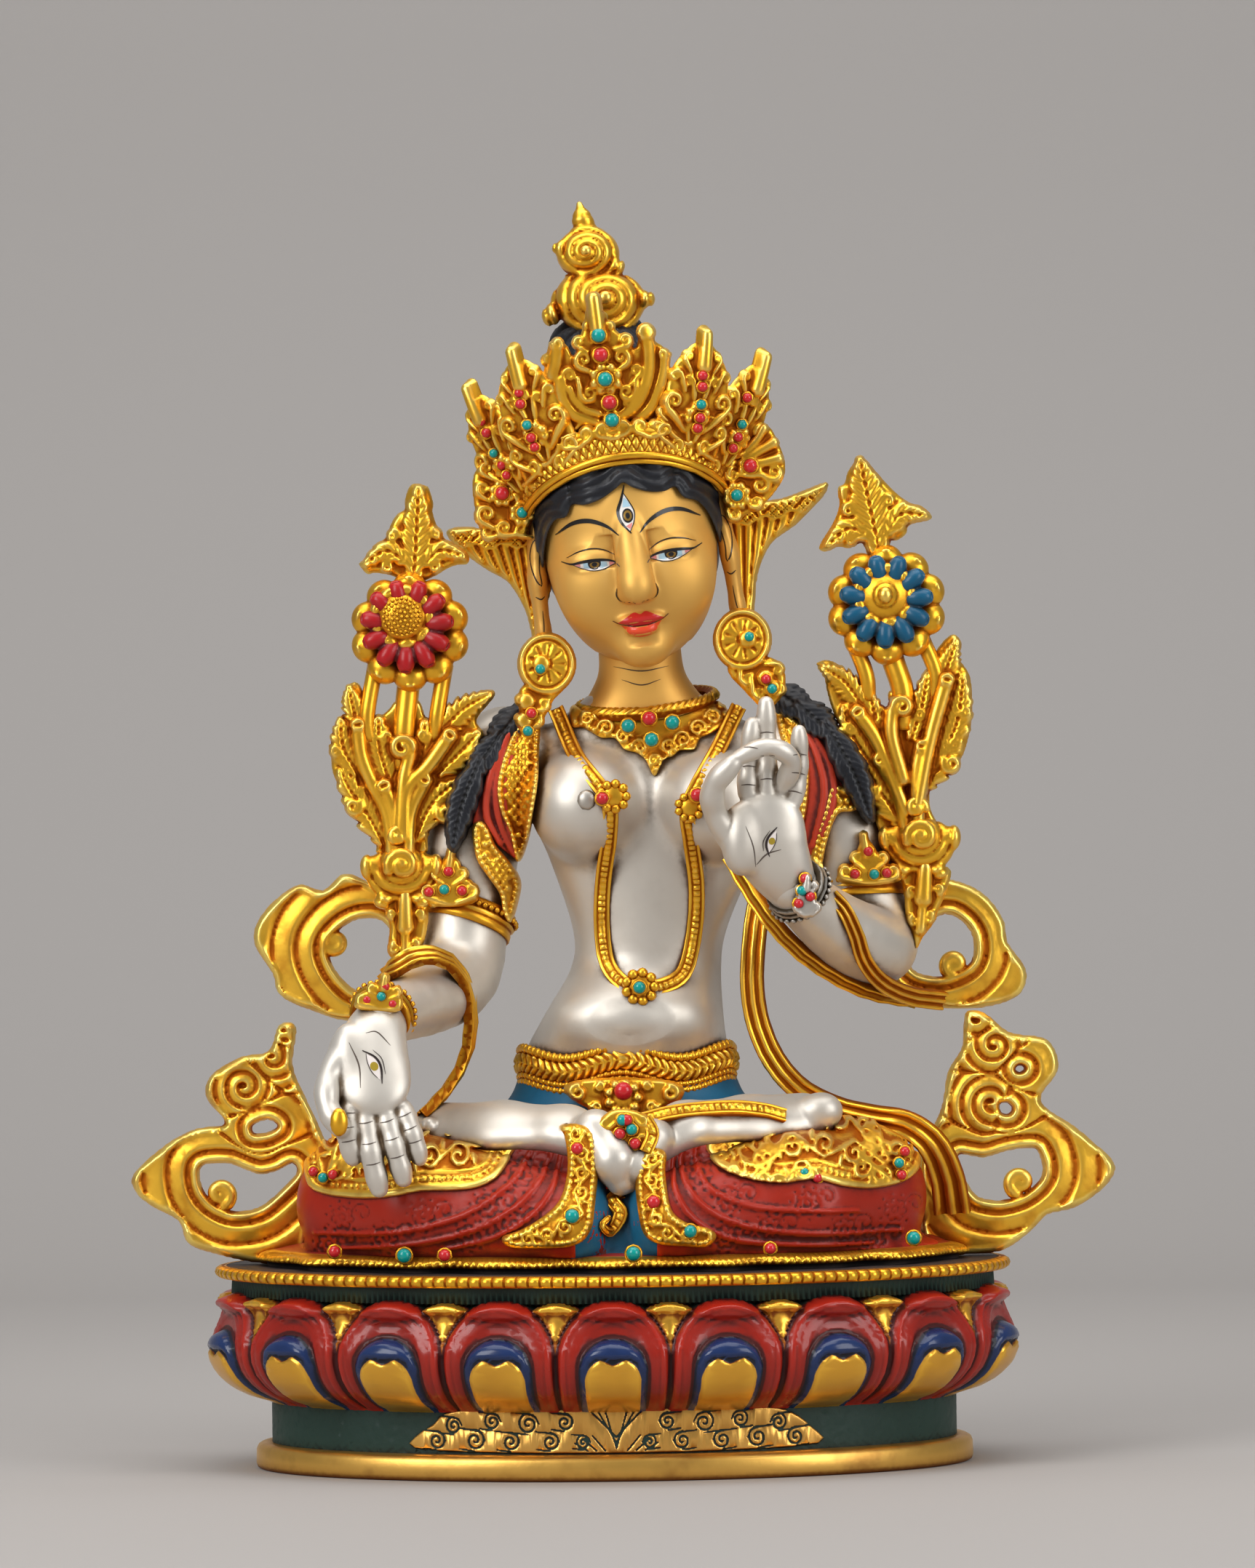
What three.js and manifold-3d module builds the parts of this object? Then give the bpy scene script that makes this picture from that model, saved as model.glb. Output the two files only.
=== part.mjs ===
// A seated Tara in the Nepalese manner, of cast copper that is gilded, silvered and painted,
// on an oval lotus plinth. Millimetres, +Z up, the figure faces -Y. The origin is the centre
// of the plinth's flat underside.
import * as THREE from "three";
import { mergeVertices } from "three/addons/utils/BufferGeometryUtils.js";
import Module from "manifold-3d";

// Plinth, from the floor up
const footWidth = 195;
const footDepth = 120;
const footHeight = 7;
const waistInset = 4.3;
const waistHeight = 11;
const petalRowHeight = 29.5;
const petalOverhang = 12.7;
const petalCount = 18;
const bandHeight = 4.5;
const bandOverhang = 6.2;
const rimHeight = 3;
const rimOverhang = 10.5;

// Figure, from the top of the plinth to the tip of the topknot jewel
const figureHeight = 289;

// Clearance kept between two pieces that meet
const fitGap = 0.3;

// Coral and turquoise stones, in three sizes across
const smallStone = 2.8;
const mediumStone = 3.8;
const largeStone = 5.2;

// The figure's pose and carving are written at the height of the real work and scaled with it
const workHeight = 289;
const scale = figureHeight / workHeight;
const plinthTop = footHeight + waistHeight + petalRowHeight + bandHeight + rimHeight;

const wasm = await Module();
wasm.setup();

// Solids and geometries
function solidFrom(geometry) {
  const bare = geometry.index ? geometry.toNonIndexed() : geometry.clone();
  bare.deleteAttribute("normal");
  bare.deleteAttribute("uv");
  const merged = mergeVertices(bare, 1e-4);
  const points = merged.attributes.position.array;
  const corners = Uint32Array.from(merged.index.array);
  const kept = [];
  for (let i = 0; i < corners.length; i += 3) {
    const [a, b, c] = corners.subarray(i, i + 3);
    if (a !== b && b !== c && a !== c) kept.push(a, b, c);
  }
  const mesh = { numProp: 3, vertProperties: Float32Array.from(points), triVerts: Uint32Array.from(kept) };
  const solid = new wasm.Manifold(new wasm.Mesh(mesh));
  if (solid.volume() > 0) return solid;
  mesh.triVerts = mesh.triVerts.map((_, i, all) => all[i - (i % 3) + 2 - (i % 3)]);
  return new wasm.Manifold(new wasm.Mesh(mesh));
}

function geometryFrom(solid) {
  const { vertProperties, triVerts } = solid.getMesh();
  const geometry = new THREE.BufferGeometry();
  geometry.setAttribute("position", new THREE.BufferAttribute(Float32Array.from(vertProperties), 3));
  geometry.setIndex(new THREE.BufferAttribute(Uint32Array.from(triVerts), 1));
  return geometry;
}

const join = (solids) => solids.reduce((sum, solid) => sum.add(solid));

// The one body that a cut leaves, without the crumbs around it
function largestBody(solid) {
  return solid.decompose().reduce((best, body) => (body.volume() > best.volume() ? body : best));
}

// A closed skin over rings of equal count, with a point at each end
function skin(rings, firstPole, lastPole) {
  const sides = rings[0].length;
  const points = [firstPole, ...rings.flat(), lastPole];
  const last = points.length - 1;
  const corners = [];
  const at = (row, side) => 1 + row * sides + (side % sides);
  for (let side = 0; side < sides; side += 1) {
    corners.push(0, at(0, side + 1), at(0, side));
    corners.push(last, at(rings.length - 1, side), at(rings.length - 1, side + 1));
    for (let row = 0; row + 1 < rings.length; row += 1) {
      corners.push(at(row, side), at(row, side + 1), at(row + 1, side + 1));
      corners.push(at(row, side), at(row + 1, side + 1), at(row + 1, side));
    }
  }
  const geometry = new THREE.BufferGeometry().setFromPoints(points);
  geometry.setIndex(corners);
  return solidFrom(geometry);
}

// Horizontal oval rings, each [z, x, y, half width, front depth, back depth], with flat ends
function stack(levels, sides, grow = 0) {
  const rings = levels.map(([z, x, y, half, front, back], row) => {
    const end = row === 0 ? -grow : row === levels.length - 1 ? grow : 0;
    return Array.from({ length: sides }, (_, i) => {
      const turn = (2 * Math.PI * i) / sides;
      const depth = Math.sin(turn) < 0 ? front : back;
      return new THREE.Vector3(x + (half + grow) * Math.cos(turn), y + (depth + grow) * Math.sin(turn), z + end);
    });
  });
  const pole = (ring) => ring.reduce((sum, p) => sum.add(p), new THREE.Vector3()).divideScalar(sides);
  return skin(rings, pole(rings[0]), pole(rings.at(-1)));
}

// A limb through stations [x, y, z, half across, half through], with rounded ends unless it is slim
const slimSides = 5;

function limb(stations, sides, grow = 0, across = [1, 0, 0]) {
  const spine = stations.map(([x, y, z]) => new THREE.Vector3(x, y, z));
  const frames = spine.map((p, i) => {
    const along = spine[Math.min(i + 1, spine.length - 1)].clone().sub(spine[Math.max(i - 1, 0)]).normalize();
    const u = new THREE.Vector3(...across);
    u.addScaledVector(along, -u.dot(along)).normalize();
    return { p, along, u, v: along.clone().cross(u) };
  });
  const ring = ({ p, along, u, v }, a, b, shift) =>
    Array.from({ length: sides }, (_, i) => {
      const turn = (2 * Math.PI * i) / sides;
      const spot = p.clone().addScaledVector(along, shift);
      return spot.addScaledVector(u, a * Math.cos(turn)).addScaledVector(v, b * Math.sin(turn));
    });
  const sizes = stations.map(([, , , a, b = a]) => [a + grow, b + grow]);
  const rings = frames.map((frame, i) => ring(frame, ...sizes[i], 0));
  const [a0, b0] = sizes[0];
  const [a1, b1] = sizes.at(-1);
  const first = frames[0];
  const last = frames.at(-1);
  if (sides > slimSides) {
    rings.unshift(ring(first, 0.7 * a0, 0.7 * b0, -0.7 * Math.min(a0, b0)));
    rings.push(ring(last, 0.7 * a1, 0.7 * b1, 0.7 * Math.min(a1, b1)));
  }
  const firstPole = first.p.clone().addScaledVector(first.along, -Math.min(a0, b0));
  const lastPole = last.p.clone().addScaledVector(last.along, Math.min(a1, b1));
  return skin(rings, firstPole, lastPole);
}

function ball([x, y, z], [rx, ry, rz], sides = 10, grow = 0) {
  const geometry = new THREE.SphereGeometry(1, sides, Math.round(sides * 0.7));
  geometry.rotateX(Math.PI / 2);
  geometry.scale(rx + grow, ry + grow, rz + grow);
  geometry.translate(x, y, z);
  return solidFrom(geometry);
}

// A smooth closed outline through points, sampled with a number of steps for each point
function outline(points, steps = 2) {
  const curve = new THREE.CatmullRomCurve3(points.map(([x, z]) => new THREE.Vector3(x, z, 0)), true);
  return curve.getPoints(Math.round(points.length * steps)).slice(0, -1).map((p) => new THREE.Vector2(p.x, p.y));
}

// An upright plate seen from the front, with softened edges and open holes
function plate(points, holes, y, thickness, bevel, steps = 2) {
  const edge = outline(points, steps);
  const shape = new THREE.Shape(THREE.ShapeUtils.isClockWise(edge) ? edge.reverse() : edge);
  holes.forEach((hole) => shape.holes.push(new THREE.Path(outline(hole, steps))));
  const geometry = new THREE.ExtrudeGeometry(shape, {
    depth: thickness - 2 * bevel,
    bevelThickness: bevel,
    bevelSize: bevel,
    bevelOffset: -bevel,
    bevelSegments: 1,
  });
  geometry.rotateX(Math.PI / 2);
  geometry.translate(0, y + thickness / 2 - bevel, 0);
  return solidFrom(geometry);
}

// A short disc that faces the viewer, with a domed front
function disc([x, y, z], radius, depth, sides = 12) {
  const profile = [[0, 0], [radius, 0], [radius, 0.5 * depth], [0.6 * radius, depth], [0, depth]];
  const geometry = new THREE.LatheGeometry(profile.map(([r, h]) => new THREE.Vector2(r, h)), sides);
  geometry.rotateX(Math.PI);
  geometry.translate(x, y, z);
  return solidFrom(geometry);
}

// Lotus plinth
function ovalSpots(halfWidth, halfDepth, count) {
  const steps = 3600;
  const point = (i) => {
    const turn = (2 * Math.PI * i) / steps - Math.PI / 2;
    return new THREE.Vector2(halfWidth * Math.cos(turn), halfDepth * Math.sin(turn));
  };
  const lengths = [0];
  for (let i = 1; i <= steps; i += 1) lengths.push(lengths[i - 1] + point(i).distanceTo(point(i - 1)));
  return Array.from({ length: count }, (_, k) => {
    const i = lengths.findIndex((length) => length >= (lengths[steps] * k) / count);
    const p = point(i);
    const outward = Math.atan2(p.y / halfDepth ** 2, p.x / halfWidth ** 2);
    return { x: p.x, y: p.y, outward };
  });
}

// The petal row in one skin: each petal takes six columns, from the gap at one side to the other
const petalColumns = 6;
const petalRises = [0, 0.16, 0.38, 0.66, 0.86, 1];
const petalSwell = [
  [0.2, 0.92, 1.12, 0.9, 1, 0.4],
  [0.2, 0.78, 1.02, 0.9, 1, 0.35],
  [0.1, 0.42, 0.7, 0.75, 0.66, 0.25],
  [0, 0.02, 0.08, 0.25, 0.5, 0.2],
];

function lotusPlinth() {
  const halfWidth = footWidth / 2;
  const halfDepth = footDepth / 2;
  const oval = (z, offset) => [z, 0, 0, halfWidth + offset, halfDepth + offset, halfDepth + offset];
  const waistTop = footHeight + waistHeight;
  const petalTop = waistTop + petalRowHeight;
  const bandTop = petalTop + bandHeight;
  const rimEdge = 0.3 * rimHeight;
  const backing = 0.4 * petalOverhang;
  const bulge = petalOverhang - backing;
  const foot = stack([oval(0, 0), oval(footHeight, 0), oval(footHeight, -waistInset), oval(waistTop, -waistInset)], 32);
  const top = stack([
    oval(petalTop, bandOverhang),
    oval(bandTop, bandOverhang),
    oval(bandTop, rimOverhang - rimEdge),
    oval(bandTop + 0.5 * rimHeight, rimOverhang),
    oval(plinthTop, rimOverhang - rimEdge),
  ], 32);
  const spots = ovalSpots(halfWidth + backing, halfDepth + backing, petalColumns * petalCount);
  const rings = petalRises.map((rise, row) =>
    spots.map(({ x, y, outward }, column) => {
      const phase = column % petalColumns;
      const out = bulge * petalSwell[Math.min(phase, petalColumns - phase)][row] / petalSwell[0][2];
      return new THREE.Vector3(
        x + out * Math.cos(outward),
        y + out * Math.sin(outward),
        waistTop + rise * petalRowHeight,
      );
    }),
  );
  const petals = skin(rings, new THREE.Vector3(0, 0, waistTop), new THREE.Vector3(0, 0, petalTop));
  return join([foot, petals, top]);
}

// The head's own frame: leaning a little to its right and bowed
const headPlace = new THREE.Matrix4()
  .makeTranslation(7.5, -2, 192.5)
  .multiply(new THREE.Matrix4().makeRotationY(THREE.MathUtils.degToRad(-7)))
  .multiply(new THREE.Matrix4().makeRotationX(THREE.MathUtils.degToRad(7)));
const inHead = (solid) => solid.transform(headPlace.elements);

function head(grow) {
  const face = stack([
    [-29.5, 0, -14, 6, 6, 6],
    [-26.5, 0, -13, 11, 11, 9],
    [-20, 0, -10, 16.5, 15, 14],
    [-11, 0, -6, 21, 19.5, 20],
    [1, 0, -1, 23.8, 24.5, 25],
    [13, 0, 0, 24, 26, 28],
    [23, 0, 0, 22.8, 24.5, 27],
    [31, 0, 0, 19, 20, 22],
    [37.5, 0, 0, 11, 12, 13],
    [40.5, 0, 0, 4, 5, 5],
  ], 14, grow);
  const nose = limb([[0, -24.5, 5, 1.6, 2], [0, -27.5, -7.5, 3.4, 2.6]], 6, grow);
  const lips = ball([0, -23.5, -15.5], [7, 3.2, 2.4], 6, grow);
  const lids = [-10.5, 10.5].map((x) => ball([x, -20.5, 0.5], [6.5, 4, 3.4], 6, grow));
  const hair = ball([0, 5.5, 13.5], [26.3, 26.3, 27.8], 10, grow);
  const bun = ball([1.5, 6, 55], [14.5, 14, 15.5], 7, grow);
  const neckHair = limb([[0, 22, 8, 17, 9], [2, 20, -36, 15, 6]], 8, grow);
  const ears = [-1, 1].map((hand) =>
    limb([[24.5 * hand, 0, 7, 1.8, 4.2], [25.5 * hand, 1, -4, 2, 4], [23 * hand, -2, -27, 1.6, 2.6]], 4, grow));
  return inHead(join([face, nose, lips, ...lids, hair, bun, neckHair, ...ears]));
}

function trunk(grow) {
  const body = stack([
    [0, 3, 8, 47, 30, 33],
    [18, 3, 8, 46, 30, 32],
    [52, 4.4, 7, 29.4, 20, 19],
    [58, 4.8, 7, 27.3, 18.5, 17],
    [65, 6.2, 7, 24, 19.5, 15],
    [79, 10, 6, 20.4, 16, 13],
    [90, 11.3, 5, 21, 14.5, 14],
    [109, 12.3, 5, 29, 16, 17.5],
    [121, 12.3, 5, 34.5, 17, 18.5],
    [133, 12.2, 5, 38, 15, 17],
    [142, 12, 5, 36, 12, 14],
    [149, 11.2, 5, 25, 11, 12],
    [156, 10.2, 4, 14.5, 11.5, 11],
    [164, 9.7, 2, 11.2, 11, 10.5],
    [176, 9, 0, 10, 10, 10],
  ], 14, grow);
  const breasts = [-5.5, 29].map((x) => ball([x, -5.5, 124], [15.6, 15.4, 15.6], 8, grow));
  const backHair = limb([[10, 24, 152, 20, 5], [12, 24, 112, 18, 5]], 6, grow);
  return join([body, ...breasts, backHair]);
}

// The right arm reaches over the knee with an open palm, the left is raised before the breast
function rightArm(grow) {
  const arm = limb([
    [-28, 6, 139, 12.5], [-36, 6, 122, 12.2], [-38, 5, 95, 11.6],
    [-40, -1, 80, 11.4], [-46, -14, 74, 10.4], [-61, -43, 67.5, 7],
  ], 8, grow);
  const palm = limb([[-62.3, -46.5, 66, 6.8, 5.5], [-64.5, -50.5, 57, 10.6, 5], [-62, -54.5, 42, 9.8, 3.7]], 8, grow);
  return join([
    arm, palm,
    finger([[-69.6, -53, 44], [-68.4, -58, 38], [-67.4, -56, 31.5]], 2.9, grow),
    finger([[-65, -54, 43], [-63, -57.5, 33], [-60.4, -56, 23.5]], 2.9, grow),
    finger([[-59.4, -54, 43], [-56, -57.5, 34], [-52.2, -56, 25.5]], 2.8, grow),
    finger([[-55, -53, 44], [-51.5, -56, 37], [-48.6, -55, 30.5]], 2.5, grow),
    finger([[-69, -51, 60], [-74.4, -55, 51], [-71.4, -59.5, 40]], 3.4, grow),
  ]);
}

function finger(points, radius, grow) {
  return limb(points.map((p, i) => [...p, radius * (1.08 - 0.08 * i)]), 5, grow);
}

function leftArm(grow) {
  const arm = limb([
    [52, 6, 138, 12.5], [60, 5, 122, 12], [71.5, 2, 94, 11],
    [73.5, -4, 84, 10.6], [66, -14, 87, 10.4], [49.5, -32, 101.5, 7],
  ], 8, grow, [0, 1, 0]);
  const palm = limb([[47, -34, 104, 6.6, 5.4], [42, -37, 113, 10, 5], [41.5, -38.5, 126, 10.2, 3.9]], 8, grow);
  return join([
    arm, palm,
    finger([[38, -38.5, 127], [38.2, -38, 136], [39.2, -39, 145]], 2.7, grow),
    finger([[43, -39, 128], [43, -38, 139], [42.8, -39, 149]], 2.8, grow),
    finger([[47, -39, 128], [49, -45, 136], [43, -48, 139], [34.5, -48.5, 135.5]], 2.6, grow),
    finger([[50, -38, 124], [51.6, -39, 134], [51.6, -41, 143]], 2.5, grow),
    finger([[33, -38, 114], [28.2, -43, 124], [32.5, -48.5, 134.5]], 3.3, grow),
  ]);
}

// Legs folded in the full lotus seat, under a robe whose hem spreads over the plinth
function legs(grow) {
  const leg = (hand) => [
    limb([[16 * hand, 8, 22, 20, 20], [42 * hand, 0, 20, 21, 19], [64 * hand, -14, 18.5, 22, 18.5]], 10, grow, [0, 1, 0]),
    limb([[68 * hand, -18, 17.5, 19, 17.5], [50 * hand, -32, 16.5, 17, 17], [14 * hand, -46, 14, 12, 14]],
      10, grow, [0, 1, 0]),
  ];
  const foot = (points) => limb(points, 6, grow, [0, 1, 0]);
  return join([
    ...leg(-1),
    ...leg(1),
    foot([[2, -44, 27, 7, 6], [-12, -36, 37, 8, 5], [-47, -22, 37.5, 8, 3.8]]),
    foot([[0, -46, 26, 7, 6], [18, -38, 39, 8, 5], [56, -20, 40, 8, 4]]),
  ]);
}

function hem(grow) {
  const waves = 16;
  const edge = (share, depth) =>
    Array.from({ length: 2 * waves }, (_, i) => {
      const turn = (Math.PI * i) / waves;
      const swell = share * (1 + 0.012 * Math.cos(i * Math.PI));
      return new THREE.Vector3((96 + grow) * swell * Math.cos(turn), 2 + (58 + grow) * swell * Math.sin(turn), depth);
    });
  const rings = [edge(1, 0), edge(1, 2.6 + grow), edge(0.9, 6 + grow)];
  return skin(rings, new THREE.Vector3(0, 2, 0), new THREE.Vector3(0, 2, 6 + grow));
}

// Ornaments that are cast with the figure: collar, long necklace, armlets, bracelets, belt,
// ear discs, the cloth over the shoulders and the scarf that loops round the arms
function ornaments(grow) {
  const cord = (points, radius, sides = 5) => limb(points.map((p) => [...p, radius]), sides, grow);
  const necklace = cord([[-13, -8, 149], [-8.5, -16, 137], [-0.5, -22.5, 126], [1, -18, 115], [-1.5, -12.4, 92],
    [0, -14.5, 81], [8.5, -15, 75.5], [19, -14.5, 78], [24.5, -12.4, 92], [22.2, -17.5, 114],
    [24, -22.5, 127], [31, -16, 138], [37, -8, 149]], 2.2, 4);
  const collar = limb([[-9, -1, 150, 4, 4], [-1, -6, 146, 4, 5], [11, -8.5, 141.5, 4, 7], [23, -6, 147, 4, 5],
    [31, -1, 152, 4, 4]], 6, grow, [0, 1, 0]);
  const ring = (x, y, z, radius, lean, depth) => {
    const geometry = new THREE.TorusGeometry(radius, depth + grow, 4, 8);
    geometry.rotateX(lean[0]);
    geometry.rotateY(lean[1]);
    geometry.translate(x, y, z);
    return solidFrom(geometry);
  };
  const belt = stack([[46, 4.2, 7, 31.5, 22, 21], [50, 4.4, 7, 32, 23, 21.5], [55, 4.6, 7, 30.8, 22.5, 20.5],
    [58, 4.8, 7, 28, 19, 18]], 14, grow);
  const earDiscs = [[-16.2, 1, 159], [38.1, 1, 168]].map((spot) => disc(spot, 9 + grow, 13 + grow, 8));
  const pendants = [
    limb([[-18, -9, 153, 4], [-22, -10, 143, 2.6]], 5, grow),
    limb([[41, -9, 162, 4], [46, -10, 152, 2.6]], 5, grow),
  ];
  const cloth = [
    limb([[-22, -4, 150, 9, 6], [-28, -7, 132, 10, 7], [-26, -6, 109, 7, 6]], slimSides, grow),
    limb([[46, -4, 149, 9, 6], [53, -6, 132, 9, 7], [54, -5, 112, 7, 6]], slimSides, grow),
  ];
  const locks = [
    cord([[-31, 0, 151], [-39, -5, 134], [-43, -3, 112]], 4.6),
    cord([[42, 0, 153], [56, -4, 147], [68, -4, 124]], 4.6),
  ];
  const scarf = limb([[-57, -30, 80, 1.2, 4], [-48, -24, 85.5, 1.2, 4], [-38.5, -14, 76, 1.2, 4], [-38.2, -14, 62, 1.2, 4],
    [-43, -18, 51, 1.2, 4], [-51, -24, 41, 1.2, 4]], 4, grow, [0, 0, 1]);
  const ribbon = limb([[66, 0, 94, 2.8, 1.6], [46, -4, 90, 2.8, 1.6], [39.4, -2, 77, 2.8, 1.6], [42, 0, 61, 2.8, 1.6],
    [50, 0, 49, 2.8, 1.6], [62, -2, 41, 2.8, 1.6], [70, -4, 34, 2.8, 1.6]], 4, grow);
  return join([
    necklace, collar, belt, ...earDiscs, ...pendants, ...cloth, ...locks, scarf, ribbon,
    ring(-37.5, 5, 92, 12, [0.1, 0.2], 2.2),
    ring(70, 2, 96, 11.6, [0.1, 0.35], 2.2),
    ring(-59.5, -40, 68, 7.4, [1.2, 0.5], 2),
    ring(50.5, -31, 100.5, 7.4, [0.8, -0.75], 2),
  ]);
}

function figure(grow) {
  return join([trunk(grow), head(grow), rightArm(grow), leftArm(grow), legs(grow), hem(grow), ornaments(grow)]);
}

// Crown: a band that slopes down to the ears, five leaves with horned tips and two pleated ribbons
function crown() {
  const bandAt = (turn) => [28 * Math.sin(turn), -23 * Math.cos(turn), 32 - 19 * (1 - Math.cos(turn))];
  const turns = Array.from({ length: 7 }, (_, i) => ((i - 3) * Math.PI) / 5.6);
  const band = inHead(limb(turns.map((turn) => [...bandAt(turn), 4, 1.8]), 5, 0, [0, 0, 1]));
  const leaf = (turn, tip, width) => {
    const base = new THREE.Vector3(...bandAt(turn)).applyMatrix4(headPlace);
    const end = new THREE.Vector3(...tip);
    const rows = [[0, 0.44, 2.4], [0.34, 0.5, 2.2], [0.68, 0.17, 1.8], [0.97, 0.07, 1.2]];
    const stations = rows.map(([up, half, thick]) => [...base.clone().lerp(end, up), half * width, thick]);
    const facing = 0.6 * turn;
    return limb(stations, slimSides, 0, [Math.cos(facing), Math.sin(facing), 0]);
  };
  const leaves = [
    leaf(0, [-1.4, -34, 262], 27),
    leaf(-0.75, [-23.8, -27, 249], 18),
    leaf(0.75, [27.7, -27, 253], 18),
    leaf(-1.25, [-35.9, -13, 240], 16),
    leaf(1.25, [43.7, -13, 247.5], 16),
  ];
  const fans = [
    plate([[-17, 204], [-41, 201], [-37.5, 192.5], [-26, 184.5], [-21, 175], [-18, 165], [-15, 186]], [], 2.5, 4, 0.8, 1),
    plate([[31, 207], [59.5, 210], [53, 200], [43.5, 192], [40.5, 184], [43, 172], [34, 182]], [], 2.5, 4, 0.8, 1),
  ];
  return join([band, ...leaves, ...fans]);
}

// Topknot jewel: two cloud coils and a pointed tip over the black knot of hair
function topknotJewel() {
  return join([
    ball([0.8, 4, 261], [12.3, 10, 9.8], 8),
    ball([-2.8, 4, 274.5], [9.2, 8, 8.2], 7),
    limb([[-4.5, 4, 280, 4.6], [-5.4, 4, 287.6, 1.4]], slimSides),
  ]);
}

// Lotus spray: a leafy stem with an open flower and a palmette over it. Places are [x, z] pairs.
function lotusSpray({ flower, petalReach, palmette, leafTips, stem, knot, foot, curls }) {
  const y = -8;
  const [fx, fz] = flower;
  const bloomColumns = 16;
  const bloomRing = (reach, depth, wave) =>
    Array.from({ length: bloomColumns }, (_, i) => {
      const turn = (2 * Math.PI * i) / bloomColumns;
      const r = reach * (1 + wave * Math.cos((i % 2) * Math.PI));
      return new THREE.Vector3(fx + r * Math.cos(turn), y + depth, fz + r * Math.sin(turn));
    });
  const bloom = skin([
    bloomRing(0.5 * petalReach, 6, 0),
    bloomRing(0.95 * petalReach, 3, 0.06),
    bloomRing(0.9 * petalReach, -1, 0.07),
    bloomRing(0.5 * petalReach, -5, 0),
    bloomRing(0.3 * petalReach, -9, 0),
  ], new THREE.Vector3(fx, y + 6, fz), new THREE.Vector3(fx, y - 10, fz));
  const leaf = (points) => limb(points.map(([x, z, half]) => [x, y + 4, z, half, 2]), 4);
  const between = ([ax, az], [bx, bz], share) => [ax + (bx - ax) * share, az + (bz - az) * share];
  const leaves = leafTips.map((tip) => {
    const outward = Math.sign(tip[0] - knot[0]) * 3;
    const [lx, lz] = between(knot, tip, 0.35);
    const [mx, mz] = between(knot, tip, 0.72);
    return leaf([[...knot, 4], [lx, lz, 5.5], [mx + outward, mz - 2, 6.5], [...tip, 1.4]]);
  });
  const curlLeaves = curls.map((tip) => leaf([[...knot, 4], [...tip, 2.4]]));
  return join([
    bloom,
    plate(palmette, [], y + 4, 5, 0.8, 1),
    limb([[fx, y + 4, fz - 8, 3.2], [...stem.slice(0, 1), y + 4, stem[1], 4.2], [knot[0], y + 4, knot[1], 4.6],
      [foot[0], y + 4, foot[1], 2]], slimSides),
    ...leaves,
    ...curlLeaves,
    ball([knot[0], y, knot[1]], [9.3, 6.8, 9.3], 6),
  ]);
}

const raspberryLotus = {
  flower: [-52.5, 172], petalReach: 15.6, stem: [-56, 144], knot: [-56.4, 106], foot: [-55.7, 84],
  palmette: [[-57, 184], [-61, 190], [-65.8, 189], [-61, 196], [-54, 198], [-50.1, 211.8], [-46, 197], [-37, 192],
    [-44, 189], [-48, 184]],
  leafTips: [[-70, 156], [-33, 155.5]], curls: [[-69, 124], [-43.5, 120]],
};
const blueLotus = {
  flower: [76, 180], petalReach: 16.4, stem: [80.6, 150], knot: [84, 114], foot: [80, 88],
  palmette: [[70, 195], [65, 197], [59.8, 192.5], [62, 201], [68, 203], [70, 217.3], [75, 206], [83, 200],
    [89.4, 201], [85, 196], [78, 194]],
  leafTips: [[58.5, 162], [95, 168]], curls: [[67, 122], [97, 122]],
};

// Scarf scrolls: open cloud shapes cast flat and fixed behind the elbows
const elbowScrollRight = {
  edge: [[-64, 103], [-72, 106], [-78, 101], [-85, 103], [-94, 96], [-97, 88], [-92, 79], [-90, 73],
    [-82, 69], [-70, 66], [-60, 73], [-52, 82], [-46, 86], [-46, 96]],
  hole: [[-64, 93], [-72, 93], [-77, 87], [-75, 80], [-69, 74], [-63, 76], [-60, 84]],
};
const elbowScrollLeft = {
  edge: [[84, 103], [95, 102], [103, 98], [108, 91], [109, 85], [114, 77], [111, 70], [98, 67],
    [84, 69], [73, 75], [66, 80], [66, 92], [74, 100]],
  hole: [[92, 93], [99, 88], [99, 80], [91, 76], [83, 78], [82, 86]],
};

// Flame scrolls that stand on the plinth beside the knees
const kneeScrollRight = {
  edge: [[-96, 0], [-108, 3], [-115.5, 6], [-118, 12], [-125, 16], [-129.5, 20], [-130.3, 25], [-121, 33], [-113, 37],
    [-105, 38.5], [-110, 45.5], [-108.7, 51.5], [-100.7, 56.4], [-93, 58], [-90, 65], [-85.5, 64.5], [-86.5, 54],
    [-83, 45], [-79, 36], [-76, 26], [-82, 10], [-86, 0]],
  hole: [[-107, 22], [-106, 27], [-98, 29], [-88, 27], [-83, 23], [-90, 17], [-98, 17]],
};
const kneeScrollLeft = {
  edge: [[96, 0], [106.5, 1.5], [114.5, 7], [118.6, 11], [126.5, 13], [134.5, 18.6], [137.2, 24.4], [130.7, 31],
    [126, 35], [117, 42], [122, 50.6], [119, 58.5], [109, 60.6], [102, 66], [97, 66], [96, 57], [92, 50], [90, 40],
    [84, 26], [84, 10], [86, 0]],
  hole: [[112, 22], [114, 27], [107, 31], [98, 30], [93, 27], [98, 21], [105, 18]],
};

const enlarge = new THREE.Matrix4().makeTranslation(0, 0, plinthTop).scale(new THREE.Vector3(scale, scale, scale));
const seated = (solid) => solid.transform(enlarge.elements);

// Everything that stands on the plinth ends flat on its top
const underPlinthTop = solidFrom(new THREE.BoxGeometry(workHeight, workHeight, 60).translate(0, 0, -30));
const figureBody = largestBody(figure(0).subtract(underPlinthTop));
const figureRoom = figure(fitGap).add(underPlinthTop);
const clearOfFigure = (solid) => largestBody(solid.subtract(figureRoom));

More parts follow.
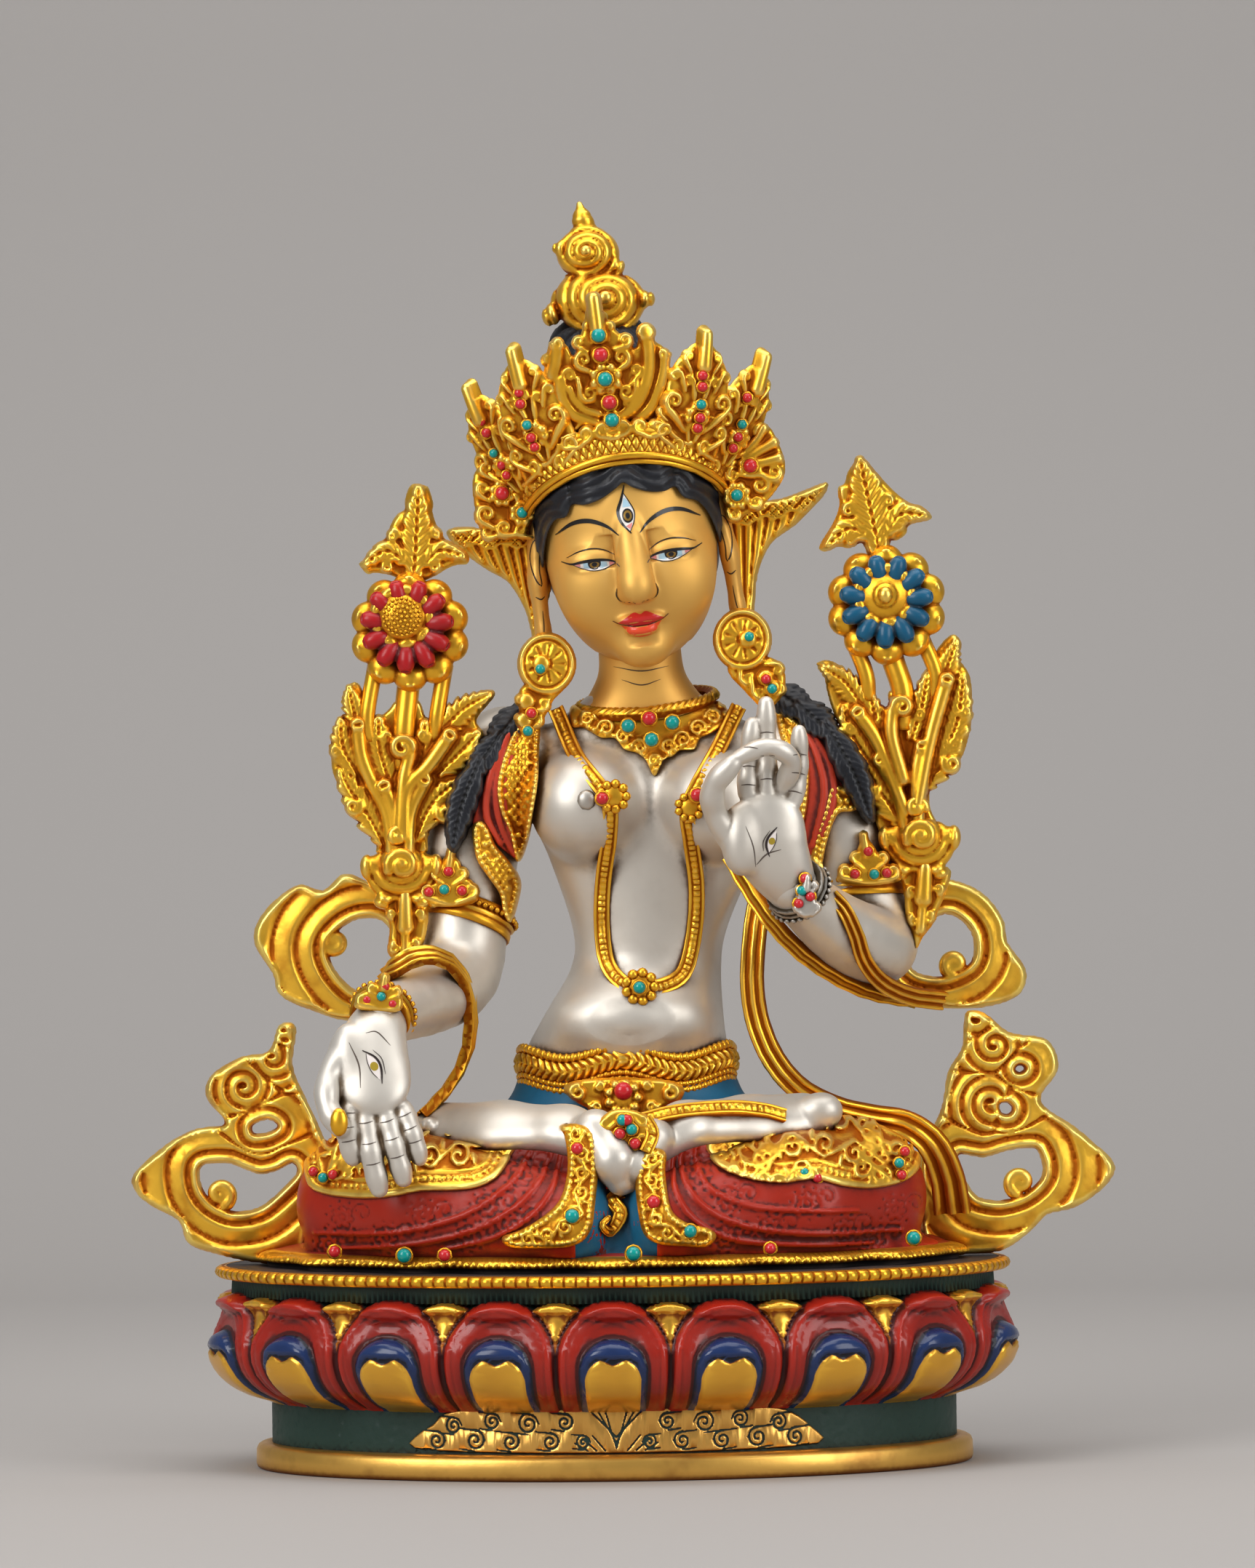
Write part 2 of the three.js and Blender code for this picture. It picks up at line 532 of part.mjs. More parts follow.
const silver = { color: 0xb9b8b4, roughness: 0.35, metalness: 0.85 };
const gilt = { color: 0xc98f2a, roughness: 0.32, metalness: 0.95 };
const lacquer = { color: 0x7c231b, roughness: 0.45, metalness: 0.1 };
const coral = { color: 0xb5342b, roughness: 0.3, metalness: 0 };
const turquoise = { color: 0x1f9c93, roughness: 0.35, metalness: 0 };

const model = new THREE.Group();

function addPiece(name, solid, look) {
  const mesh = new THREE.Mesh(geometryFrom(solid), new THREE.MeshStandardMaterial(look));
  mesh.name = name;
  model.add(mesh);
  return mesh;
}

const scroll = ({ edge, hole }, y, thickness) => clearOfFigure(plate(edge, [hole], y, thickness, 1, 1.25));
const elbowScrollDepth = 10;
const kneeScrollDepth = 2;
const scrollThickness = 7;

addPiece("lotus_plinth", lotusPlinth(), lacquer);
const figureMesh = addPiece("figure", seated(figureBody), silver);
const crownMesh = addPiece("crown", seated(clearOfFigure(crown())), gilt);
addPiece("topknot_jewel", seated(clearOfFigure(topknotJewel())), gilt);
addPiece("lotus_spray_right", seated(clearOfFigure(lotusSpray(raspberryLotus))), gilt);
addPiece("lotus_spray_left", seated(clearOfFigure(lotusSpray(blueLotus))), gilt);
addPiece("elbow_scroll_right", seated(scroll(elbowScrollRight, elbowScrollDepth, scrollThickness)), gilt);
addPiece("elbow_scroll_left", seated(scroll(elbowScrollLeft, elbowScrollDepth, scrollThickness)), gilt);
addPiece("knee_scroll_right", seated(scroll(kneeScrollRight, kneeScrollDepth, scrollThickness)), gilt);
addPiece("knee_scroll_left", seated(scroll(kneeScrollLeft, kneeScrollDepth, scrollThickness)), gilt);

// Stones: domed cabochons seated on the ornament that the front view shows at [x, z]
const stoneSides = 6;

function stoneShape(width) {
  const r = width / 2;
  const profile = [[0, 0], [r, 0], [0.74 * r, 0.62 * r], [0, 0.85 * r]];
  return new THREE.LatheGeometry(profile.map(([x, y]) => new THREE.Vector2(x, y)), stoneSides);
}

function addStone(name, carrier, [x, z], width, look) {
  const eye = new THREE.Vector3(x, -workHeight, z).applyMatrix4(enlarge);
  const sight = new THREE.Raycaster(eye, new THREE.Vector3(0, 1, 0));
  const [{ point, face }] = sight.intersectObject(carrier);
  const up = face.normal.clone().normalize();
  const turn = new THREE.Quaternion().setFromUnitVectors(new THREE.Vector3(0, 1, 0), up);
  const reach = 2 * width;
  const heights = Array.from({ length: 2 * stoneSides }, (_, i) => {
    const angle = (Math.PI * i) / stoneSides;
    const spot = new THREE.Vector3(Math.cos(angle), 0, Math.sin(angle)).multiplyScalar(width / 2);
    spot.applyQuaternion(turn).add(point).addScaledVector(up, reach);
    const [hit] = new THREE.Raycaster(spot, up.clone().negate()).intersectObject(carrier);
    return hit ? reach - hit.distance : 0;
  });
  const geometry = stoneShape(width).applyQuaternion(turn);
  const seat = point.clone().addScaledVector(up, Math.max(0, ...heights) + fitGap);
  geometry.translate(seat.x, seat.y, seat.z);
  addPiece(name, solidFrom(geometry), look);
}

const stoneRows = [
  ["crown_centre", crownMesh, mediumStone, "TRTRT", [[-0.6, 249.7], [-0.1, 244.5], [1, 238], [2.1, 231.8], [2.7, 227.1]]],
  ["crown_right", crownMesh, smallStone, "RTR", [[-21.9, 235], [-20, 226.4], [-18, 220.5]]],
  ["crown_left", crownMesh, smallStone, "RTR", [[27.1, 239], [26.6, 231.3], [25.6, 225]]],
  ["crown_outer_right", crownMesh, smallStone, "RTR", [[-32, 228], [-29, 219.5], [-25.6, 213.5]]],
  ["crown_outer_left", crownMesh, smallStone, "RTR", [[39, 233.5], [37.5, 226.4], [35, 220]]],
  ["ear_right", figureMesh, smallStone, "TR", [[-18.8, 162], [-20.6, 151.4]]],
  ["ear_left", figureMesh, smallStone, "TR", [[39, 169], [43.5, 157.5]]],
  ["collar", figureMesh, mediumStone, "RTTT", [[11.7, 147.2], [6, 145], [18, 146], [12.2, 141.6]]],
  ["necklace", figureMesh, mediumStone, "RRT", [[-0.5, 126], [24, 126.5], [8.4, 75]]],
  ["armlet_right", figureMesh, smallStone, "RTR", [[-43, 106.5], [-44.2, 101.6], [-39.4, 101.2]]],
  ["armlet_left", figureMesh, smallStone, "RRT", [[71.0, 110.2], [67.6, 104.3], [72.5, 104.8]]],
  ["bracelet_right", figureMesh, smallStone, "T", [[-60.5, 73.5]]],
  ["bracelet_left", figureMesh, smallStone, "T", [[51.7, 100.5]]],
  ["belt", figureMesh, largeStone, "R", [[3.5, 47]]],
  ["knee_right", figureMesh, smallStone, "T", [[-77, 25]]],
  ["knee_left", figureMesh, smallStone, "TT", [[51.3, 25.5], [77, 27]]],
];
for (const [row, carrier, width, colours, places] of stoneRows) {
  places.forEach((place, i) => {
    const look = colours[i] === "R" ? coral : turquoise;
    addStone(`stone_${row}_${i + 1}`, carrier, place, width * scale, look);
  });
}

export default model;
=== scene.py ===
"""Looks of the seated Tara. Shapes are worked in millimetres and built in metres.
Heights of the figure are measured from the top of the plinth."""

import math

import bpy
import numpy as np
import openvdb
from mathutils import Matrix, Vector


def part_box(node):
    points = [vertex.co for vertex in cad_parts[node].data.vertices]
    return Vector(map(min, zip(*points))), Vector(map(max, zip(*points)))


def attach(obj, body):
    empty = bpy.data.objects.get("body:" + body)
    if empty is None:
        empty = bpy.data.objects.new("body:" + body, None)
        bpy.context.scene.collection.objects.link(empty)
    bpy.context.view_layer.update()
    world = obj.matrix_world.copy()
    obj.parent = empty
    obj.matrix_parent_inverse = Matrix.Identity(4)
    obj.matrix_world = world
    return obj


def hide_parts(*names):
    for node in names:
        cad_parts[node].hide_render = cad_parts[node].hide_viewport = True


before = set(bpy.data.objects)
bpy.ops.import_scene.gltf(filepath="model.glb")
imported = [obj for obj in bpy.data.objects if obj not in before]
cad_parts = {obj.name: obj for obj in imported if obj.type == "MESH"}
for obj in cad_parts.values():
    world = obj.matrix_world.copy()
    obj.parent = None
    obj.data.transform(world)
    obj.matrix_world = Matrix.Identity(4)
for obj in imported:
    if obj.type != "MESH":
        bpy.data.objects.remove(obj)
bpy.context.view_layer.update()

MM = 0.001
PLINTH_TOP = 55.0
FAR = 9.0
HOLLOW_REACH = 1.3
RELIEF_ROOM = 3
KEPT_FACES = 0.3
LIGHT_MESH = 3000
TAU = 2 * math.pi


# Meshes
def build(name, points, faces, material, base=PLINTH_TOP, values=None, replaced=(), slot=None):
    """An object from points in mm and a list of face arrays, one for each count of corners."""
    faces = [np.asarray(f, np.int32) for f in faces if len(f)]
    corners = np.concatenate([f.ravel() for f in faces])
    sizes = np.concatenate([np.full(len(f), f.shape[1]) for f in faces])
    mesh = bpy.data.meshes.new(name)
    mesh.vertices.add(len(points))
    mesh.vertices.foreach_set("co", ((np.asarray(points, float) + (0, 0, base)) * MM).ravel())
    mesh.loops.add(len(corners))
    mesh.loops.foreach_set("vertex_index", corners)
    mesh.polygons.add(len(sizes))
    mesh.polygons.foreach_set("loop_start", np.concatenate([[0], np.cumsum(sizes)[:-1]]))
    mesh.polygons.foreach_set("use_smooth", np.ones(len(sizes), bool))
    for key, value in (values or {}).items():
        mesh.attributes.new(key, "FLOAT", "POINT").data.foreach_set("value", np.asarray(value, np.float32))
    mesh.update(calc_edges=True)
    mesh.materials.append(material)
    piece = bpy.data.objects.new(name, mesh)
    bpy.context.scene.collection.objects.link(piece)
    if sum(len(f) * (f.shape[1] - 2) for f in faces) > LIGHT_MESH:
        thin = piece.modifiers.new("thin", "DECIMATE")
        thin.ratio = KEPT_FACES
    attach(piece, "root")
    if replaced:
        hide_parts(*replaced)
    return piece


class Heap:
    """Small pieces of one finish, gathered into one mesh."""

    def __init__(self):
        self.points, self.quads, self.tris, self.hollow, self.count = [], [], [], [], 0

    def add(self, points, quads=(), tris=(), hollow=0.0):
        for group, faces in ((self.quads, quads), (self.tris, tris)):
            if len(faces):
                group.append(np.asarray(faces) + self.count)
        self.points.append(np.asarray(points, float))
        self.hollow.append(np.broadcast_to(hollow, len(points)))
        self.count += len(points)

    def build(self, name, material, **more):
        faces = [np.concatenate(group) for group in (self.quads, self.tris) if group]
        hollow = np.concatenate(self.hollow)
        return build(name, np.concatenate(self.points), faces, material, values={"hollow": hollow}, **more)


def icosphere(rounds):
    golden = (1 + 5**0.5) / 2
    points = [(-1, golden, 0), (1, golden, 0), (-1, -golden, 0), (1, -golden, 0)]
    points = [p[-k:] + p[:-k] for k in range(3) for p in points]
    points = np.array(points, float)
    points /= np.linalg.norm(points, axis=1)[:, None]
    length = min(np.linalg.norm(points[0] - p) for p in points[1:])
    near = np.linalg.norm(points[:, None] - points[None], axis=2) < 1.1 * length
    tris = [
        (a, b, c) for a in range(12) for b in range(a + 1, 12) for c in range(b + 1, 12)
        if near[a, b] and near[b, c] and near[a, c]
    ]
    tris = [t if np.linalg.det(points[list(t)]) > 0 else t[::-1] for t in tris]
    for _ in range(rounds):
        points, middle, finer = list(points), {}, []

        def half(a, b):
            key = (min(a, b), max(a, b))
            if key not in middle:
                middle[key] = len(points)
                points.append((points[a] + points[b]) / np.linalg.norm(points[a] + points[b]))
            return middle[key]

        for a, b, c in tris:
            ab, bc, ca = half(a, b), half(b, c), half(c, a)
            finer += [(a, ab, ca), (b, bc, ab), (c, ca, bc), (ab, bc, ca)]
        tris, points = finer, np.array(points)
    return points, np.array(tris)


BEAD, STONE = icosphere(1), icosphere(2)


def bead(heap, centre, radii, form=BEAD):
    heap.add(form[0] * radii + np.asarray(centre, float), tris=form[1])


def smooth(points, steps=6, closed=False):
    """A round curve through points of any number of columns."""
    points = np.asarray(points, float)
    if closed:
        padded = np.concatenate([points[-1:], points, points[:2]])
    else:
        padded = np.concatenate([2 * points[:1] - points[1:2], points, 2 * points[-1:] - points[-2:-1]])
    t = np.linspace(0, 1, steps, endpoint=False)[:, None]
    rows = []
    for a, b, c, d in zip(padded, padded[1:], padded[2:], padded[3:]):
        second, third = 2 * a - 5 * b + 4 * c - d, 3 * b - a - 3 * c + d
        rows.append(0.5 * (2 * b + (c - a) * t + second * t**2 + third * t**3))
    if not closed:
        rows.append(points[-1:])
    return np.concatenate(rows)


def run_along(path):
    """Length of a line up to each of its points."""
    return np.concatenate([[0], np.cumsum(np.linalg.norm(np.diff(path, axis=0), axis=1))])


def evenly(points, gap=None, count=None):
    """Points at equal distances along a line."""
    points = np.asarray(points, float)
    length = run_along(points)
    count = count or max(2, int(round(length[-1] / gap)) + 1)
    at = np.linspace(0, length[-1], count)
    return np.stack([np.interp(at, length, column) for column in points.T], 1)


def frames(path, up, closed):
    """Directions to the side and up along a path."""
    ahead = np.roll(path, -1, 0) - np.roll(path, 1, 0) if closed else np.gradient(path, axis=0)
    ahead /= np.linalg.norm(ahead, axis=1)[:, None] + 1e-9
    side = np.cross(ahead, up)
    side /= np.linalg.norm(side, axis=1)[:, None] + 1e-9
    return side, np.cross(side, ahead)


def sweep(heap, path, section, up, closed=False):
    """A closed section, as (side, up) pairs, drawn along a path."""
    path, section = np.asarray(path, float), np.asarray(section, float)
    count, sides = len(path), len(section)
    side, up = frames(path, np.broadcast_to(np.asarray(up, float), path.shape), closed)
    points = path[:, None] + section[None, :, :1] * side[:, None] + section[None, :, 1:] * up[:, None]
    ring = np.arange(sides)
    rows = np.arange(count if closed else count - 1)[:, None] * sides
    after = (rows + sides) % (count * sides)
    turned = (ring + 1) % sides
    quads = np.stack([rows + ring, rows + turned, after + turned, after + ring], 2).reshape(-1, 4)
    tris = ()
    if not closed:
        first = [(0, i + 1, i) for i in range(1, sides - 1)]
        last = [(0, i, i + 1) for i in range(1, sides - 1)]
        tris = np.concatenate([first, np.array(last) + (count - 1) * sides])
    heap.add(points.reshape(-1, 3), quads, tris)


def rounded(sides, wide=1.0, high=1.0):
    turn = np.arange(sides) * TAU / sides
    return np.stack([wide * np.cos(turn), high * np.sin(turn)], 1)


# Clay: distances to a surface on a regular grid
def merged(a, b, soft):
    if not soft:
        return np.minimum(a, b)
    h = np.maximum(soft - np.abs(a - b), 0)
    return np.minimum(a, b) - h * h / (4 * soft)


def kept(a, b, soft=0):
    return -merged(-a, -b, soft)


def sampled_grid(grid, place):
    """Values of a grid of three axes at places counted in cells."""
    place = np.clip(place, 0, np.array(grid.shape) - 1.001)
    index = place.astype(int)
    share = place - index
    total = 0
    for corner in np.ndindex(2, 2, 2):
        weight = np.prod(np.where(corner, share, 1 - share), axis=1)
        total = total + weight * grid[tuple((index + corner).T)]
    return total


def sampled_sheet(sheet, u, v):
    """Values of a grid of two axes at places counted in cells."""
    u = np.clip(u, 0, sheet.shape[0] - 1.001)
    v = np.clip(v, 0, sheet.shape[1] - 1.001)
    u, v = np.broadcast_arrays(u, v)
    i, k = u.astype(int), v.astype(int)
    a, b = u - i, v - k
    lower = sheet[i, k] * (1 - a) + sheet[i + 1, k] * a
    upper = sheet[i, k + 1] * (1 - a) + sheet[i + 1, k + 1] * a
    return lower * (1 - b) + upper * b


class Clay:
    """Distances to the surface of a shape, below zero inside it."""

    def __init__(self, low, high, step):
        self.low, self.step = np.array(low, float), step
        count = np.ceil((np.array(high) - self.low) / step).astype(int) + 1
        self.d = np.full(count, FAR, np.float32)
        self.face = None

    def window(self, low, high):
        first = np.clip(np.floor((np.array(low) - self.low) / self.step).astype(int), 0, None)
        last = np.minimum(np.ceil((np.array(high) - self.low) / self.step).astype(int) + 1, self.d.shape)
        last = np.maximum(last, first)
        axes = [self.low[k] + self.step * np.arange(first[k], last[k]) for k in range(3)]
        cells = tuple(slice(a, b) for a, b in zip(first, last))
        return cells, np.meshgrid(*axes, indexing="ij", sparse=True)

    def add(self, shapes, soft=0.0):
        for low, high, distance in shapes:
            margin = soft + 2 * self.step
            cells, (x, y, z) = self.window(np.array(low) - margin, np.array(high) + margin)
            if 0 not in self.d[cells].shape:
                self.d[cells] = merged(self.d[cells], distance(x, y, z).astype(np.float32), soft)
        return self

    def cut(self, shapes, soft=0.0):
        for low, high, distance in shapes:
            cells, (x, y, z) = self.window(low, high)
            if 0 not in self.d[cells].shape:
                self.d[cells] = kept(self.d[cells], -distance(x, y, z).astype(np.float32), soft)
        return self

    def axes(self):
        return [self.low[k] + self.step * np.arange(self.d.shape[k]) for k in range(3)]

    def resampled(self, axes):
        """The distances on another grid."""
        d = self.d
        for k, axis in enumerate(axes):
            place = np.clip((axis - self.low[k]) / self.step, 0, self.d.shape[k] - 1.001)
            index = place.astype(int)
            share = (place - index).reshape([-1 if j == k else 1 for j in range(3)]).astype(np.float32)
            d = np.take(d, index, k) * (1 - share) + np.take(d, index + 1, k) * share
        return d

    def at(self, points):
        return sampled_grid(self.d, (np.asarray(points, float) - self.low) / self.step)

    def front(self, x, z):
        """The y of the foremost surface at x, z."""
        if self.face is None:
            solid = self.d < 0
            hit = solid.argmax(1)
            i, k = np.indices(hit.shape)
            ahead = np.maximum(hit - 1, 0)
            out, into = self.d[i, ahead, k], self.d[i, hit, k]
            y = self.low[1] + self.step * (ahead + out / np.where(out == into, 1, out - into))
            y = np.where(solid.any(1), y, np.nan)
            for _ in range(8):
                stack = np.stack([np.roll(y, s, a) for a in (0, 1) for s in (-1, 1)])
                full = ~np.isnan(stack)
                mean = np.where(full, stack, 0).sum(0) / np.maximum(full.sum(0), 1)
                y = np.where(np.isnan(y) & full.any(0), mean, y)
            self.face = np.nan_to_num(y, nan=0.0)
        u = (np.asarray(x, float) - self.low[0]) / self.step
        v = (np.asarray(z, float) - self.low[2]) / self.step
        return sampled_sheet(self.face, u, v)

    def surface(self):
        """Points, quads and how deep each point lies in a hollow."""
        grid = openvdb.FloatGrid(background=FAR)
        solid = np.pad(self.d, 1, constant_values=FAR)
        grid.copyFromArray(np.ascontiguousarray(solid))
        points, quads = grid.convertToQuads(isovalue=0.0)
        a, b, c = (points[quads[:, k]] for k in (0, 1, 2))
        if np.einsum("ij,ij->", points[quads[:, 0]], np.cross(b - a, c - a)) < 0:
            quads = quads[:, ::-1]
        soft = np.clip(solid, -2, 2)
        reach = max(1, int(round(HOLLOW_REACH / self.step)))
        span = 2 * reach + 1
        for axis in range(3):
            margins = [(reach + 1, reach) if k == axis else (0, 0) for k in range(3)]
            total = np.cumsum(np.pad(soft, margins, "edge"), axis)
            upper = np.take(total, np.arange(span, total.shape[axis]), axis)
            soft = (upper - np.take(total, np.arange(0, total.shape[axis] - span), axis)) / span
        hollow = -sampled_grid(soft, points) / (reach * self.step)
        return self.low + (points - 1) * self.step, quads, hollow


def cast(name, clay, material, keep=None, place=None, values=None, **more):
    points, quads, hollow = clay.surface()
    if keep is not None:
        wanted = keep(points)[quads].all(1)
        quads = quads[wanted]
        used, quads = np.unique(quads, return_inverse=True)
        points, hollow, quads = points[used], hollow[used], quads.reshape(-1, 4)
    extra = {key: value(points) for key, value in (values or {}).items()}
    if place:
        points = place(points)
    return build(name, points, [quads], material, values={"hollow": hollow, **extra}, **more)


def ball(centre, radii, turn=None):
    """An egg; turn is a 3x3 matrix whose rows are its own axes."""
    centre, radii = np.array(centre, float), np.broadcast_to(np.array(radii, float), 3)
    turn = np.eye(3) if turn is None else np.asarray(turn)
    reach = np.sqrt(((turn * radii[:, None]) ** 2).sum(0))

    def distance(x, y, z):
        x, y, z = x - centre[0], y - centre[1], z - centre[2]
        local = [row[0] * x + row[1] * y + row[2] * z for row in turn]
        k = np.sqrt(sum((v / r) ** 2 for v, r in zip(local, radii))) + 1e-6
        slope = np.sqrt(sum((v / r**2) ** 2 for v, r in zip(local, radii))) + 1e-6
        return k * (k - 1) / slope

    return (centre - reach, centre + reach, distance)


def limb(stations, across=None):
    """Round or flat rods through stations (x, y, z, radius[, thinness])."""
    shapes = []
    for a, b in zip(stations, stations[1:]):
        a, b = np.array(a, float), np.array(b, float)
        thick_a, thick_b = a[4] if len(a) > 4 else a[3], b[4] if len(b) > 4 else b[3]
        low = np.minimum(a[:3] - a[3], b[:3] - b[3])
        high = np.maximum(a[:3] + a[3], b[:3] + b[3])

        def distance(x, y, z, a=a, b=b, thick_a=thick_a, thick_b=thick_b):
            way = b[:3] - a[:3]
            x, y, z = x - a[0], y - a[1], z - a[2]
            t = np.clip((x * way[0] + y * way[1] + z * way[2]) / (way @ way), 0, 1)
            x, y, z = x - t * way[0], y - t * way[1], z - t * way[2]
            radius = a[3] + t * (b[3] - a[3])
            if across is None:
                return np.sqrt(x * x + y * y + z * z) - radius
            along = way / np.linalg.norm(way)
            flat = np.cross(np.cross(along, across), along)
            thin = np.cross(flat / np.linalg.norm(flat), along)
            off = x * thin[0] + y * thin[1] + z * thin[2]
            rest = x * x + y * y + z * z - off * off
            thickness = thick_a + t * (thick_b - thick_a)
            k = np.sqrt(rest / radius**2 + off**2 / thickness**2) + 1e-6
            return (k - 1) * thickness

        shapes.append((low, high, distance))
    return shapes


def ringed(rings):
    """A body through level rings (z, x, y, half width, front depth, back depth)."""
    rings = smooth(rings, 8)
    low = (rings[:, 1] - rings[:, 3]).min(), (rings[:, 2] - rings[:, 4]).min(), rings[0, 0]
    high = (rings[:, 1] + rings[:, 3]).max(), (rings[:, 2] + rings[:, 5]).max(), rings[-1, 0]

    def distance(x, y, z):
        cx, cy, half, front, back = (np.interp(z, rings[:, 0], column) for column in rings.T[1:])
        x, y = x - cx, y - cy
        deep = np.where(y < 0, front, back)
        k = np.sqrt((x / half) ** 2 + (y / deep) ** 2) + 1e-6
        slope = np.sqrt((x / half**2) ** 2 + (y / deep**2) ** 2) + 1e-6
        side = k * (k - 1) / slope
        return np.maximum(np.maximum(side, rings[0, 0] - z), z - rings[-1, 0])

    return [(low, high, distance)]


# Drawings in the front plane
def region(loops, x, z, steps=4):
    """Distance to closed outlines on a grid, below zero inside."""
    x, z = np.broadcast_arrays(x, z)
    near = np.full(x.shape, 1e6)
    odd = np.zeros(x.shape, bool)
    for loop in loops:
        loop = smooth(loop, steps, closed=True) if steps > 1 else np.asarray(loop, float)
        for (ax, az), (bx, bz) in zip(loop, np.roll(loop, -1, 0)):
            ux, uz = bx - ax, bz - az
            t = np.clip(((x - ax) * ux + (z - az) * uz) / (ux * ux + uz * uz + 1e-9), 0, 1)
            near = np.minimum(near, (x - ax - t * ux) ** 2 + (z - az - t * uz) ** 2)
            if az != bz:
                odd ^= ((az > z) != (bz > z)) & (x < ax + (z - az) * ux / uz)
    near = np.sqrt(near)
    return np.where(odd, -near, near)


class Canvas:
    """Raised and sunk lines on a square grid of the front plane."""

    def __init__(self, low, high, step):
        self.low, self.step = np.array(low, float), step
        self.h = np.zeros(np.ceil((np.array(high) - self.low) / step).astype(int) + 1, np.float32)

    def line(self, points, half, height, taper=0.35):
        points = np.asarray(points, float)
        share = np.linspace(0, 1, len(points))
        halves = np.full(len(points), half)
        if taper < 1:
            swell = np.sin(math.pi * np.clip(share, 0.04, 0.96)) ** 0.6
            halves = half * (taper + (1 - taper) * swell)
        for a, b, ra, rb in zip(points, points[1:], halves, halves[1:]):
            first = np.floor((np.minimum(a, b) - half - self.low) / self.step).astype(int)
            last = np.ceil((np.maximum(a, b) + half - self.low) / self.step).astype(int) + 1
            first, last = np.maximum(first, 0), np.minimum(last, self.h.shape)
            if (last <= first).any():
                continue
            x = (self.low[0] + self.step * np.arange(first[0], last[0]))[:, None] - a[0]
            z = (self.low[1] + self.step * np.arange(first[1], last[1]))[None] - a[1]
            u = b - a
            t = np.clip((x * u[0] + z * u[1]) / (u @ u + 1e-9), 0, 1)
            far = np.sqrt((x - t * u[0]) ** 2 + (z - t * u[1]) ** 2) / (ra + t * (rb - ra))
            mark = height * np.sqrt(np.maximum(0, 1 - far * far))
            cells = self.h[first[0]:last[0], first[1]:last[1]]
            cells[...] = np.maximum(cells, mark) if height > 0 else np.minimum(cells, mark)

    def lines(self, group, half, height):
        for points in group:
            self.line(points, half, height)

    def dots(self, centres, radius, height):
        for x, z in centres:
            self.line([(x - 0.01, z), (x + 0.01, z)], radius, height, 1)

    def at(self, x, z):
        u = (np.asarray(x, float) - self.low[0]) / self.step
        v = (np.asarray(z, float) - self.low[1]) / self.step
        return sampled_sheet(self.h, u, v)


def curl(x, z, radius, start, turns=1.4, hand=1, steps=20):
    """A line that winds inward round x, z."""
    t = np.linspace(0, 1, steps)
    turn = math.radians(start) + hand * turns * TAU * t
    r = radius * (1 - 0.86 * t)
    return np.stack([x + r * np.cos(turn), z + r * np.sin(turn)], 1)


def vine(path, half, gap=None):
    """A wavy stem with curls on alternate sides, inside a band of the given half width."""
    gap = gap or 2.1 * half
    spots = evenly(path, gap)
    ahead = np.gradient(spots, axis=0)
    lines, joints = [], []
    for k, (spot, way) in enumerate(zip(spots, ahead)):
        side = 1 if k % 2 else -1
        way = way / np.linalg.norm(way)
        out = np.array([-way[1], way[0]]) * side
        centre = spot + 0.06 * half * out
        start = math.degrees(math.atan2(-out[1], -out[0]))
        lines.append(curl(centre[0], centre[1], 0.82 * half, start, 1.35, side))
        joints.append(centre - 0.82 * half * out)
        beyond = spot + 0.95 * half * way
        lines.append(smooth([beyond + 0.2 * half * out, beyond + 0.85 * half * out], 3))
    for a, b, s in zip(joints, joints[1:], spots):
        lines.append(smooth([a, (a + b) / 2, b], 4))
    return lines


def plate(edge, holes, y, thick, step, rim=2.2, relief=None, back=0.6, steps=5):
    """A cast relief with a rounded edge, as clay; relief(x, z, inside) is added to its front."""
    corners = np.array(edge, float)
    low, high = corners.min(0) - 1.5, corners.max(0) + 1.5
    clay = Clay((low[0], y - thick - RELIEF_ROOM, low[1]), (high[0], y + thick + 1, high[1]), step)
    x, depth, z = np.meshgrid(*clay.axes(), indexing="ij", sparse=True)
    inside = -region([edge, *holes], x[:, 0], z[:, 0], steps)
    edge_fall = np.sqrt(np.clip(1 - np.clip(1 - inside / rim, 0, 1) ** 2, 0, 1))
    half = np.where(inside > 0, thick / 2 * edge_fall, inside)
    raised = half + (relief(x[:, 0], z[:, 0], inside) * np.clip(inside / rim, 0, 1) if relief else 0)
    clay.d = np.maximum(y - depth - raised[:, None], depth - y - back * half[:, None]).astype(np.float32)
    return clay


def veneer(name, base, low, high, outline, thick, material, drawing=None, step=0.45, back=99, **more):
    """A thin fine layer over coarse clay, kept inside an outline of the front plane."""
    fine = Clay(low, high, step)
    x, y, z = axes = fine.axes()
    flat_x, flat_z = x[:, None], z[None]
    d = base.resampled(axes) - thick
    if drawing:
        d = d - drawing(flat_x, flat_z)[:, None].astype(np.float32)
    d = kept(d, outline(flat_x, flat_z)[:, None].astype(np.float32), 0.6)
    fine.d = kept(d, (y - back)[None, :, None].astype(np.float32))
    return cast(name, fine, material, keep=lambda points: base.at(points) > -0.35, **more)


def dome(far, half):
    """Height of a round back beside its middle line, as a share of the greatest."""
    return np.sqrt(np.clip(1 - (far / half) ** 2, 0, 1))


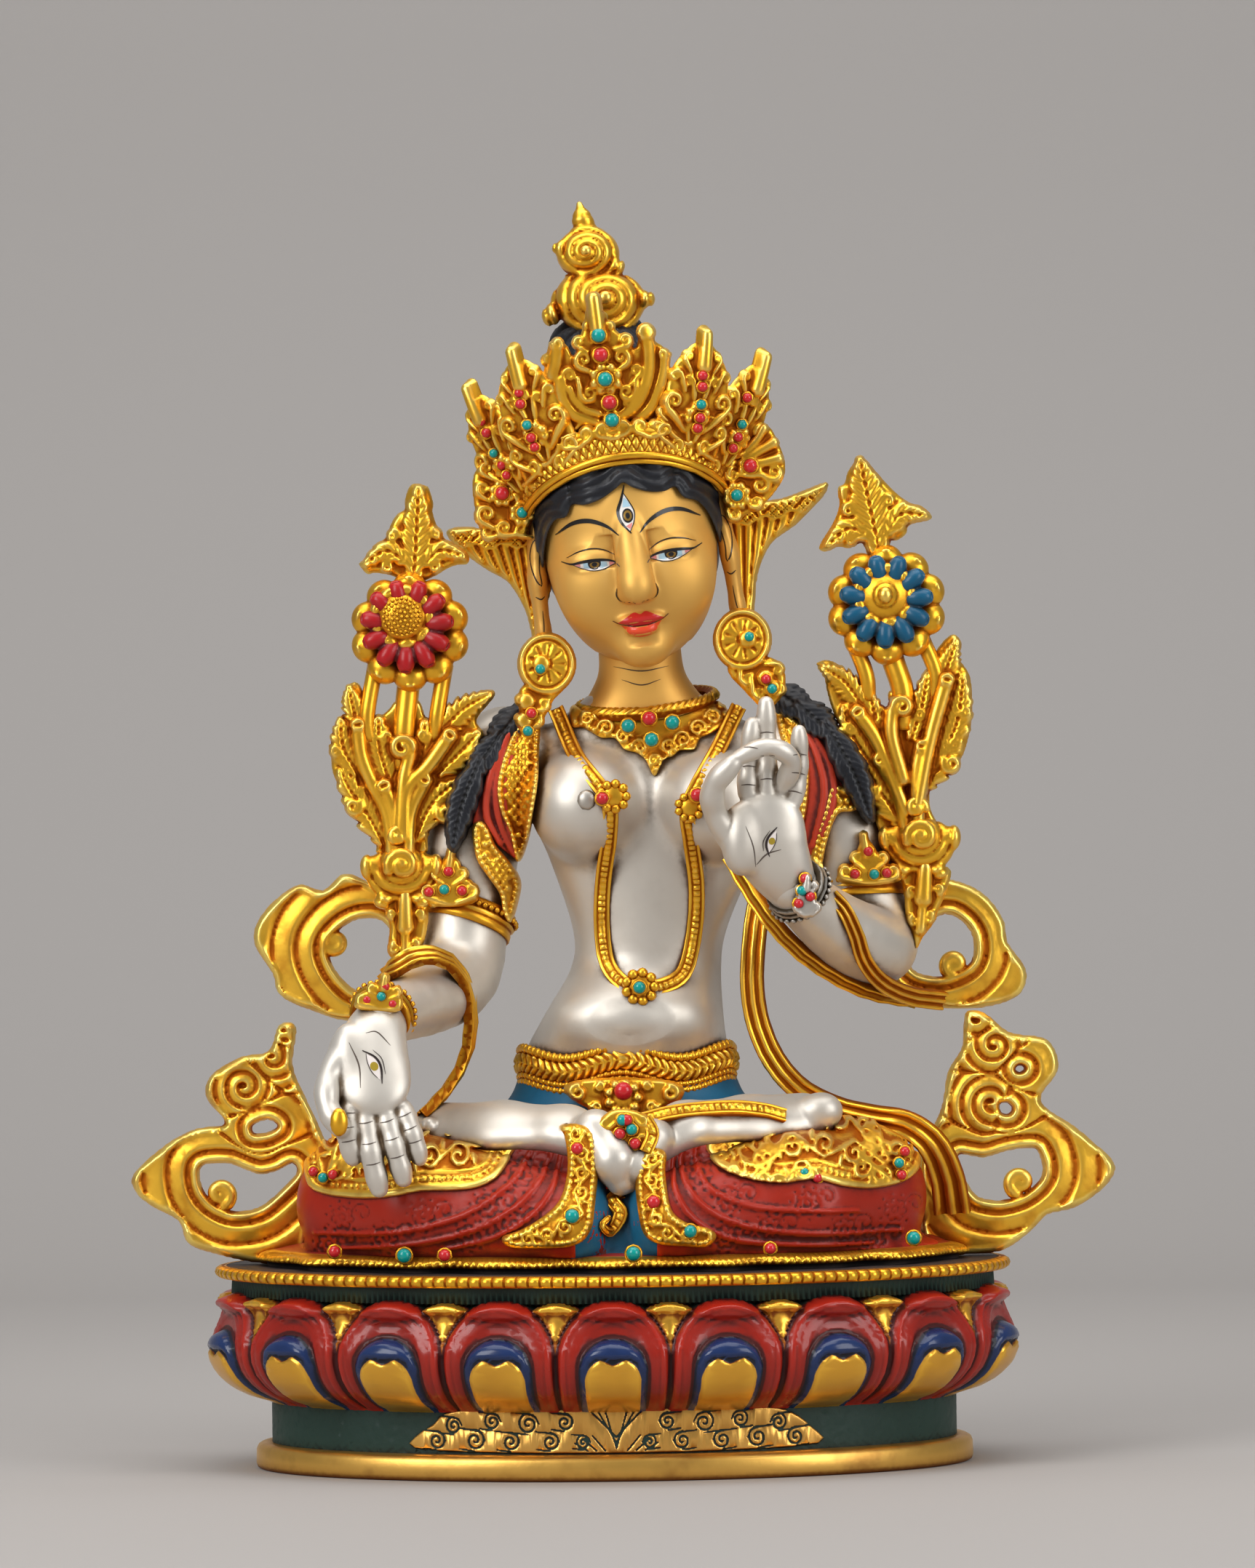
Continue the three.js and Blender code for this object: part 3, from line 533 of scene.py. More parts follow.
class Relief:
    """A carving worked as heights over the front plane, then cast as a solid."""

    def __init__(self, low, high, step=0.34):
        self.low, self.high, self.step = np.array(low, float), np.array(high, float), step
        count = np.ceil((self.high - self.low) / step).astype(int) + 1
        self.x = (self.low[0] + step * np.arange(count[0]))[:, None]
        self.z = (self.low[1] + step * np.arange(count[1]))[None]
        self.edge, self.h = np.full(count, FAR), np.zeros(count)

    def lay(self, edge, height):
        self.edge = np.minimum(self.edge, edge)
        self.h = np.where(edge < 0, np.maximum(self.h, height), self.h)

    def shape(self, outline, level, steps=4):
        edge = region([outline], self.x, self.z, steps)
        self.lay(edge, level + 0.5 * np.sqrt(np.clip(-edge / 1.2, 0, 1)))

    def beside(self, path):
        """Share along a line, length of the line, distance to the right of it and distance to it."""
        path = np.asarray(path, float)
        run = run_along(path)
        near, share, side = np.full(self.h.shape, 1e6), np.zeros(self.h.shape), np.zeros(self.h.shape)
        for (a, b, start, end) in zip(path, path[1:], run, run[1:]):
            u = (b - a) / (end - start)
            x, z = self.x - a[0], self.z - a[1]
            t = np.clip(x * u[0] + z * u[1], 0, end - start)
            far = np.hypot(x - t * u[0], z - t * u[1])
            closer = far < near
            near = np.where(closer, far, near)
            share = np.where(closer, (start + t) / run[-1], share)
            side = np.where(closer, x * u[1] - z * u[0], side)
        return share, run[-1], side, near

    def tube(self, path, half, level, flare=0.0, high=1.0, end=False):
        path = np.asarray(path, float)
        share, _, _, far = self.beside(path)
        wide = half * (1 + flare * share)
        height = level + high * half * dome(far, wide)
        if end:
            way = (path[-1] - path[-2]) / np.linalg.norm(path[-1] - path[-2])
            x, z = self.x - path[-1][0], self.z - path[-1][1]
            cap = np.hypot(x, z)
            slit = (np.abs(x * way[0] + z * way[1]) < 0.36) & (cap < 0.62 * half)
            height = np.where(cap < 1.1 * half, level + high * half * 1.12 - 0.95 * slit, height)
        self.lay(far - wide, height)

    def leaf(self, path, half, level, lobes=6, vein=2.0, notch=0.3, slant=1.0):
        """A feathered leaf on a midrib."""
        share, length, side, far = self.beside(smooth(path, 6))
        off = np.abs(side)
        wave = np.abs(np.sin(math.pi * lobes * (share - slant * off / length)))
        swell = np.sin(math.pi * np.clip(0.06 + 0.9 * share, 0, 1) ** 0.85) ** 0.6
        wide = half * swell * (1 - notch + notch * wave)
        lines = np.sqrt(np.abs(np.sin(math.pi * (share * length - slant * off) / vein)))
        height = level + 0.9 * dome(far, wide + 0.01) + 0.75 * lines - 0.7 * (off < 0.32)
        self.lay(far - wide, height)

    def coil(self, x, z, radius, start, hand, level, turns=1.2, thick=0.33):
        line = curl(x, z, radius * (1 - thick), start, turns, hand, 22)
        line = (x, z) + (line - (x, z)) * np.linspace(1, 1.6, 22)[:, None]
        share, _, _, far = self.beside(line)
        wide = radius * thick * (1 - 0.25 * share)
        height = level + 1.15 * wide * dome(far, wide) + 0.5 * radius * thick * share
        self.lay(far - wide, height)
        self.lay(np.hypot(self.x - x, self.z - z) - 0.8 * radius, level - 0.5)

    def scroll(self, tail, x, z, radius, hand, level):
        """A stem that sweeps from its tail into a coil."""
        turns, thick = 1.25, 0.3
        centre, tail = np.array((x, z), float), np.array(tail, float)
        reach = radius * (1 - thick)
        back = tail - centre
        lean = math.acos(min(1.0, reach / max(np.hypot(*back), reach)))
        start = math.atan2(back[1], back[0]) + hand * lean
        line = curl(x, z, reach, math.degrees(start), turns, hand, 24)
        line = centre + (line - centre) * np.linspace(1, 1.15, 24)[:, None]
        path = np.vstack([[tail, 0.5 * (tail + line[0])], line])
        share, _, _, far = self.beside(path)
        wide = radius * thick * (0.75 + 0.5 * np.sin(math.pi * np.clip(1.6 * share, 0, 1)))
        height = level + 1.35 * wide * dome(far, wide)
        self.lay(far - wide, height)
        self.lay(np.hypot(self.x - x, self.z - z) - 0.9 * radius, level - 0.5)

    def dot(self, x, z, radius, level, high=1.0):
        far = np.hypot(self.x - x, self.z - z)
        self.lay(far - radius, level + high * radius * dome(far, radius))

    def clay(self, y, back, rim=1.0, soften=1):
        h = self.h
        for _ in range(soften):
            for axis in (0, 1):
                h = (np.roll(h, 1, axis) + 2 * h + np.roll(h, -1, axis)) / 4
        edge = self.edge
        lift = np.where(edge < 0, h * np.sqrt(np.clip(-edge / (0.6 * rim), 0, 1)), -edge)
        rear = np.where(edge < 0, back * np.sqrt(np.clip(-edge / rim, 0, 1)), -edge)
        low = (self.low[0], y - h.max() - 2, self.low[1])
        high = (self.high[0], y + back + 1, self.high[1])
        clay = Clay(low, high, self.step)
        offset = (clay.axes()[1] - y)[None, :, None]
        shape = clay.d.shape
        lift, rear = lift[:shape[0], None, :shape[2]], rear[:shape[0], None, :shape[2]]
        clay.d = np.maximum(-offset - lift, offset - rear).astype(np.float32)
        return clay


# Finishes
class Tree:
    def __init__(self, name):
        self.material = bpy.data.materials.new(name)
        self.material.use_nodes = True
        self.nodes, self.links = self.material.node_tree.nodes, self.material.node_tree.links
        self.shader = self.nodes["Principled BSDF"]

    def node(self, kind, *inputs, out=0, **settings):
        made = self.nodes.new("ShaderNode" + kind)
        for key, value in settings.items():
            setattr(made, key, value)
        for socket, value in inputs:
            self.put(made.inputs[socket], value)
        return made.outputs[out]

    def put(self, socket, value):
        if isinstance(value, bpy.types.NodeSocket):
            self.links.new(value, socket)
        elif isinstance(value, tuple):
            socket.default_value = (*value, 1.0)
        else:
            socket.default_value = value

    def math(self, kind, a, b=0.0):
        return self.node("Math", (0, a), (1, b), operation=kind)

    def span(self, value, low, high, to_low=0.0, to_high=1.0):
        settings = ((0, value), (1, low), (2, high), (3, to_low), (4, to_high))
        return self.node("MapRange", *settings, interpolation_type="SMOOTHSTEP")

    def blend(self, share, a, b):
        return self.node("Mix", (0, share), (6, a), (7, b), out=2, data_type="RGBA")

    def between(self, share, a, b):
        return self.node("Mix", (0, share), (2, a), (3, b), data_type="FLOAT")

    def noise(self, size, detail=3.0):
        place = self.node("TexCoord", out=3)
        return self.node("TexNoise", (0, place), (2, 1 / (size * MM)), (3, detail))


DIRT_ROUGH = 0.6


def lighter(colour):
    """The lighter colour of the proud places: partly wear polish, partly a painted highlight."""
    return tuple(min(1.0, c * 1.25) for c in colour)


def finish(
    name, colour, grime_and_shade, metal=0.0, rough=0.4, shade_and_grime_gain=1.0, coat=0.0, bright=None, mottle=0.15, grain=0.1,
    layers=(), reach=3.0, scale=12.0
):
    """Paint or leaf, darker in hollows and occluded places by painted shade and grime, lighter on proud
    places by wear and painted highlight. Layers are (attribute, colour, shade and grime colour, metal,
    rough).
    """
    tree = Tree(name)
    # Painted shade: the hollow attribute and the ambient occlusion below darken hollows and occluded places
    # towards the second colour, which also carries random grime.
    hollow = tree.node("Attribute", attribute_name="hollow", out=2)
    open_sky = tree.node("AmbientOcclusion", ("Distance", reach * MM), out=1, samples=6)
    shade = tree.math("SUBTRACT", 1.0, open_sky)
    cloudy = tree.noise(scale)
    fine = tree.noise(1.4, 4.0)
    bright = bright or lighter(colour)
    for attribute, other, other_grime_and_shade, other_metal, other_rough in layers:
        mask = tree.span(tree.node("Attribute", attribute_name=attribute, out=2), -0.12, 0.12)
        colour = tree.blend(mask, colour, other)
        bright = tree.blend(mask, bright, lighter(other))
        grime_and_shade = tree.blend(mask, grime_and_shade, other_grime_and_shade)
        metal = tree.between(mask, metal, other_metal)
        rough = tree.between(mask, rough, other_rough)
    # Mask of painted shade in hollows and occluded places, with noise for uneven grime.
    deep = tree.math("MULTIPLY", hollow, 2.4 * shade_and_grime_gain)
    occlusion_shade = tree.math("MULTIPLY", shade, 1.15 * shade_and_grime_gain)
    sunk = tree.math("ADD", deep, occlusion_shade)
    patchy = tree.math("MULTIPLY", tree.math("SUBTRACT", fine, 0.5), 0.35 * shade_and_grime_gain)
    sunk = tree.span(tree.math("ADD", sunk, patchy), 0.16, 0.85)
    # Proud places turn lighter: partly wear polish, partly a painted highlight.
    proud = tree.span(tree.math("MULTIPLY", hollow, -1.0), 0.1, 0.4)
    body = tree.blend(proud, colour, bright)
    cloud = tree.span(cloudy, 0.45, 0.75, 0.0, mottle)
    body = tree.blend(cloud, body, grime_and_shade)
    tree.put(tree.shader.inputs["Base Color"], tree.blend(sunk, body, grime_and_shade))
    tree.put(tree.shader.inputs["Metallic"], metal)
    uneven = tree.math("MULTIPLY", tree.math("SUBTRACT", cloudy, 0.5), 0.2)
    dulled = tree.between(sunk, rough, DIRT_ROUGH)
    tree.put(tree.shader.inputs["Roughness"], tree.math("ADD", dulled, uneven))
    tree.shader.inputs["Specular IOR Level"].default_value = 0.3
    tree.shader.inputs["Coat Weight"].default_value = coat
    tree.shader.inputs["Coat Roughness"].default_value = 0.08
    if grain:
        bump = tree.node("Bump", ("Strength", grain), ("Distance", 0.3 * MM), ("Height", fine))
        tree.put(tree.shader.inputs["Normal"], bump)
    return tree.material


# The second gold colour is the darker one of painted shade in hollows, mixed with grime.
GOLD, GOLD_SHADE_AND_GRIME = (0.93, 0.49, 0.035), (0.33, 0.085, 0.003)
gilt = finish(
    "gilt", GOLD, GOLD_SHADE_AND_GRIME, metal=0.9, rough=0.33, shade_and_grime_gain=1.25, bright=(1.0, 0.66, 0.13), mottle=0.3
)
# A lighter copy of the gilt, painting the stronger light that falls on the knee covers and scrolls.
lit_gilt = finish(
    "lit_gilt", (0.97, 0.55, 0.05), (0.42, 0.11, 0.004), metal=0.84, rough=0.33, shade_and_grime_gain=1.7,
    bright=(1.0, 0.74, 0.18), mottle=0.5, scale=7
)
worn_gilt = finish("worn_gilt", (0.80, 0.46, 0.10), (0.25, 0.085, 0.02), metal=0.9, rough=0.36, mottle=0.6)
cold_gold = finish(
    "cold_gold", (0.76, 0.43, 0.10), (0.45, 0.20, 0.03), metal=0.55, rough=0.5, shade_and_grime_gain=0.4,
    bright=(0.84, 0.52, 0.16), mottle=0.05, grain=0.02, reach=6
)
silver = finish(
    "silver", (0.66, 0.615, 0.545), (0.12, 0.08, 0.045), metal=0.64, rough=0.44, shade_and_grime_gain=1.3, mottle=0.12,
    grain=0.05
)
red = finish(
    "red_enamel", (0.34, 0.016, 0.004), (0.07, 0.003, 0.001), rough=0.36, shade_and_grime_gain=2.0, mottle=0.2, grain=0.03
)
dark_silver = finish("dark_silver", (0.56, 0.52, 0.46), (0.05, 0.035, 0.02), metal=0.8, rough=0.4, shade_and_grime_gain=2.4)
cloth_red = finish("shoulder_red", (0.46, 0.040, 0.016), (0.10, 0.006, 0.003), rough=0.45, shade_and_grime_gain=1.8)
blue = finish("blue_paint", (0.007, 0.115, 0.23), (0.006, 0.028, 0.055), rough=0.5, mottle=0.45, grain=0.2)
black = finish(
    "black_hair", (0.012, 0.013, 0.017), (0.003, 0.003, 0.003), rough=0.38, bright=(0.035, 0.037, 0.042),
    grain=0.2
)
green = finish(
    "green_band", (0.016, 0.042, 0.032), (0.004, 0.010, 0.008), rough=0.5, bright=(0.045, 0.085, 0.065),
    grain=0.2
)
brown = finish("plinth_top", (0.036, 0.027, 0.029), (0.012, 0.008, 0.008), rough=0.5, mottle=0.4, grain=0.2)
coral = finish("coral", (0.58, 0.018, 0.024), (0.2, 0.01, 0.01), rough=0.2, coat=0.4, mottle=0.1, grain=0)
turquoise = finish(
    "turquoise", (0.0, 0.31, 0.28), (0.0, 0.1, 0.1), rough=0.22, coat=0.4, mottle=0.3, grain=0, scale=2
)
petal_paint = finish(
    "petal_paint", (0.30, 0.014, 0.006), (0.06, 0.003, 0.002), rough=0.3, coat=0.2, mottle=0.12, grain=0.03,
    layers=(
        ("navy", (0.010, 0.024, 0.085), (0.003, 0.005, 0.015), 0.0, 0.22),
        ("gold", (0.86, 0.45, 0.05), (0.30, 0.08, 0.008), 0.85, 0.34),
        ("behind", (0.018, 0.046, 0.036), (0.004, 0.010, 0.008), 0.0, 0.5)
    )
)
cartouche_paint = finish(
    "cartouche_paint", (0.018, 0.046, 0.036), (0.004, 0.010, 0.008), rough=0.5, grain=0.1, shade_and_grime_gain=1.3,
    layers=(("gold", (0.78, 0.43, 0.10), (0.20, 0.055, 0.012), 0.9, 0.34),)
)


# Plinth
FOOT_WIDTH, FOOT_DEPTH = 195.0, 120.0
WAIST_INSET, BAND_OUT, PETALS = 4.3, 6.2, 18


def oval(count, start=-0.25, turns=1.0, out=0.0):
    """Points and outward ways at equal steps along the oval, from its front; shares of one turn."""
    wide, deep = FOOT_WIDTH / 2 + out, FOOT_DEPTH / 2 + out
    turn = np.linspace(-0.25, 1.75, 7201) * TAU
    x, y = wide * np.cos(turn), deep * np.sin(turn)
    length = np.concatenate([[0], np.cumsum(np.hypot(np.diff(x), np.diff(y)))])
    around = length[3600]
    share = np.linspace(start + 0.25, start + 0.25 + turns, count, endpoint=turns < 1)
    angle = np.interp((share % 1) * around, length, turn)
    points = np.stack([wide * np.cos(angle), deep * np.sin(angle)], 1)
    ways = np.stack([points[:, 0] / wide**2, points[:, 1] / deep**2], 1)
    return points, ways / np.linalg.norm(ways, axis=1)[:, None], share * around


def hollows(out):
    """How far each height lies below the mean of those around it."""
    reach, gain = 3, 0.7
    soft = out.astype(float)
    for axis in (0, 1):
        soft = sum(np.roll(soft, s, axis) for s in range(-reach, reach + 1)) / (2 * reach + 1)
    return (soft - out) * gain


def around(
    name, rows, material, count=720, out=0.0, shape=None, start=-0.25, turns=1.0, values=None, caps=False,
    **more
):
    """A skin round the plinth: rows of (height, offset), raised by shape(along, z)."""
    points, ways, along = oval(count, start, turns, out)
    rows = np.asarray(rows, float)
    z = np.repeat(rows[:, :1], count, 1)
    offset = np.repeat(rows[:, 1:2], count, 1)
    along = np.broadcast_to(along, z.shape)
    raised = shape(along, z) if shape else np.zeros(z.shape)
    place = points[None] + (offset - out + raised)[..., None] * ways[None]
    whole = np.concatenate([place, z[..., None]], 2).reshape(-1, 3)
    closed = turns == 1.0
    i = np.arange(len(rows) - 1)[:, None] * count
    j = np.arange(count if closed else count - 1)[None]
    k = (j + 1) % count
    quads = np.stack([i + j, i + k, i + count + k, i + count + j], 2).reshape(-1, 4)
    fields = {"hollow": hollows(raised).ravel()}
    fields.update({key: value(along, z).ravel() for key, value in (values or {}).items()})
    tris = []
    if caps:
        top = len(whole)
        middle = [[0, 0, rows[0, 0]], [0, 0, rows[-1, 0]]]
        whole = np.concatenate([whole, middle])
        ring = np.arange(count)
        after = (ring + 1) % count
        last = (len(rows) - 1) * count
        first_cap = np.stack([after, ring, np.full(count, top)], 1)
        last_cap = np.stack([last + ring, last + after, np.full(count, top + 1)], 1)
        tris = np.concatenate([first_cap, last_cap])
        fields = {key: np.append(value, [0, 0]) for key, value in fields.items()}
    return build(name, whole, [quads, tris], material, base=0, values=fields, **more)


def fall(value, low, high):
    t = np.clip((value - low) / (high - low), 0, 1)
    return t * t * (3 - 2 * t)


def bump(value, centre, width):
    return np.exp(-(((value - centre) / width) ** 2))


petal_ring = 0.4 * 12.7
PITCH = oval(10, out=petal_ring)[2][1] * 10 / PETALS


def petal_parts(along, z):
    p = (along / PITCH + 0.5) % 1 * PITCH - PITCH / 2

    def arch(half, straight, top):
        rise = np.maximum(z - straight, 0) * half / (top - straight)
        return half - np.hypot(p, rise)

    outer = arch(0.492 * PITCH, 33.0, 48.5)
    navy = arch(8.9, 29.6, 38.7)
    notch = 1.5 * bump(p, 0, 2.2)
    gold = np.minimum(arch(7.1, 27.5, 34.0), 33.4 - notch - z)
    q = PITCH / 2 - np.abs(p)
    sepal = np.minimum(np.minimum(0.42 * (z - 31.5) - q, 47.9 - 0.05 * q**2 - z), -outer - 0.3)
    return p, q, outer, navy, gold, sepal


def petal_shape(along, z):
    p, q, outer, navy, gold, sepal = petal_parts(along, z)
    out = 1.9 * fall(outer, -0.2, 1.8) - 0.55 * bump(outer, 2.6, 0.5) - 0.45 * bump(outer, 4.3, 0.45)
    out -= 0.8 * fall(outer, 4.6, 6.2)
    lip = fall(z - 0.012 * p * p, 42.6, 44.2) * fall(outer, 0.0, 1.5)
    out += lip * (1.2 + 1.1 * bump(z, 46.2, 1.6))
    out += 1.7 * fall(navy, -0.3, 1.6) - 0.7 * bump(navy, -0.4, 0.5)
    out += 2.0 * fall(z, 32.4, 34.6) * np.sqrt(np.clip(navy, 0, 9) / 9)
    out += 0.8 * fall(gold, -0.2, 1.0) + 0.5 * bump(gold, 0.5, 0.5) * fall(z, 29, 32)
    out -= 0.5 * bump(gold, -0.5, 0.4)
    sepals = 0.4 + 0.5 * np.cos(q * 1.7) * fall(q, 0, 3) + 1.8 * fall(z, 44.4, 46.0)
    between = outer < 0
    out = np.where(between & (sepal > 0), sepals * fall(sepal, 0, 0.8), out)
    out = np.where(between & (sepal <= 0), -1.5 - 3.0 * fall(-outer, 0, 1.2) * fall(z, 44, 46), out)
    return out * fall(z, 17.6, 20.5)


def navy_field(along, z):
    _, _, outer, navy, _, _ = petal_parts(along, z)
    return np.minimum(navy, outer)


def gold_field(along, z):
    _, _, _, _, gold, sepal = petal_parts(along, z)
    return np.maximum(gold, np.minimum(sepal, 60 - z))


def gap_field(along, z):
    _, _, outer, _, _, sepal = petal_parts(along, z)
    return np.minimum(-0.2 - outer, -0.2 - sepal)


bulge = smooth([
    (17.9, -4.6), (19.5, -2.5), (22.5, 3.2), (26.5, 7.6), (31, 9.8), (35.5, 9.9), (39, 8.6), (42.5, 7.4),
    (45.5, 7.4), (48.6, 7.2)
], 6)
under_band = [(48.9, 5.5), (48.3, 3.0)]
around(
    "plinth_petals", [*bulge, *under_band], petal_paint, count=PETALS * 42, out=petal_ring,
    shape=petal_shape, values={"navy": navy_field, "gold": gold_field, "behind": gap_field},
    replaced=["lotus_plinth"]
)
foot_rows = [
    (0, -6), (0, -1.2), (0.5, -0.3), (1.5, 0), (5.2, -0.1), (6.3, -0.6), (6.9, -1.6), (7, -3), (7, -6)
]
around("plinth_foot", foot_rows, worn_gilt, count=240, caps=True)


def hatching(along, z):
    """Fans of scored lines on the waist."""
    cell = (along / 17.0) % 1
    slant = np.where(cell < 0.5, 1, -1)
    return -0.32 * np.clip(np.cos((along * 0.85 + slant * (z - 12) * 1.1) * TAU / 2.6), 0.3, 1)


waist_rows = [(z, -WAIST_INSET) for z in np.linspace(6.9, 18.2, 15)]
around("plinth_waist", waist_rows, green, count=900, shape=hatching)
flute_count = 330


def fluting(along, z):
    """Upright grooves of the band."""
    return -0.45 * (along / (along.max() / (flute_count - 0.25)) % 1 < 0.4)


band_rows = [(47.3, 5.2), (47.6, BAND_OUT), (49.5, BAND_OUT), (52.1, BAND_OUT)]
around("plinth_band", band_rows, green, count=flute_count * 4, shape=fluting)
bead_count = 168
bead_rows = [
    (51.9, 5), (51.9, 8.6), (52.1, 9.6), (52.7, 10.2), (53.5, 10.5), (54.4, 10.2), (54.9, 9.4),
    (55.05, 8.2), (55.05, 7.4)
]


def beads_round(along, z):
    """Beads side by side on the rim."""
    phase = along / along.max() * (bead_count - 1 / 7) % 1
    swell = 0.35 * np.sqrt(np.clip(np.sin(math.pi * phase), 0, 1))
    return (swell - 0.5 * (np.minimum(phase, 1 - phase) < 0.1) - 0.1) * fall(z, 51.9, 52.6)


around("plinth_rim", bead_rows, gilt, count=bead_count * 7, shape=beads_round)
top_rows = [(54.2, 8.5), (54.95, 8.0), (55.0, 7.2), (55.0, 4)]
around("plinth_top", top_rows, brown, count=240, caps=True)


# Gold panel on the waist
panel_edge = [
    (-56, 8.6), (-54.4, 12.4), (-50.5, 14.6), (-47, 17.6), (-39.3, 18.9), (-20, 19.1), (0, 19.2),
    (20, 19.1), (41.7, 18.7), (49.4, 16.9), (55.1, 13), (57.4, 8.6), (30, 7.6), (0, 7.4), (-30, 7.6)
]
panel = Canvas((-62, 5), (62, 21), 0.22)
panel_curls = [
    (-50, 10.6, 2.6, 1), (-45, 14.6, 2.4, -1), (-39, 10.8, 2.9, 1), (-34, 15.8, 2.4, -1),
    (-29, 10.4, 2.6, 1), (-24, 15.2, 2.9, -1), (-18, 10.4, 2.5, 1), (-14, 15.6, 2.4, 1), (-9, 10.2, 2.0, -1)
]
panel_middle = 0.6
for x, z, r, hand in panel_curls:
    for side in (-1, 1):
        leaf = [(x + r, z), (x + 0.4 * r, z + 0.8 * r), (x - 1.6 * r, z + 1.1 * r)]
        stem = [(x, z - r), (x - 1.5 * r, z - 0.8 * r)]
        panel.line(curl(panel_middle + side * -x, z, r, 90, 1.6, side * hand, 26), 0.42, 0.8, 0.8)
        panel.line(smooth([(panel_middle - side * a, b) for a, b in leaf], 5), 0.38, 0.8, 0.6)
        panel.line(smooth([(panel_middle - side * a, b) for a, b in stem], 4), 0.34, 0.8, 0.6)
for side in (-1, 1):
    for k in range(3):
        ray = [(side * (7 - 2 * k), 18.6), (0, 11.6 - 1.5 * k)]
        prop = [(side * (3 + 2.4 * k), 8.0), (side * (6.5 + 2.4 * k), 12 - k)]
        panel.line([(panel_middle + a, b) for a, b in ray], 0.32, 0.8, 1)
        panel.line([(panel_middle + a, b) for a, b in prop], 0.32, 0.8, 1)


def panel_field(along, z):
    return np.minimum(-region([panel_edge], along, z, 3), 0.42 - panel.at(along, z))


def panel_shape(along, z):
    raised = 0.75 * fall(-region([panel_edge], along, z, 3), -0.5, 0.3)
    return raised - 0.32 * (panel.at(along, z) > 0.42) - 0.25


panel_rows = [(z, -WAIST_INSET) for z in np.linspace(7.2, 19.2, 50)]
panel_share = 0.256
around(
    "plinth_panel", panel_rows, cartouche_paint, count=470, shape=panel_shape, values={"gold": panel_field},
    start=-0.25 - panel_share / 2, turns=panel_share
)


# Body
def finger(points, radius, tip=0.8):
    """A finger with slight narrowings at its joints."""
    path = smooth(points, 6)
    share = np.linspace(0, 1, len(path))
    joints = 1 - 0.07 * np.cos(share * 3 * TAU) * (share > 0.05)
    return limb(np.column_stack([path, radius * joints * (1 - (1 - tip) * share)]))


trunk = [
    (0, 3, 8, 44, 28, 30), (18, 3, 8, 42, 27, 30), (44, 4, 7.5, 32, 21, 20), (52, 4.4, 7, 28.4, 19, 18),
    (58, 4.8, 7, 27.3, 18.5, 17), (65, 6.2, 7, 25, 19.5, 15.5), (79, 10, 6, 20.6, 15.5, 13),
    (90, 11.3, 5, 21, 14.3, 14), (109, 12.3, 5, 28, 15.5, 17.5), (121, 12.3, 5, 33, 16, 18.5),
    (133, 12.2, 5, 36, 14.5, 17), (142, 12, 5, 33, 11.5, 14), (149, 11.2, 4.6, 22, 10.5, 12),
    (156, 10.2, 4, 13.5, 10.8, 11), (164, 9.7, 2, 10.9, 10.7, 10.5), (178, 9, 0, 10.5, 10, 10)
]
right_arm = smooth([
    (-27, 6, 140, 11), (-33.5, 6, 130, 12.2), (-38, 5.6, 112, 11.8), (-39, 4.5, 95, 11.4),
    (-41, -1, 79, 11.2), (-48, -16, 73, 9.8), (-56, -33, 69.5, 7.8), (-61, -43, 67, 6.8)
], 3)
left_arm = smooth([
    (51, 6, 140, 11), (57.5, 5.5, 129, 12.2), (64.5, 4, 112, 11.6), (70.5, 2.4, 96, 11.1),
    (73, -3, 85, 10.6), (66.5, -13, 87, 10), (57, -24, 94, 8.2), (49.5, -32, 101.5, 6.8)
], 3)
body = Clay((-76, -52, 50), (88, 29, 153), 0.85)
body.add(ringed([row for row in trunk if row[0] > 40]))
body.add([ball((-5.5, -5.5, 124), 15.4), ball((29, -5.5, 124), 15.4)], 4)
body.add([ball((5.5, -5, 66), (20, 12.5, 10))], 9)
for arm in (right_arm, left_arm):
    body.add(limb(arm[:9]), 5)
    body.add(limb(arm[8:]), 1.5)
body.cut([ball((12, -22.5, 110), (2.5, 7, 10))], 4)

legs_shapes = [
    limb([(14, 8, 20, 20), (-40, 2, 19, 20.5), (-63, -13, 17, 19)]),
    limb([(-66, -16, 17, 18.5), (-50, -31, 16.5, 17.5), (-12, -46, 13, 12.5)]),
    limb([(-8, 8, 20, 20), (44, 2, 19, 20.5), (64, -13, 17.5, 19)]),
    limb([(66, -16, 17.5, 18), (50, -30, 16.5, 17.5), (16, -45, 13.5, 12.5)])
]


def legs_clay(low, high, step):
    clay = Clay(low, high, step)
    for shapes in legs_shapes:
        clay.add(shapes, 5)
    clay.add([ball((2, 0, 3), (90, 52, 9))], 4)
    return clay


legs = legs_clay((-94, -64, 0), (94, 52, 44), 1.0)
lower = legs.axes()[2][None, None]
legs.d = np.maximum(legs.d, (0.3 - lower).astype(np.float32))
right_palm = [
    (-60.5, -42.5, 68, 6.8, 6), (-62.3, -46, 64, 7.6, 5.6), (-63.6, -50, 57.5, 9.4, 5),
    (-62.8, -53, 51.5, 10.0, 4.2)
]
left_palm = [
    (49.5, -32, 101, 6.8, 6), (46.5, -34.5, 106, 7.8, 5.6), (43.6, -37, 111.5, 9.2, 5),
    (43.0, -38.3, 117.5, 9.8, 4.2)
]
hand_right = Clay((-79, -66, 18), (-44, -34, 76), 0.45)
hand_right.add(limb(right_palm, (1, 0, 0)), 2)
hand_right.add([ball((-69.5, -50.5, 58), (4.6, 4.6, 8.5))], 3)
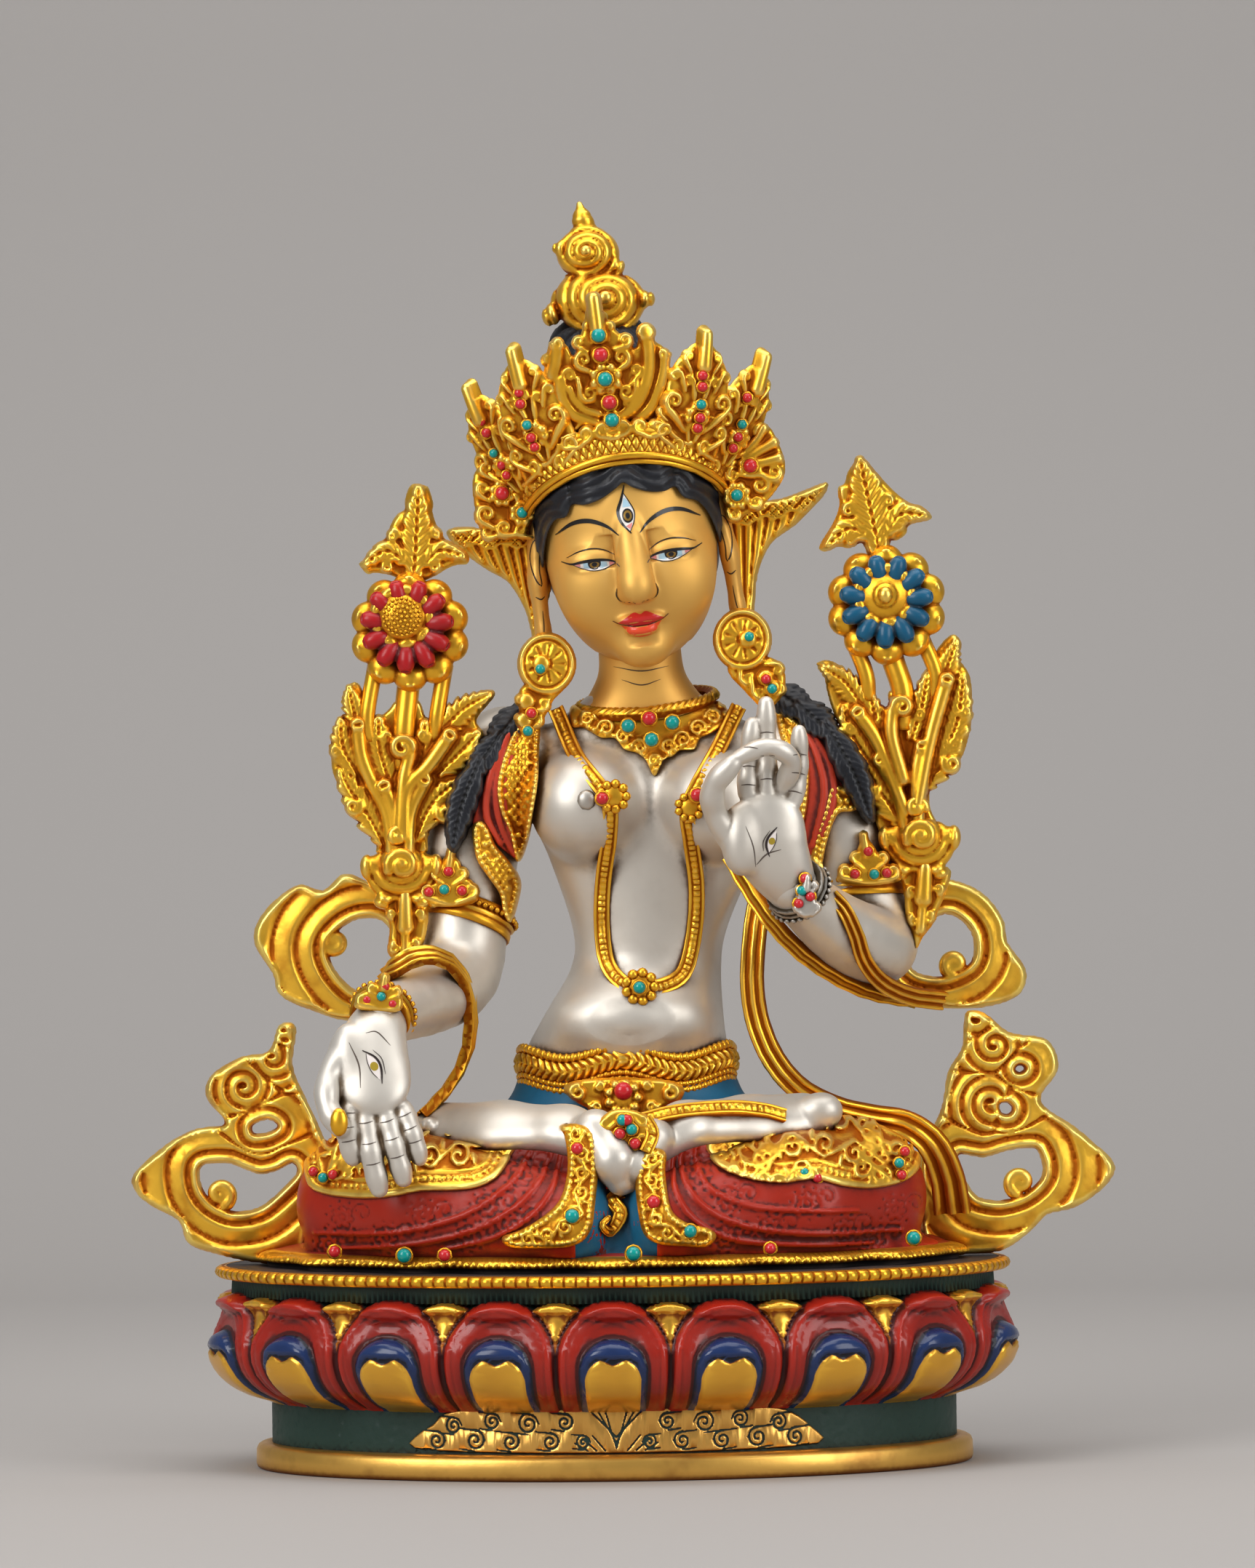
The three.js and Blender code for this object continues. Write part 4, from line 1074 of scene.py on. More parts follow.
for points, radius in (
    ([(-69.2, -53.5, 45), (-69.6, -57.5, 38.5), (-68.2, -56.4, 31.5)], 3.1),
    ([(-65, -54.6, 43), (-63.4, -57.5, 33), (-61.4, -56.8, 23.2)], 3.2),
    ([(-59.6, -54.6, 43), (-57.2, -57.2, 34.5), (-54.9, -56.6, 25.8)], 3.1),
    ([(-55, -53.6, 44), (-52.4, -56, 37.5), (-50.6, -55.6, 31)], 2.7),
    ([(-68.6, -49, 62), (-74.2, -54, 53), (-74.6, -58.5, 45), (-71.2, -60.6, 39.5)], 3.4)
):
    hand_right.add(finger(points, radius), 0.8)
hand_left = Clay((24, -56, 92), (60, -22, 156), 0.45)
hand_left.add(limb(left_palm, (1, 0, 0)), 2)
hand_left.add([ball((35.5, -40, 114), (5, 4.8, 9))], 3)
for points, radius in (
    ([(37.8, -38.6, 127), (38.2, -38, 136), (39.2, -39, 145)], 2.8),
    ([(43, -39, 128), (43, -38, 139), (42.9, -39, 150.5)], 2.85),
    ([(47, -39, 128), (49.4, -45, 135.5), (43, -48, 139), (35.2, -48.6, 136.2)], 2.6),
    ([(50, -38.4, 125), (51.6, -39, 134), (51.6, -41, 143)], 2.5),
    ([(34.5, -38, 112), (28.8, -42.5, 122), (28.8, -46.5, 129), (33.6, -48.6, 134.6)], 3.3)
):
    hand_left.add(finger(points, radius), 0.8)
feet = Clay((-56, -63, 14), (66, -10, 52), 0.6)
for path in (
    [(4, -42, 30, 7, 6), (-12, -37, 37.5, 7.5, 5), (-30, -30, 38.5, 8, 4.2), (-46, -23, 38.5, 8, 3.6)],
    [(4, -44, 30, 7, 6), (20, -38, 38.5, 7, 5), (38, -30, 39.5, 7.5, 4.2), (53, -22, 40, 7.5, 4)]
):
    feet.add(limb(path, (0, 0.8, 0.6)), 2)
feet.add([ball((56.5, -24, 41), (6, 5, 5))], 2)
feet.add(limb([(-4, -46, 37, 6.2), (0.6, -50, 29.5, 5.6), (2.6, -49.6, 24, 3.8)]), 3)
feet.add(limb([(11, -45, 35, 6.0), (6.8, -49.4, 28, 4.4), (5.6, -49, 24, 3)]), 0.9)
for k in range(4):
    feet.add([ball((-49 - 0.5 * k, -27 + 3.0 * k, 38.5 - 0.3 * k), 2.3)], 1)

cast("torso", body, silver, replaced=["figure"])
cast("legs", legs, red, replaced=["figure"])
cast("right_hand", hand_right, silver)
cast("left_hand", hand_left, silver)
cast("feet", feet, silver)

# Head, worked upright and then turned into place
tilt = Matrix.Rotation(math.radians(-7), 3, "Y") @ Matrix.Rotation(math.radians(7), 3, "X")


def in_head(points):
    return np.asarray(points, float) @ np.array(tilt).T + (7.5, -2, 192.5)


face = Clay((-29, -34, -34), (29, 12, 30), 0.45)
face.add([ball((0, 1, 9), (24.2, 24.5, 33))])
face.add([ball((0, -4.5, -9), (19.5, 18.5, 21))], 9)
face.add([ball((0, -17.0, -24.3), (6.8, 5.6, 5.2))], 6)
for side in (-1, 1):
    face.add([ball((side * 11.5, -15.0, -7), (8, 6.4, 9))], 9)
    face.cut([ball((side * 11.4, -28.5, 3.4), (6.4, 6.0, 4.0))], 9)
    face.add([ball((side * 10.2, -19.4, 1.4), (6.9, 4.2, 3.9))], 1.6)
nose = smooth([
    (0, -20.4, 12, 0.6), (0, -22.2, 7, 1.0), (0, -24.0, 1.5, 1.2), (0, -26.0, -3.5, 1.6),
    (0, -27.9, -7.9, 2.3)
], 6)
face.add(limb(nose), 4.5)
for side in (-1, 1):
    face.add([ball((side * 3.1, -25.3, -8.6), (1.9, 2.8, 1.9))], 2.0)
    face.cut([ball((side * 1.9, -27.6, -10.9), (1.0, 1.6, 0.6))], 0.8)
face.cut([ball((0, -26.6, -12.8), (1.0, 1.3, 1.8))], 1.4)
for side in (-1, 1):
    face.add([ball((side * 2.5, -22.9, -15.8), (3.8, 2.5, 1.5))], 1.6)
face.add([ball((0, -22.8, -18.7), (4.4, 2.6, 1.9))], 1.4)
face.cut([ball((0, -25.7, -17.2), (6.4, 1.5, 0.3))], 0.6)
face.cut([ball((0, -23.6, -21.8), (4.2, 1.6, 1.1))], 2.0)
cast("face", face, cold_gold, place=in_head)


# Painted features: thin skins that lie on the face
ROWS, COLUMNS = 7, 28


def painted(name, lines, colour, clay=face, place=in_head, lift=0.07, metal=0.0):
    """Patches between two curves, lower and upper, given as (x, z) in the front plane."""
    heap = Heap()
    for lower, upper in lines:
        lower, upper = evenly(lower, count=COLUMNS), evenly(upper, count=COLUMNS)
        rows = np.linspace(0, 1, ROWS)[:, None, None]
        grid = lower[None] * (1 - rows) + upper[None] * rows
        x, z = grid[..., 0].ravel(), grid[..., 1].ravel()
        points = np.stack([x, clay.front(x, z) - lift, z], 1)
        corner = np.arange(ROWS - 1)[:, None] * COLUMNS + np.arange(COLUMNS - 1)[None]
        quads = np.stack([corner, corner + 1, corner + COLUMNS + 1, corner + COLUMNS], 2).reshape(-1, 4)
        heap.add(place(points) if place else points, quads)
    look = finish(
        name + "_colour", colour, tuple(0.6 * c for c in colour), metal=metal, rough=0.35, coat=0.3,
        bright=colour, shade_and_grime_gain=0.0, mottle=0.0, grain=0
    )
    heap.build(name, look)


def stroke(points, half, taper):
    """The two sides of a line, narrowed to its ends by the taper."""
    path = evenly(smooth(points, 8), count=COLUMNS)
    ahead = np.gradient(path, axis=0)
    ahead /= np.linalg.norm(ahead, axis=1)[:, None]
    side = np.stack([-ahead[:, 1], ahead[:, 0]], 1)
    wide = half * (1 - taper * (1 - np.sin(math.pi * np.linspace(0.02, 0.98, COLUMNS))))[:, None]
    return path - side * wide, path + side * wide


def half_ovals(x, z, wide, low, high):
    """The lower and the upper half of an oval about x, z."""
    turn = np.linspace(-math.pi, 0, COLUMNS)
    across = x + wide * np.cos(turn)
    return np.stack([across, z + low * np.sin(turn)], 1), np.stack([across, z - high * np.sin(turn)], 1)


def patch(lower, upper):
    return smooth(lower, 5), smooth(upper, 5)


def mirrored(lines, side):
    return [tuple(np.asarray(curve, float) * (side, 1) for curve in pair) for pair in lines]


whites, lids, irises, corners, glints, pales = [], [], [], [], [], []
lower_lid = smooth([(4.8, 0.1), (7.4, -0.9), (10.4, -1.2), (13.4, -0.5), (16.2, 0.9)], 6)
upper_lid = smooth([(4.8, 0.1), (7.2, 0.9), (10.4, 1.2), (13.6, 1.1), (16.2, 0.9)], 6)
iris_low, _ = half_ovals(10.4, 0.55, 1.75, 1.55, 0)
iris_high = np.column_stack([iris_low[:, 0], 1.15 - 0.02 * np.cos(np.linspace(-math.pi, 0, COLUMNS)) ** 2])
for side in (-1, 1):
    whites += mirrored([(lower_lid, upper_lid)], side)
    pales += mirrored([
        patch([(7.0, -0.5), (8.0, -0.8), (9.0, -0.9)], [(7.0, 0.6), (8.0, 0.9), (9.0, 1.0)]),
        patch([(11.8, -0.8), (12.6, -0.6), (13.4, -0.3)], [(11.8, 1.1), (12.6, 1.1), (13.4, 1.0)])
    ], side)
    corners += mirrored([
        patch([(4.9, 0.1), (5.6, -0.2), (6.4, -0.5)], [(4.9, 0.2), (5.6, 0.4), (6.4, 0.6)]),
        patch([(14.2, 0.0), (15.2, 0.4), (16.0, 0.8)], [(14.2, 1.0), (15.2, 1.0), (16.0, 0.95)])
    ], side)
    irises += mirrored([(iris_low, iris_high)], side)
    glints += mirrored([half_ovals(10.4, 0.45, 1.3, 1.15, 0.55)], side)
    lids += mirrored([
        stroke([
            (3.8, -0.7), (5.2, 0.5), (7.6, 1.25), (10.6, 1.5), (13.8, 1.35), (16.6, 1.0), (19.2, 1.7)
        ], 0.42, 0.75),
        stroke([(4.6, 0.0), (7.4, -1.0), (10.4, -1.35), (13.4, -0.6), (16.2, 0.8)], 0.12, 0.4),
        stroke([(4.6, 2.2), (7.4, 3.9), (10.8, 4.6), (14.4, 4.1), (17.6, 2.7)], 0.17, 0.7),
        stroke([(2.9, 7.4), (6.0, 10.2), (10.4, 12.0), (15.0, 11.6), (19.8, 8.8)], 0.62, 0.85),
        stroke([(5.3, -6.7), (5.7, -8.6), (4.9, -10.2), (3.6, -10.5)], 0.16, 0.6),
        stroke([(0.9, -11.0), (1.9, -10.6), (2.8, -10.9)], 0.2, 0.5), half_ovals(10.4, 0.45, 0.75, 0.7, 0.5)
    ], side)
third = [(0.4, 8.2), (-1.7, 10.6), (-2.3, 13.6), (-1.2, 16.2), (-0.2, 18.4)]
third_right = [(0.4, 8.2), (1.7, 10.6), (2.1, 13.2), (1.0, 16.0), (-0.2, 18.4)]
whites.append((smooth(third, 6), smooth(third_right, 6)))
pales.append(patch([(-0.9, 14.6), (-0.6, 16.0), (-0.3, 17.0)], [(1.3, 14.6), (0.7, 16.0), (0.0, 17.0)]))
corners.append(patch([(-0.6, 9.6), (0.1, 9.0), (0.4, 8.6)], [(1.2, 10.4), (0.9, 9.4), (0.5, 8.8)]))
irises.append(half_ovals(0.2, 12.3, 1.5, 1.9, 1.9))
glints.append(half_ovals(0.2, 12.3, 1.1, 1.4, 1.4))
lids += [
    stroke([(0.6, 7.6), *third[1:4], (-0.3, 18.6), (0.3, 20.4)], 0.42, 0.7),
    stroke([(0.4, 8.2), *third_right[1:4], (-0.2, 18.4)], 0.16, 0.5), half_ovals(0.2, 12.3, 0.6, 0.8, 0.8)
]
upper_lip = (
    smooth([(-6.6, -16.4), (-3.4, -17.3), (0, -17.4), (3.4, -17.3), (6.6, -16.4)], 6),
    smooth([
        (-6.6, -16.4), (-3.8, -14.9), (-1.6, -13.9), (0, -14.5), (1.6, -13.9), (3.8, -14.9), (6.6, -16.4)
    ], 6)
)
lower_lip = (
    smooth([(-5.4, -17.2), (-2.8, -20.2), (0, -20.9), (2.8, -20.2), (5.4, -17.2)], 6),
    smooth([(-5.4, -17.0), (-3.4, -17.5), (0, -17.6), (3.4, -17.5), (5.4, -17.0)], 6)
)
painted("eye_whites", whites, (0.80, 0.76, 0.72))
painted("eye_shading", pales, (0.40, 0.60, 0.72), lift=0.10)
painted("eye_corners", corners, (0.72, 0.26, 0.24), lift=0.11)
painted("irises", irises, (0.012, 0.010, 0.010), lift=0.13)
painted("iris_rings", glints, (0.30, 0.17, 0.03), lift=0.16, metal=0.5)
painted("face_lines", lids, (0.010, 0.009, 0.009), lift=0.19)
painted("upper_lip", [upper_lip], (0.55, 0.022, 0.018), lift=0.09)
painted("lower_lip", [lower_lip], (0.80, 0.075, 0.022), lift=0.09)
mouth = [(-7.6, -15.6), (-5.6, -16.7), (-2.6, -17.4), (0, -17.5), (2.6, -17.4), (5.6, -16.7), (7.6, -15.6)]
painted("mouth_line", [stroke(mouth, 0.22, 0.6)], (0.10, 0.008, 0.006), lift=0.14)
neck = Clay((-16, -12, 143), (39, 20, 182), 0.6)
neck.add(ringed([
    (143, 11.6, 5, 26, 11.8, 13), (148, 11.2, 4.8, 22, 11.9, 12.8), (152, 10.8, 4.4, 17, 11.7, 11.9),
    (156, 10.3, 3.8, 13.8, 11.4, 11.2), (161, 9.8, 2.6, 11.6, 11.1, 10.8), (170, 9.2, 1, 11.2, 10.8, 10.3),
    (181, 9, 0, 11, 10, 10)
]))
cast("neck", neck, cold_gold)
ears = Clay((-33, -12, -34), (33, 12, 18), 0.6)
for side in (-1, 1):
    ears.add(limb([
        (side * 25.2, 0, 9, 5, 2.4), (side * 26.4, -1.5, -4, 4.6, 2.4), (side * 26.6, -2.5, -18, 3.2, 2),
        (side * 27, -3, -30, 3.4, 2.2)
    ], (0, 1, 0)), 1.5)
cast("ears", ears, cold_gold, place=in_head)

# Hair
SKULL = ball((0, 1, 9), (24.2, 24.5, 33))
hair = Clay((-30, -30, -24), (30, 36, 76), 0.7)
hair.add([ball((0, 5.5, 13.5), (26.0, 26.6, 28.4))])
hair.add([ball((0, 12, -4), (24, 20, 18))], 6)
hair.add([ball((0.5, 7.5, 46), (14.4, 14.4, 16)), ball((-1.2, 15, 56.7), (14.0, 11, 9.2))], 4)
x, y, z = np.meshgrid(*hair.axes(), indexing="ij", sparse=True)
turn = np.arctan2(x - 1, -(y - 5))
strands = np.cos(turn * 26 + 0.25 * z) * np.clip((z - 20) / 14, 0, 1) + 0.5 * np.cos(turn * 41) * (z > 30)
hair.d = hair.d + (0.35 * strands + 0.35).astype(np.float32)
opening = ball((0, -24, -6), (26.5, 25, 33.5))[2](x, y, z)
hair.d = kept(hair.d, -opening.astype(np.float32), 1)
cast("hair", hair, black, place=in_head)
fringe_edge = [
    (-25.0, -8), (-23.7, 2), (-22.0, 8.6), (-19.4, 12.8), (-16.2, 13.6), (-14.2, 16.6), (-10.6, 16.4),
    (-6, 17.6), (-2, 19.8), (0.2, 21.2), (2.4, 19.6), (6.4, 17.8), (10.8, 17.2), (13.8, 17.8), (15.8, 14.6),
    (19.4, 12.8), (22.0, 8.6), (23.7, 2), (25.0, -8), (30, -40), (0, -60), (-30, -40)
]
fringe = Clay((-29, -34, -22), (29, 8, 38), 0.5)
fringe.add([SKULL])
x, y, z = fringe.axes()
opened = -region([fringe_edge], x[:, None], z[None])
across = x[:, None] + 0 * z[None]
waves = 0.3 * np.cos(opened * 2.4 + 0.9 * np.sin(across * 0.5))
waves = waves + 0.55 * np.cos((across - 0.6) * TAU / 10.5) * (np.abs(across) < 15) + 2.1
fringe.d = fringe.d - waves[:, None].astype(np.float32)
fringe.d = kept(fringe.d, opened[:, None].astype(np.float32), 1.6)
fringe.d = np.maximum(fringe.d, (y - 3)[None, :, None].astype(np.float32))
cast("fringe", fringe, black, place=in_head, keep=lambda points: SKULL[2](*points.T) > -0.5)

# Creases of the neck, ears and hands; the dark lines on the hands are painted crease shade
neck_lines = []
for z, bow in ((160.2, 1.3), (163.6, 1.2), (156.4, 1.5)):
    reach = 5.2 if z < 158 else 7.4
    neck_lines.append(stroke([(9.6 - reach, z + bow), (9.8, z), (9.8 + reach, z + bow)], 0.17, 0.8))
painted("neck_lines", neck_lines, (0.05, 0.025, 0.010), clay=neck, place=None)
ear_lines = []
for side in (-1, 1):
    ear_lines += mirrored([
        stroke([
            (24.4, 8), (26.4, 6.5), (27.6, 2), (26.8, -3), (25.2, -5.2), (25.4, -1.0), (24.8, 3.2),
            (24.2, 6.6)
        ], 0.2, 0.4),
        stroke([(24.9, -8.2), (26.0, -8.8), (27.4, -8.0)], 0.2, 0.5),
        stroke([(26.0, -12), (26.2, -16), (26.8, -20)], 0.15, 0.6)
    ], side)
painted("ear_lines", ear_lines, (0.04, 0.02, 0.010), clay=ears)


def palm_eye(x, z, lean, size):
    """An eye drawn in a palm, its long way at the given lean."""
    way = np.array([math.cos(math.radians(lean)), math.sin(math.radians(lean))])
    side = np.array([-way[1], way[0]])
    ring = np.linspace(-math.pi, 0, 20)

    def put(rows):
        return np.array([np.array([x, z]) + size * (a * way + b * side) for a, b in rows])

    below = smooth(put([(-1, 0.0), (-0.4, -0.2), (0.3, -0.22), (1, 0.0)]), 6)
    above = smooth(put([(-1, 0.0), (-0.4, 0.34), (0.2, 0.36), (1, 0.0)]), 6)
    low = put([(0.3 * math.cos(a), 0.08 + 0.27 * math.sin(a)) for a in ring])
    high = put([(0.3 * math.cos(a), 0.08 - 0.27 * math.sin(a)) for a in ring])
    lash = put([(-1.3, -0.12), (-0.5, 0.42), (0.3, 0.44), (1.25, 0.0)])
    crease = put([(-1, 0.5), (-0.2, 0.75), (0.8, 0.5)])
    return below, above, low, high, lash, crease


for name, clay, spot in (
    ("right_palm", hand_right, (-62.6, 55.5, -62, 4.0)), ("left_palm", hand_left, (44.2, 113.8, 72, 3.2))
):
    below, above, low, high, lash, crease = palm_eye(*spot)
    lines = [stroke(lash, 0.27, 0.7), stroke(below[::4], 0.1, 0.5), stroke(crease, 0.09, 0.6)]
    painted(name + "_white", [(below, above)], (0.74, 0.67, 0.63), clay=clay, place=None)
    painted(name + "_iris", [(low, high)], (0.34, 0.24, 0.02), clay=clay, place=None, lift=0.12)
    painted(name + "_lines", lines, (0.02, 0.012, 0.012), clay=clay, place=None, lift=0.15)

# Dark lines across the finger joints and palms: painted shade standing in for the creases.
hand_crease_shading = {
    "right": (
        hand_right,
        [
            [(-69.2, 45), (-69.6, 38.5), (-68.2, 31.5)], [(-65, 43), (-63.4, 33), (-61.4, 23.2)],
            [(-59.6, 43), (-57.2, 34.5), (-54.9, 25.8)], [(-55, 44), (-52.4, 37.5), (-50.6, 31)]
        ],
        [([(-69, 62), (-66.4, 56), (-66, 50)], 0.2), ([(-58, 61), (-61.6, 64.6), (-64.6, 64.4)], 0.16)]
    ),
    "left": (
        hand_left,
        [
            [(37.8, 127), (38.2, 136), (39.2, 145)], [(43, 128), (43, 139), (42.9, 150.5)],
            [(50, 125), (51.6, 134), (51.6, 143)]
        ],
        [
            ([(39.8, 107.6), (42.6, 110.4), (46.4, 111.6)], 0.2),
            ([(37, 118), (39, 112.4), (39.6, 107)], 0.16)
        ]
    )
}
for name, (clay, fingers, palm_lines) in hand_crease_shading.items():
    lines = []
    for row in fingers:
        path = evenly(smooth(row, 6), count=30)
        for k in (3, 11, 19):
            way = path[k + 1] - path[k - 1]
            out = 1.9 * np.array([-way[1], way[0]]) / np.linalg.norm(way)
            lines.append(stroke([path[k] - out, path[k] + 0.15 * way, path[k] + out], 0.17, 0.6))
    lines += [stroke(path, half, 0.8) for path, half in palm_lines]
    # The colour of the painted crease shade.
    painted(name + "_hand_crease_shading", lines, (0.10, 0.075, 0.06), clay=clay, place=None, lift=0.06)


# Crown
def band(heap, path, up, half, relief, gap=0.5, rows=11, closed=False):
    """A raised strip along a path: relief(along, across) in mm, across from -1 to 1."""
    path = np.asarray(path, float)
    columns = np.column_stack([path, np.broadcast_to(np.asarray(up, float), path.shape)])
    length = run_along(path)
    count = max(4, int(length[-1] / gap))
    at = np.linspace(0, length[-1], count, endpoint=not closed)
    columns = np.stack([np.interp(at, length, column) for column in columns.T], 1)
    path = columns[:, :3]
    side, up = frames(path, columns[:, 3:], closed)
    across = np.linspace(-1, 1, rows)
    height = relief(at[:, None], across[None]) + np.zeros((count, rows))
    level = height
    for axis, reach in ((0, 3), (1, 2)):
        level = sum(np.roll(level, k, axis) for k in range(-reach, reach + 1)) / (2 * reach + 1)
    # Hollows of the strip and its two sides take the painted shade of the finish.
    hollow = np.pad(np.clip(0.9 * (level - height), -0.3, 0.5), ((0, 0), (1, 1)), constant_values=0.4)
    across = np.concatenate([[-1], across, [1]])
    height = np.pad(height, ((0, 0), (1, 1)), constant_values=-1.2)
    if np.ndim(half):
        half = np.interp(np.linspace(0, 1, count), np.linspace(0, 1, len(half)), half)
    half = np.broadcast_to(half, count)
    out = (side * half[:, None])[:, None] * across[None, :, None]
    points = path[:, None] + out + up[:, None] * height[..., None]
    wide = rows + 2
    i = np.arange(count if closed else count - 1)[:, None] * wide
    j = np.arange(wide - 1)[None]
    after = (i + wide) % (count * wide)
    quads = np.stack([i + j, after + j, after + j + 1, i + j + 1], 2).reshape(-1, 4)
    heap.add(points.reshape(-1, 3), quads, hollow=hollow.ravel())


def rosette_on(work, x, z, radius, petals=8, level=1.6):
    """Round petals about a low boss."""
    work.dot(x, z, radius, level, 0.3)
    out = 0.78 * radius
    for k in range(petals):
        a = TAU * (k + 0.5) / petals
        work.dot(x + out * math.cos(a), z + out * math.sin(a), 0.36 * radius, level, 1.0)


def crown_leaf(name, tip, width, turn):
    """A pierced leaf of scrolls with a thumb-like tip, worked upright and then set on the band."""
    foot = in_head([[26.5 * math.sin(turn), -21.5 * math.cos(turn), 30.5 - 19 * (1 - math.cos(turn))]])[0]
    rise = np.array(tip, float) - foot
    tall = np.linalg.norm(rise)
    rise /= tall
    facing = np.array([math.sin(0.6 * turn), -math.cos(0.6 * turn), 0])
    facing -= facing @ rise * rise
    facing /= np.linalg.norm(facing)
    side = np.cross(rise, -facing)
    half = width / 2
    work = Relief((-half - 3, -3), (half + 3, tall + 1), 0.3)
    core = [(0.8, -0.1), (1.05, 0.2), (1.0, 0.46), (0.86, 0.66), (0.5, 0.8), (0.2, 0.86)]
    edge = [(x * half, z * tall) for x, z in core] + [(-x * half, z * tall) for x, z in core[::-1]]
    work.shape(edge, 0.4)
    for s in (-1, 1):
        for x, z, r, hand, from_x, from_z in side_scrolls:
            work.scroll((s * from_x * half, from_z * tall), s * x * half, z * tall, 1.18 * r, s * hand, 1.0)
    rosette_on(work, 0, 0.32 * tall, 3.4)
    work.dot(0, 0.62 * tall, 2.0, 1.8, 0.35)
    work.tube([(0, 0.70 * tall), (0, tall - 2.3)], 2.3, 1.2, -0.1, 1.25)
    leaf = work.clay(0, 1.4, 1.2)

    def place(points):
        bow = 2.2 * np.sin(np.clip(points[:, 2] / tall, 0, 1) * math.pi)
        wrap = 0.012 * points[:, 0] ** 2
        forward = bow - points[:, 1] - wrap
        return foot + points[:, :1] * side + points[:, 2:] * rise + forward[:, None] * facing

    return cast(name, leaf, gilt, place=place, replaced=["crown"])


side_scrolls = [
    (0.76, 0.42, 3.0, 1, 0.30, 0.20), (0.80, 0.61, 1.9, -1, 0.45, 0.50), (0.44, 0.76, 1.7, 1, 0.28, 0.62),
    (0.42, 0.57, 2.0, -1, 0.12, 0.42), (0.86, 0.19, 2.6, 1, 0.30, 0.02), (0.44, 0.09, 2.2, -1, 0.90, -0.02),
    (0.46, 0.28, 1.9, -1, 0.10, 0.12)
]
for name, tip, width, turn in (
    ("right_inner", (-23.8, -27, 249), 19, -0.75), ("left_inner", (27.7, -27, 253), 19, 0.75),
    ("right_outer", (-35.9, -13, 240), 17, -1.25), ("left_outer", (43.7, -13, 247.5), 17, 1.25)
):
    crown_leaf("crown_leaf_" + name, tip, width, turn)

# The middle leaf: broad ribs that rise on both sides of a field of scrolls
work = Relief((-19, 221), (22, 263.5), 0.3)
work.shape([
    (-4.4, 254), (-5.6, 249.6), (-7.4, 244.6), (-9.4, 247.6), (-13.6, 248.4), (-15, 243), (-15.4, 239),
    (-12.6, 233), (-12, 226), (-9, 222), (12, 222), (15.6, 227), (17.2, 233), (18.6, 241), (17, 246.4),
    (14.4, 248.4), (12.4, 251.6), (10.2, 249.6), (9, 246.4), (5.4, 250), (2.2, 253.4), (1.4, 256),
    (-3.6, 257)
], 0.6)
for path, wide in (
    ([
        (12.3, 249.6), (12.9, 246), (12.9, 241.4), (12.3, 238.0), (10.7, 233.8), (7.8, 230.0), (4.4, 227.6)
    ], 1.9),
    ([(17.0, 243.6), (16.6, 239.6), (15.0, 234.4), (13.0, 230.4), (9.4, 227.0)], 1.6),
    ([(9.6, 236.4), (8.6, 233.6), (6.4, 231.6)], 1.0),
    ([(-11.9, 246.8), (-12.3, 242.8), (-13.2, 239.6)], 1.9),
    ([(-11.4, 238.0), (-11.0, 235.0), (-9.9, 231.8), (-7.2, 228.6), (-1.6, 226.4)], 1.6),
    ([(-8.6, 235.6), (-7.2, 232.6), (-4.6, 230.2), (-0.8, 229.0)], 1.2)
):
    work.tube(smooth(path, 6), wide, 1.3, high=0.8)
for tail, x, z, r, hand in (
    ((-1.6, 239.6), -4.7, 243.4, 2.9, -1), ((-3.4, 245.4), -6.0, 248.2, 1.9, -1),
    ((-6.4, 238.6), -3.4, 234.4, 2.8, 1), ((-9.6, 234.4), -8.6, 239.4, 2.3, -1),
    ((-2.4, 247.6), -3.4, 252.4, 1.7, 1), ((3.4, 239.8), 5.4, 243.8, 2.8, 1),
    ((7.8, 236.6), 9.3, 240.4, 2.1, 1), ((9.6, 238.6), 6.8, 234.8, 2.9, -1),
    ((3.4, 246.0), 6.5, 248.4, 2.3, 1), ((1.6, 248.4), 2.4, 252.2, 1.6, -1),
    ((-14.4, 240.4), -14.6, 243.6, 1.8, 1), ((-10.6, 229), -13.2, 228.4, 2.4, -1),
    ((-8.2, 224.2), -4.6, 225.4, 1.9, -1), ((9.4, 224.4), 6.0, 225.2, 1.9, 1),
    ((15.0, 227.6), 16.4, 230.4, 2.3, 1), ((12.4, 227.4), 14.2, 224.6, 2.2, -1),
    ((-9.4, 225.2), -12.2, 223.6, 2.1, 1)
):
    work.scroll(tail, x, z, 1.12 * r, hand, 1.1)
work.dot(12.1, 250.6, 2.7, 2.2, 0.5)
work.coil(12.1, 250.6, 2.5, 0, -1, 2.4)
work.coil(-11.7, 247.8, 2.4, 180, 1, 2.0)
work.coil(16.9, 244.9, 2.1, 0, -1, 1.9)
rosette_on(work, 1.2, 238.1, 4.1, 8, 1.9)
work.dot(0.1, 244.3, 2.6, 1.8, 0.4)
work.dot(-0.5, 249.6, 2.4, 1.8, 0.4)
work.dot(2.4, 231.8, 2.3, 1.8, 0.4)
work.dot(2.8, 227.6, 2.6, 1.8, 0.4)
work.tube([(-0.9, 251.4), (-1.9, 259.6)], 2.2, 1.4, 0.0, 1.25)


def before_the_head(points):
    """The middle leaf bends forward as it rises, and its sides bend back."""
    forward = np.interp(points[:, 2], [221, 226, 236, 248, 262], [22.6, 26, 31, 34, 34])
    return points - np.outer(forward - 0.012 * points[:, 0] ** 2, (0, 1, 0))


cast("crown_leaf_centre", work.clay(0, 1.4, 1.2), gilt, replaced=["crown"], place=before_the_head)


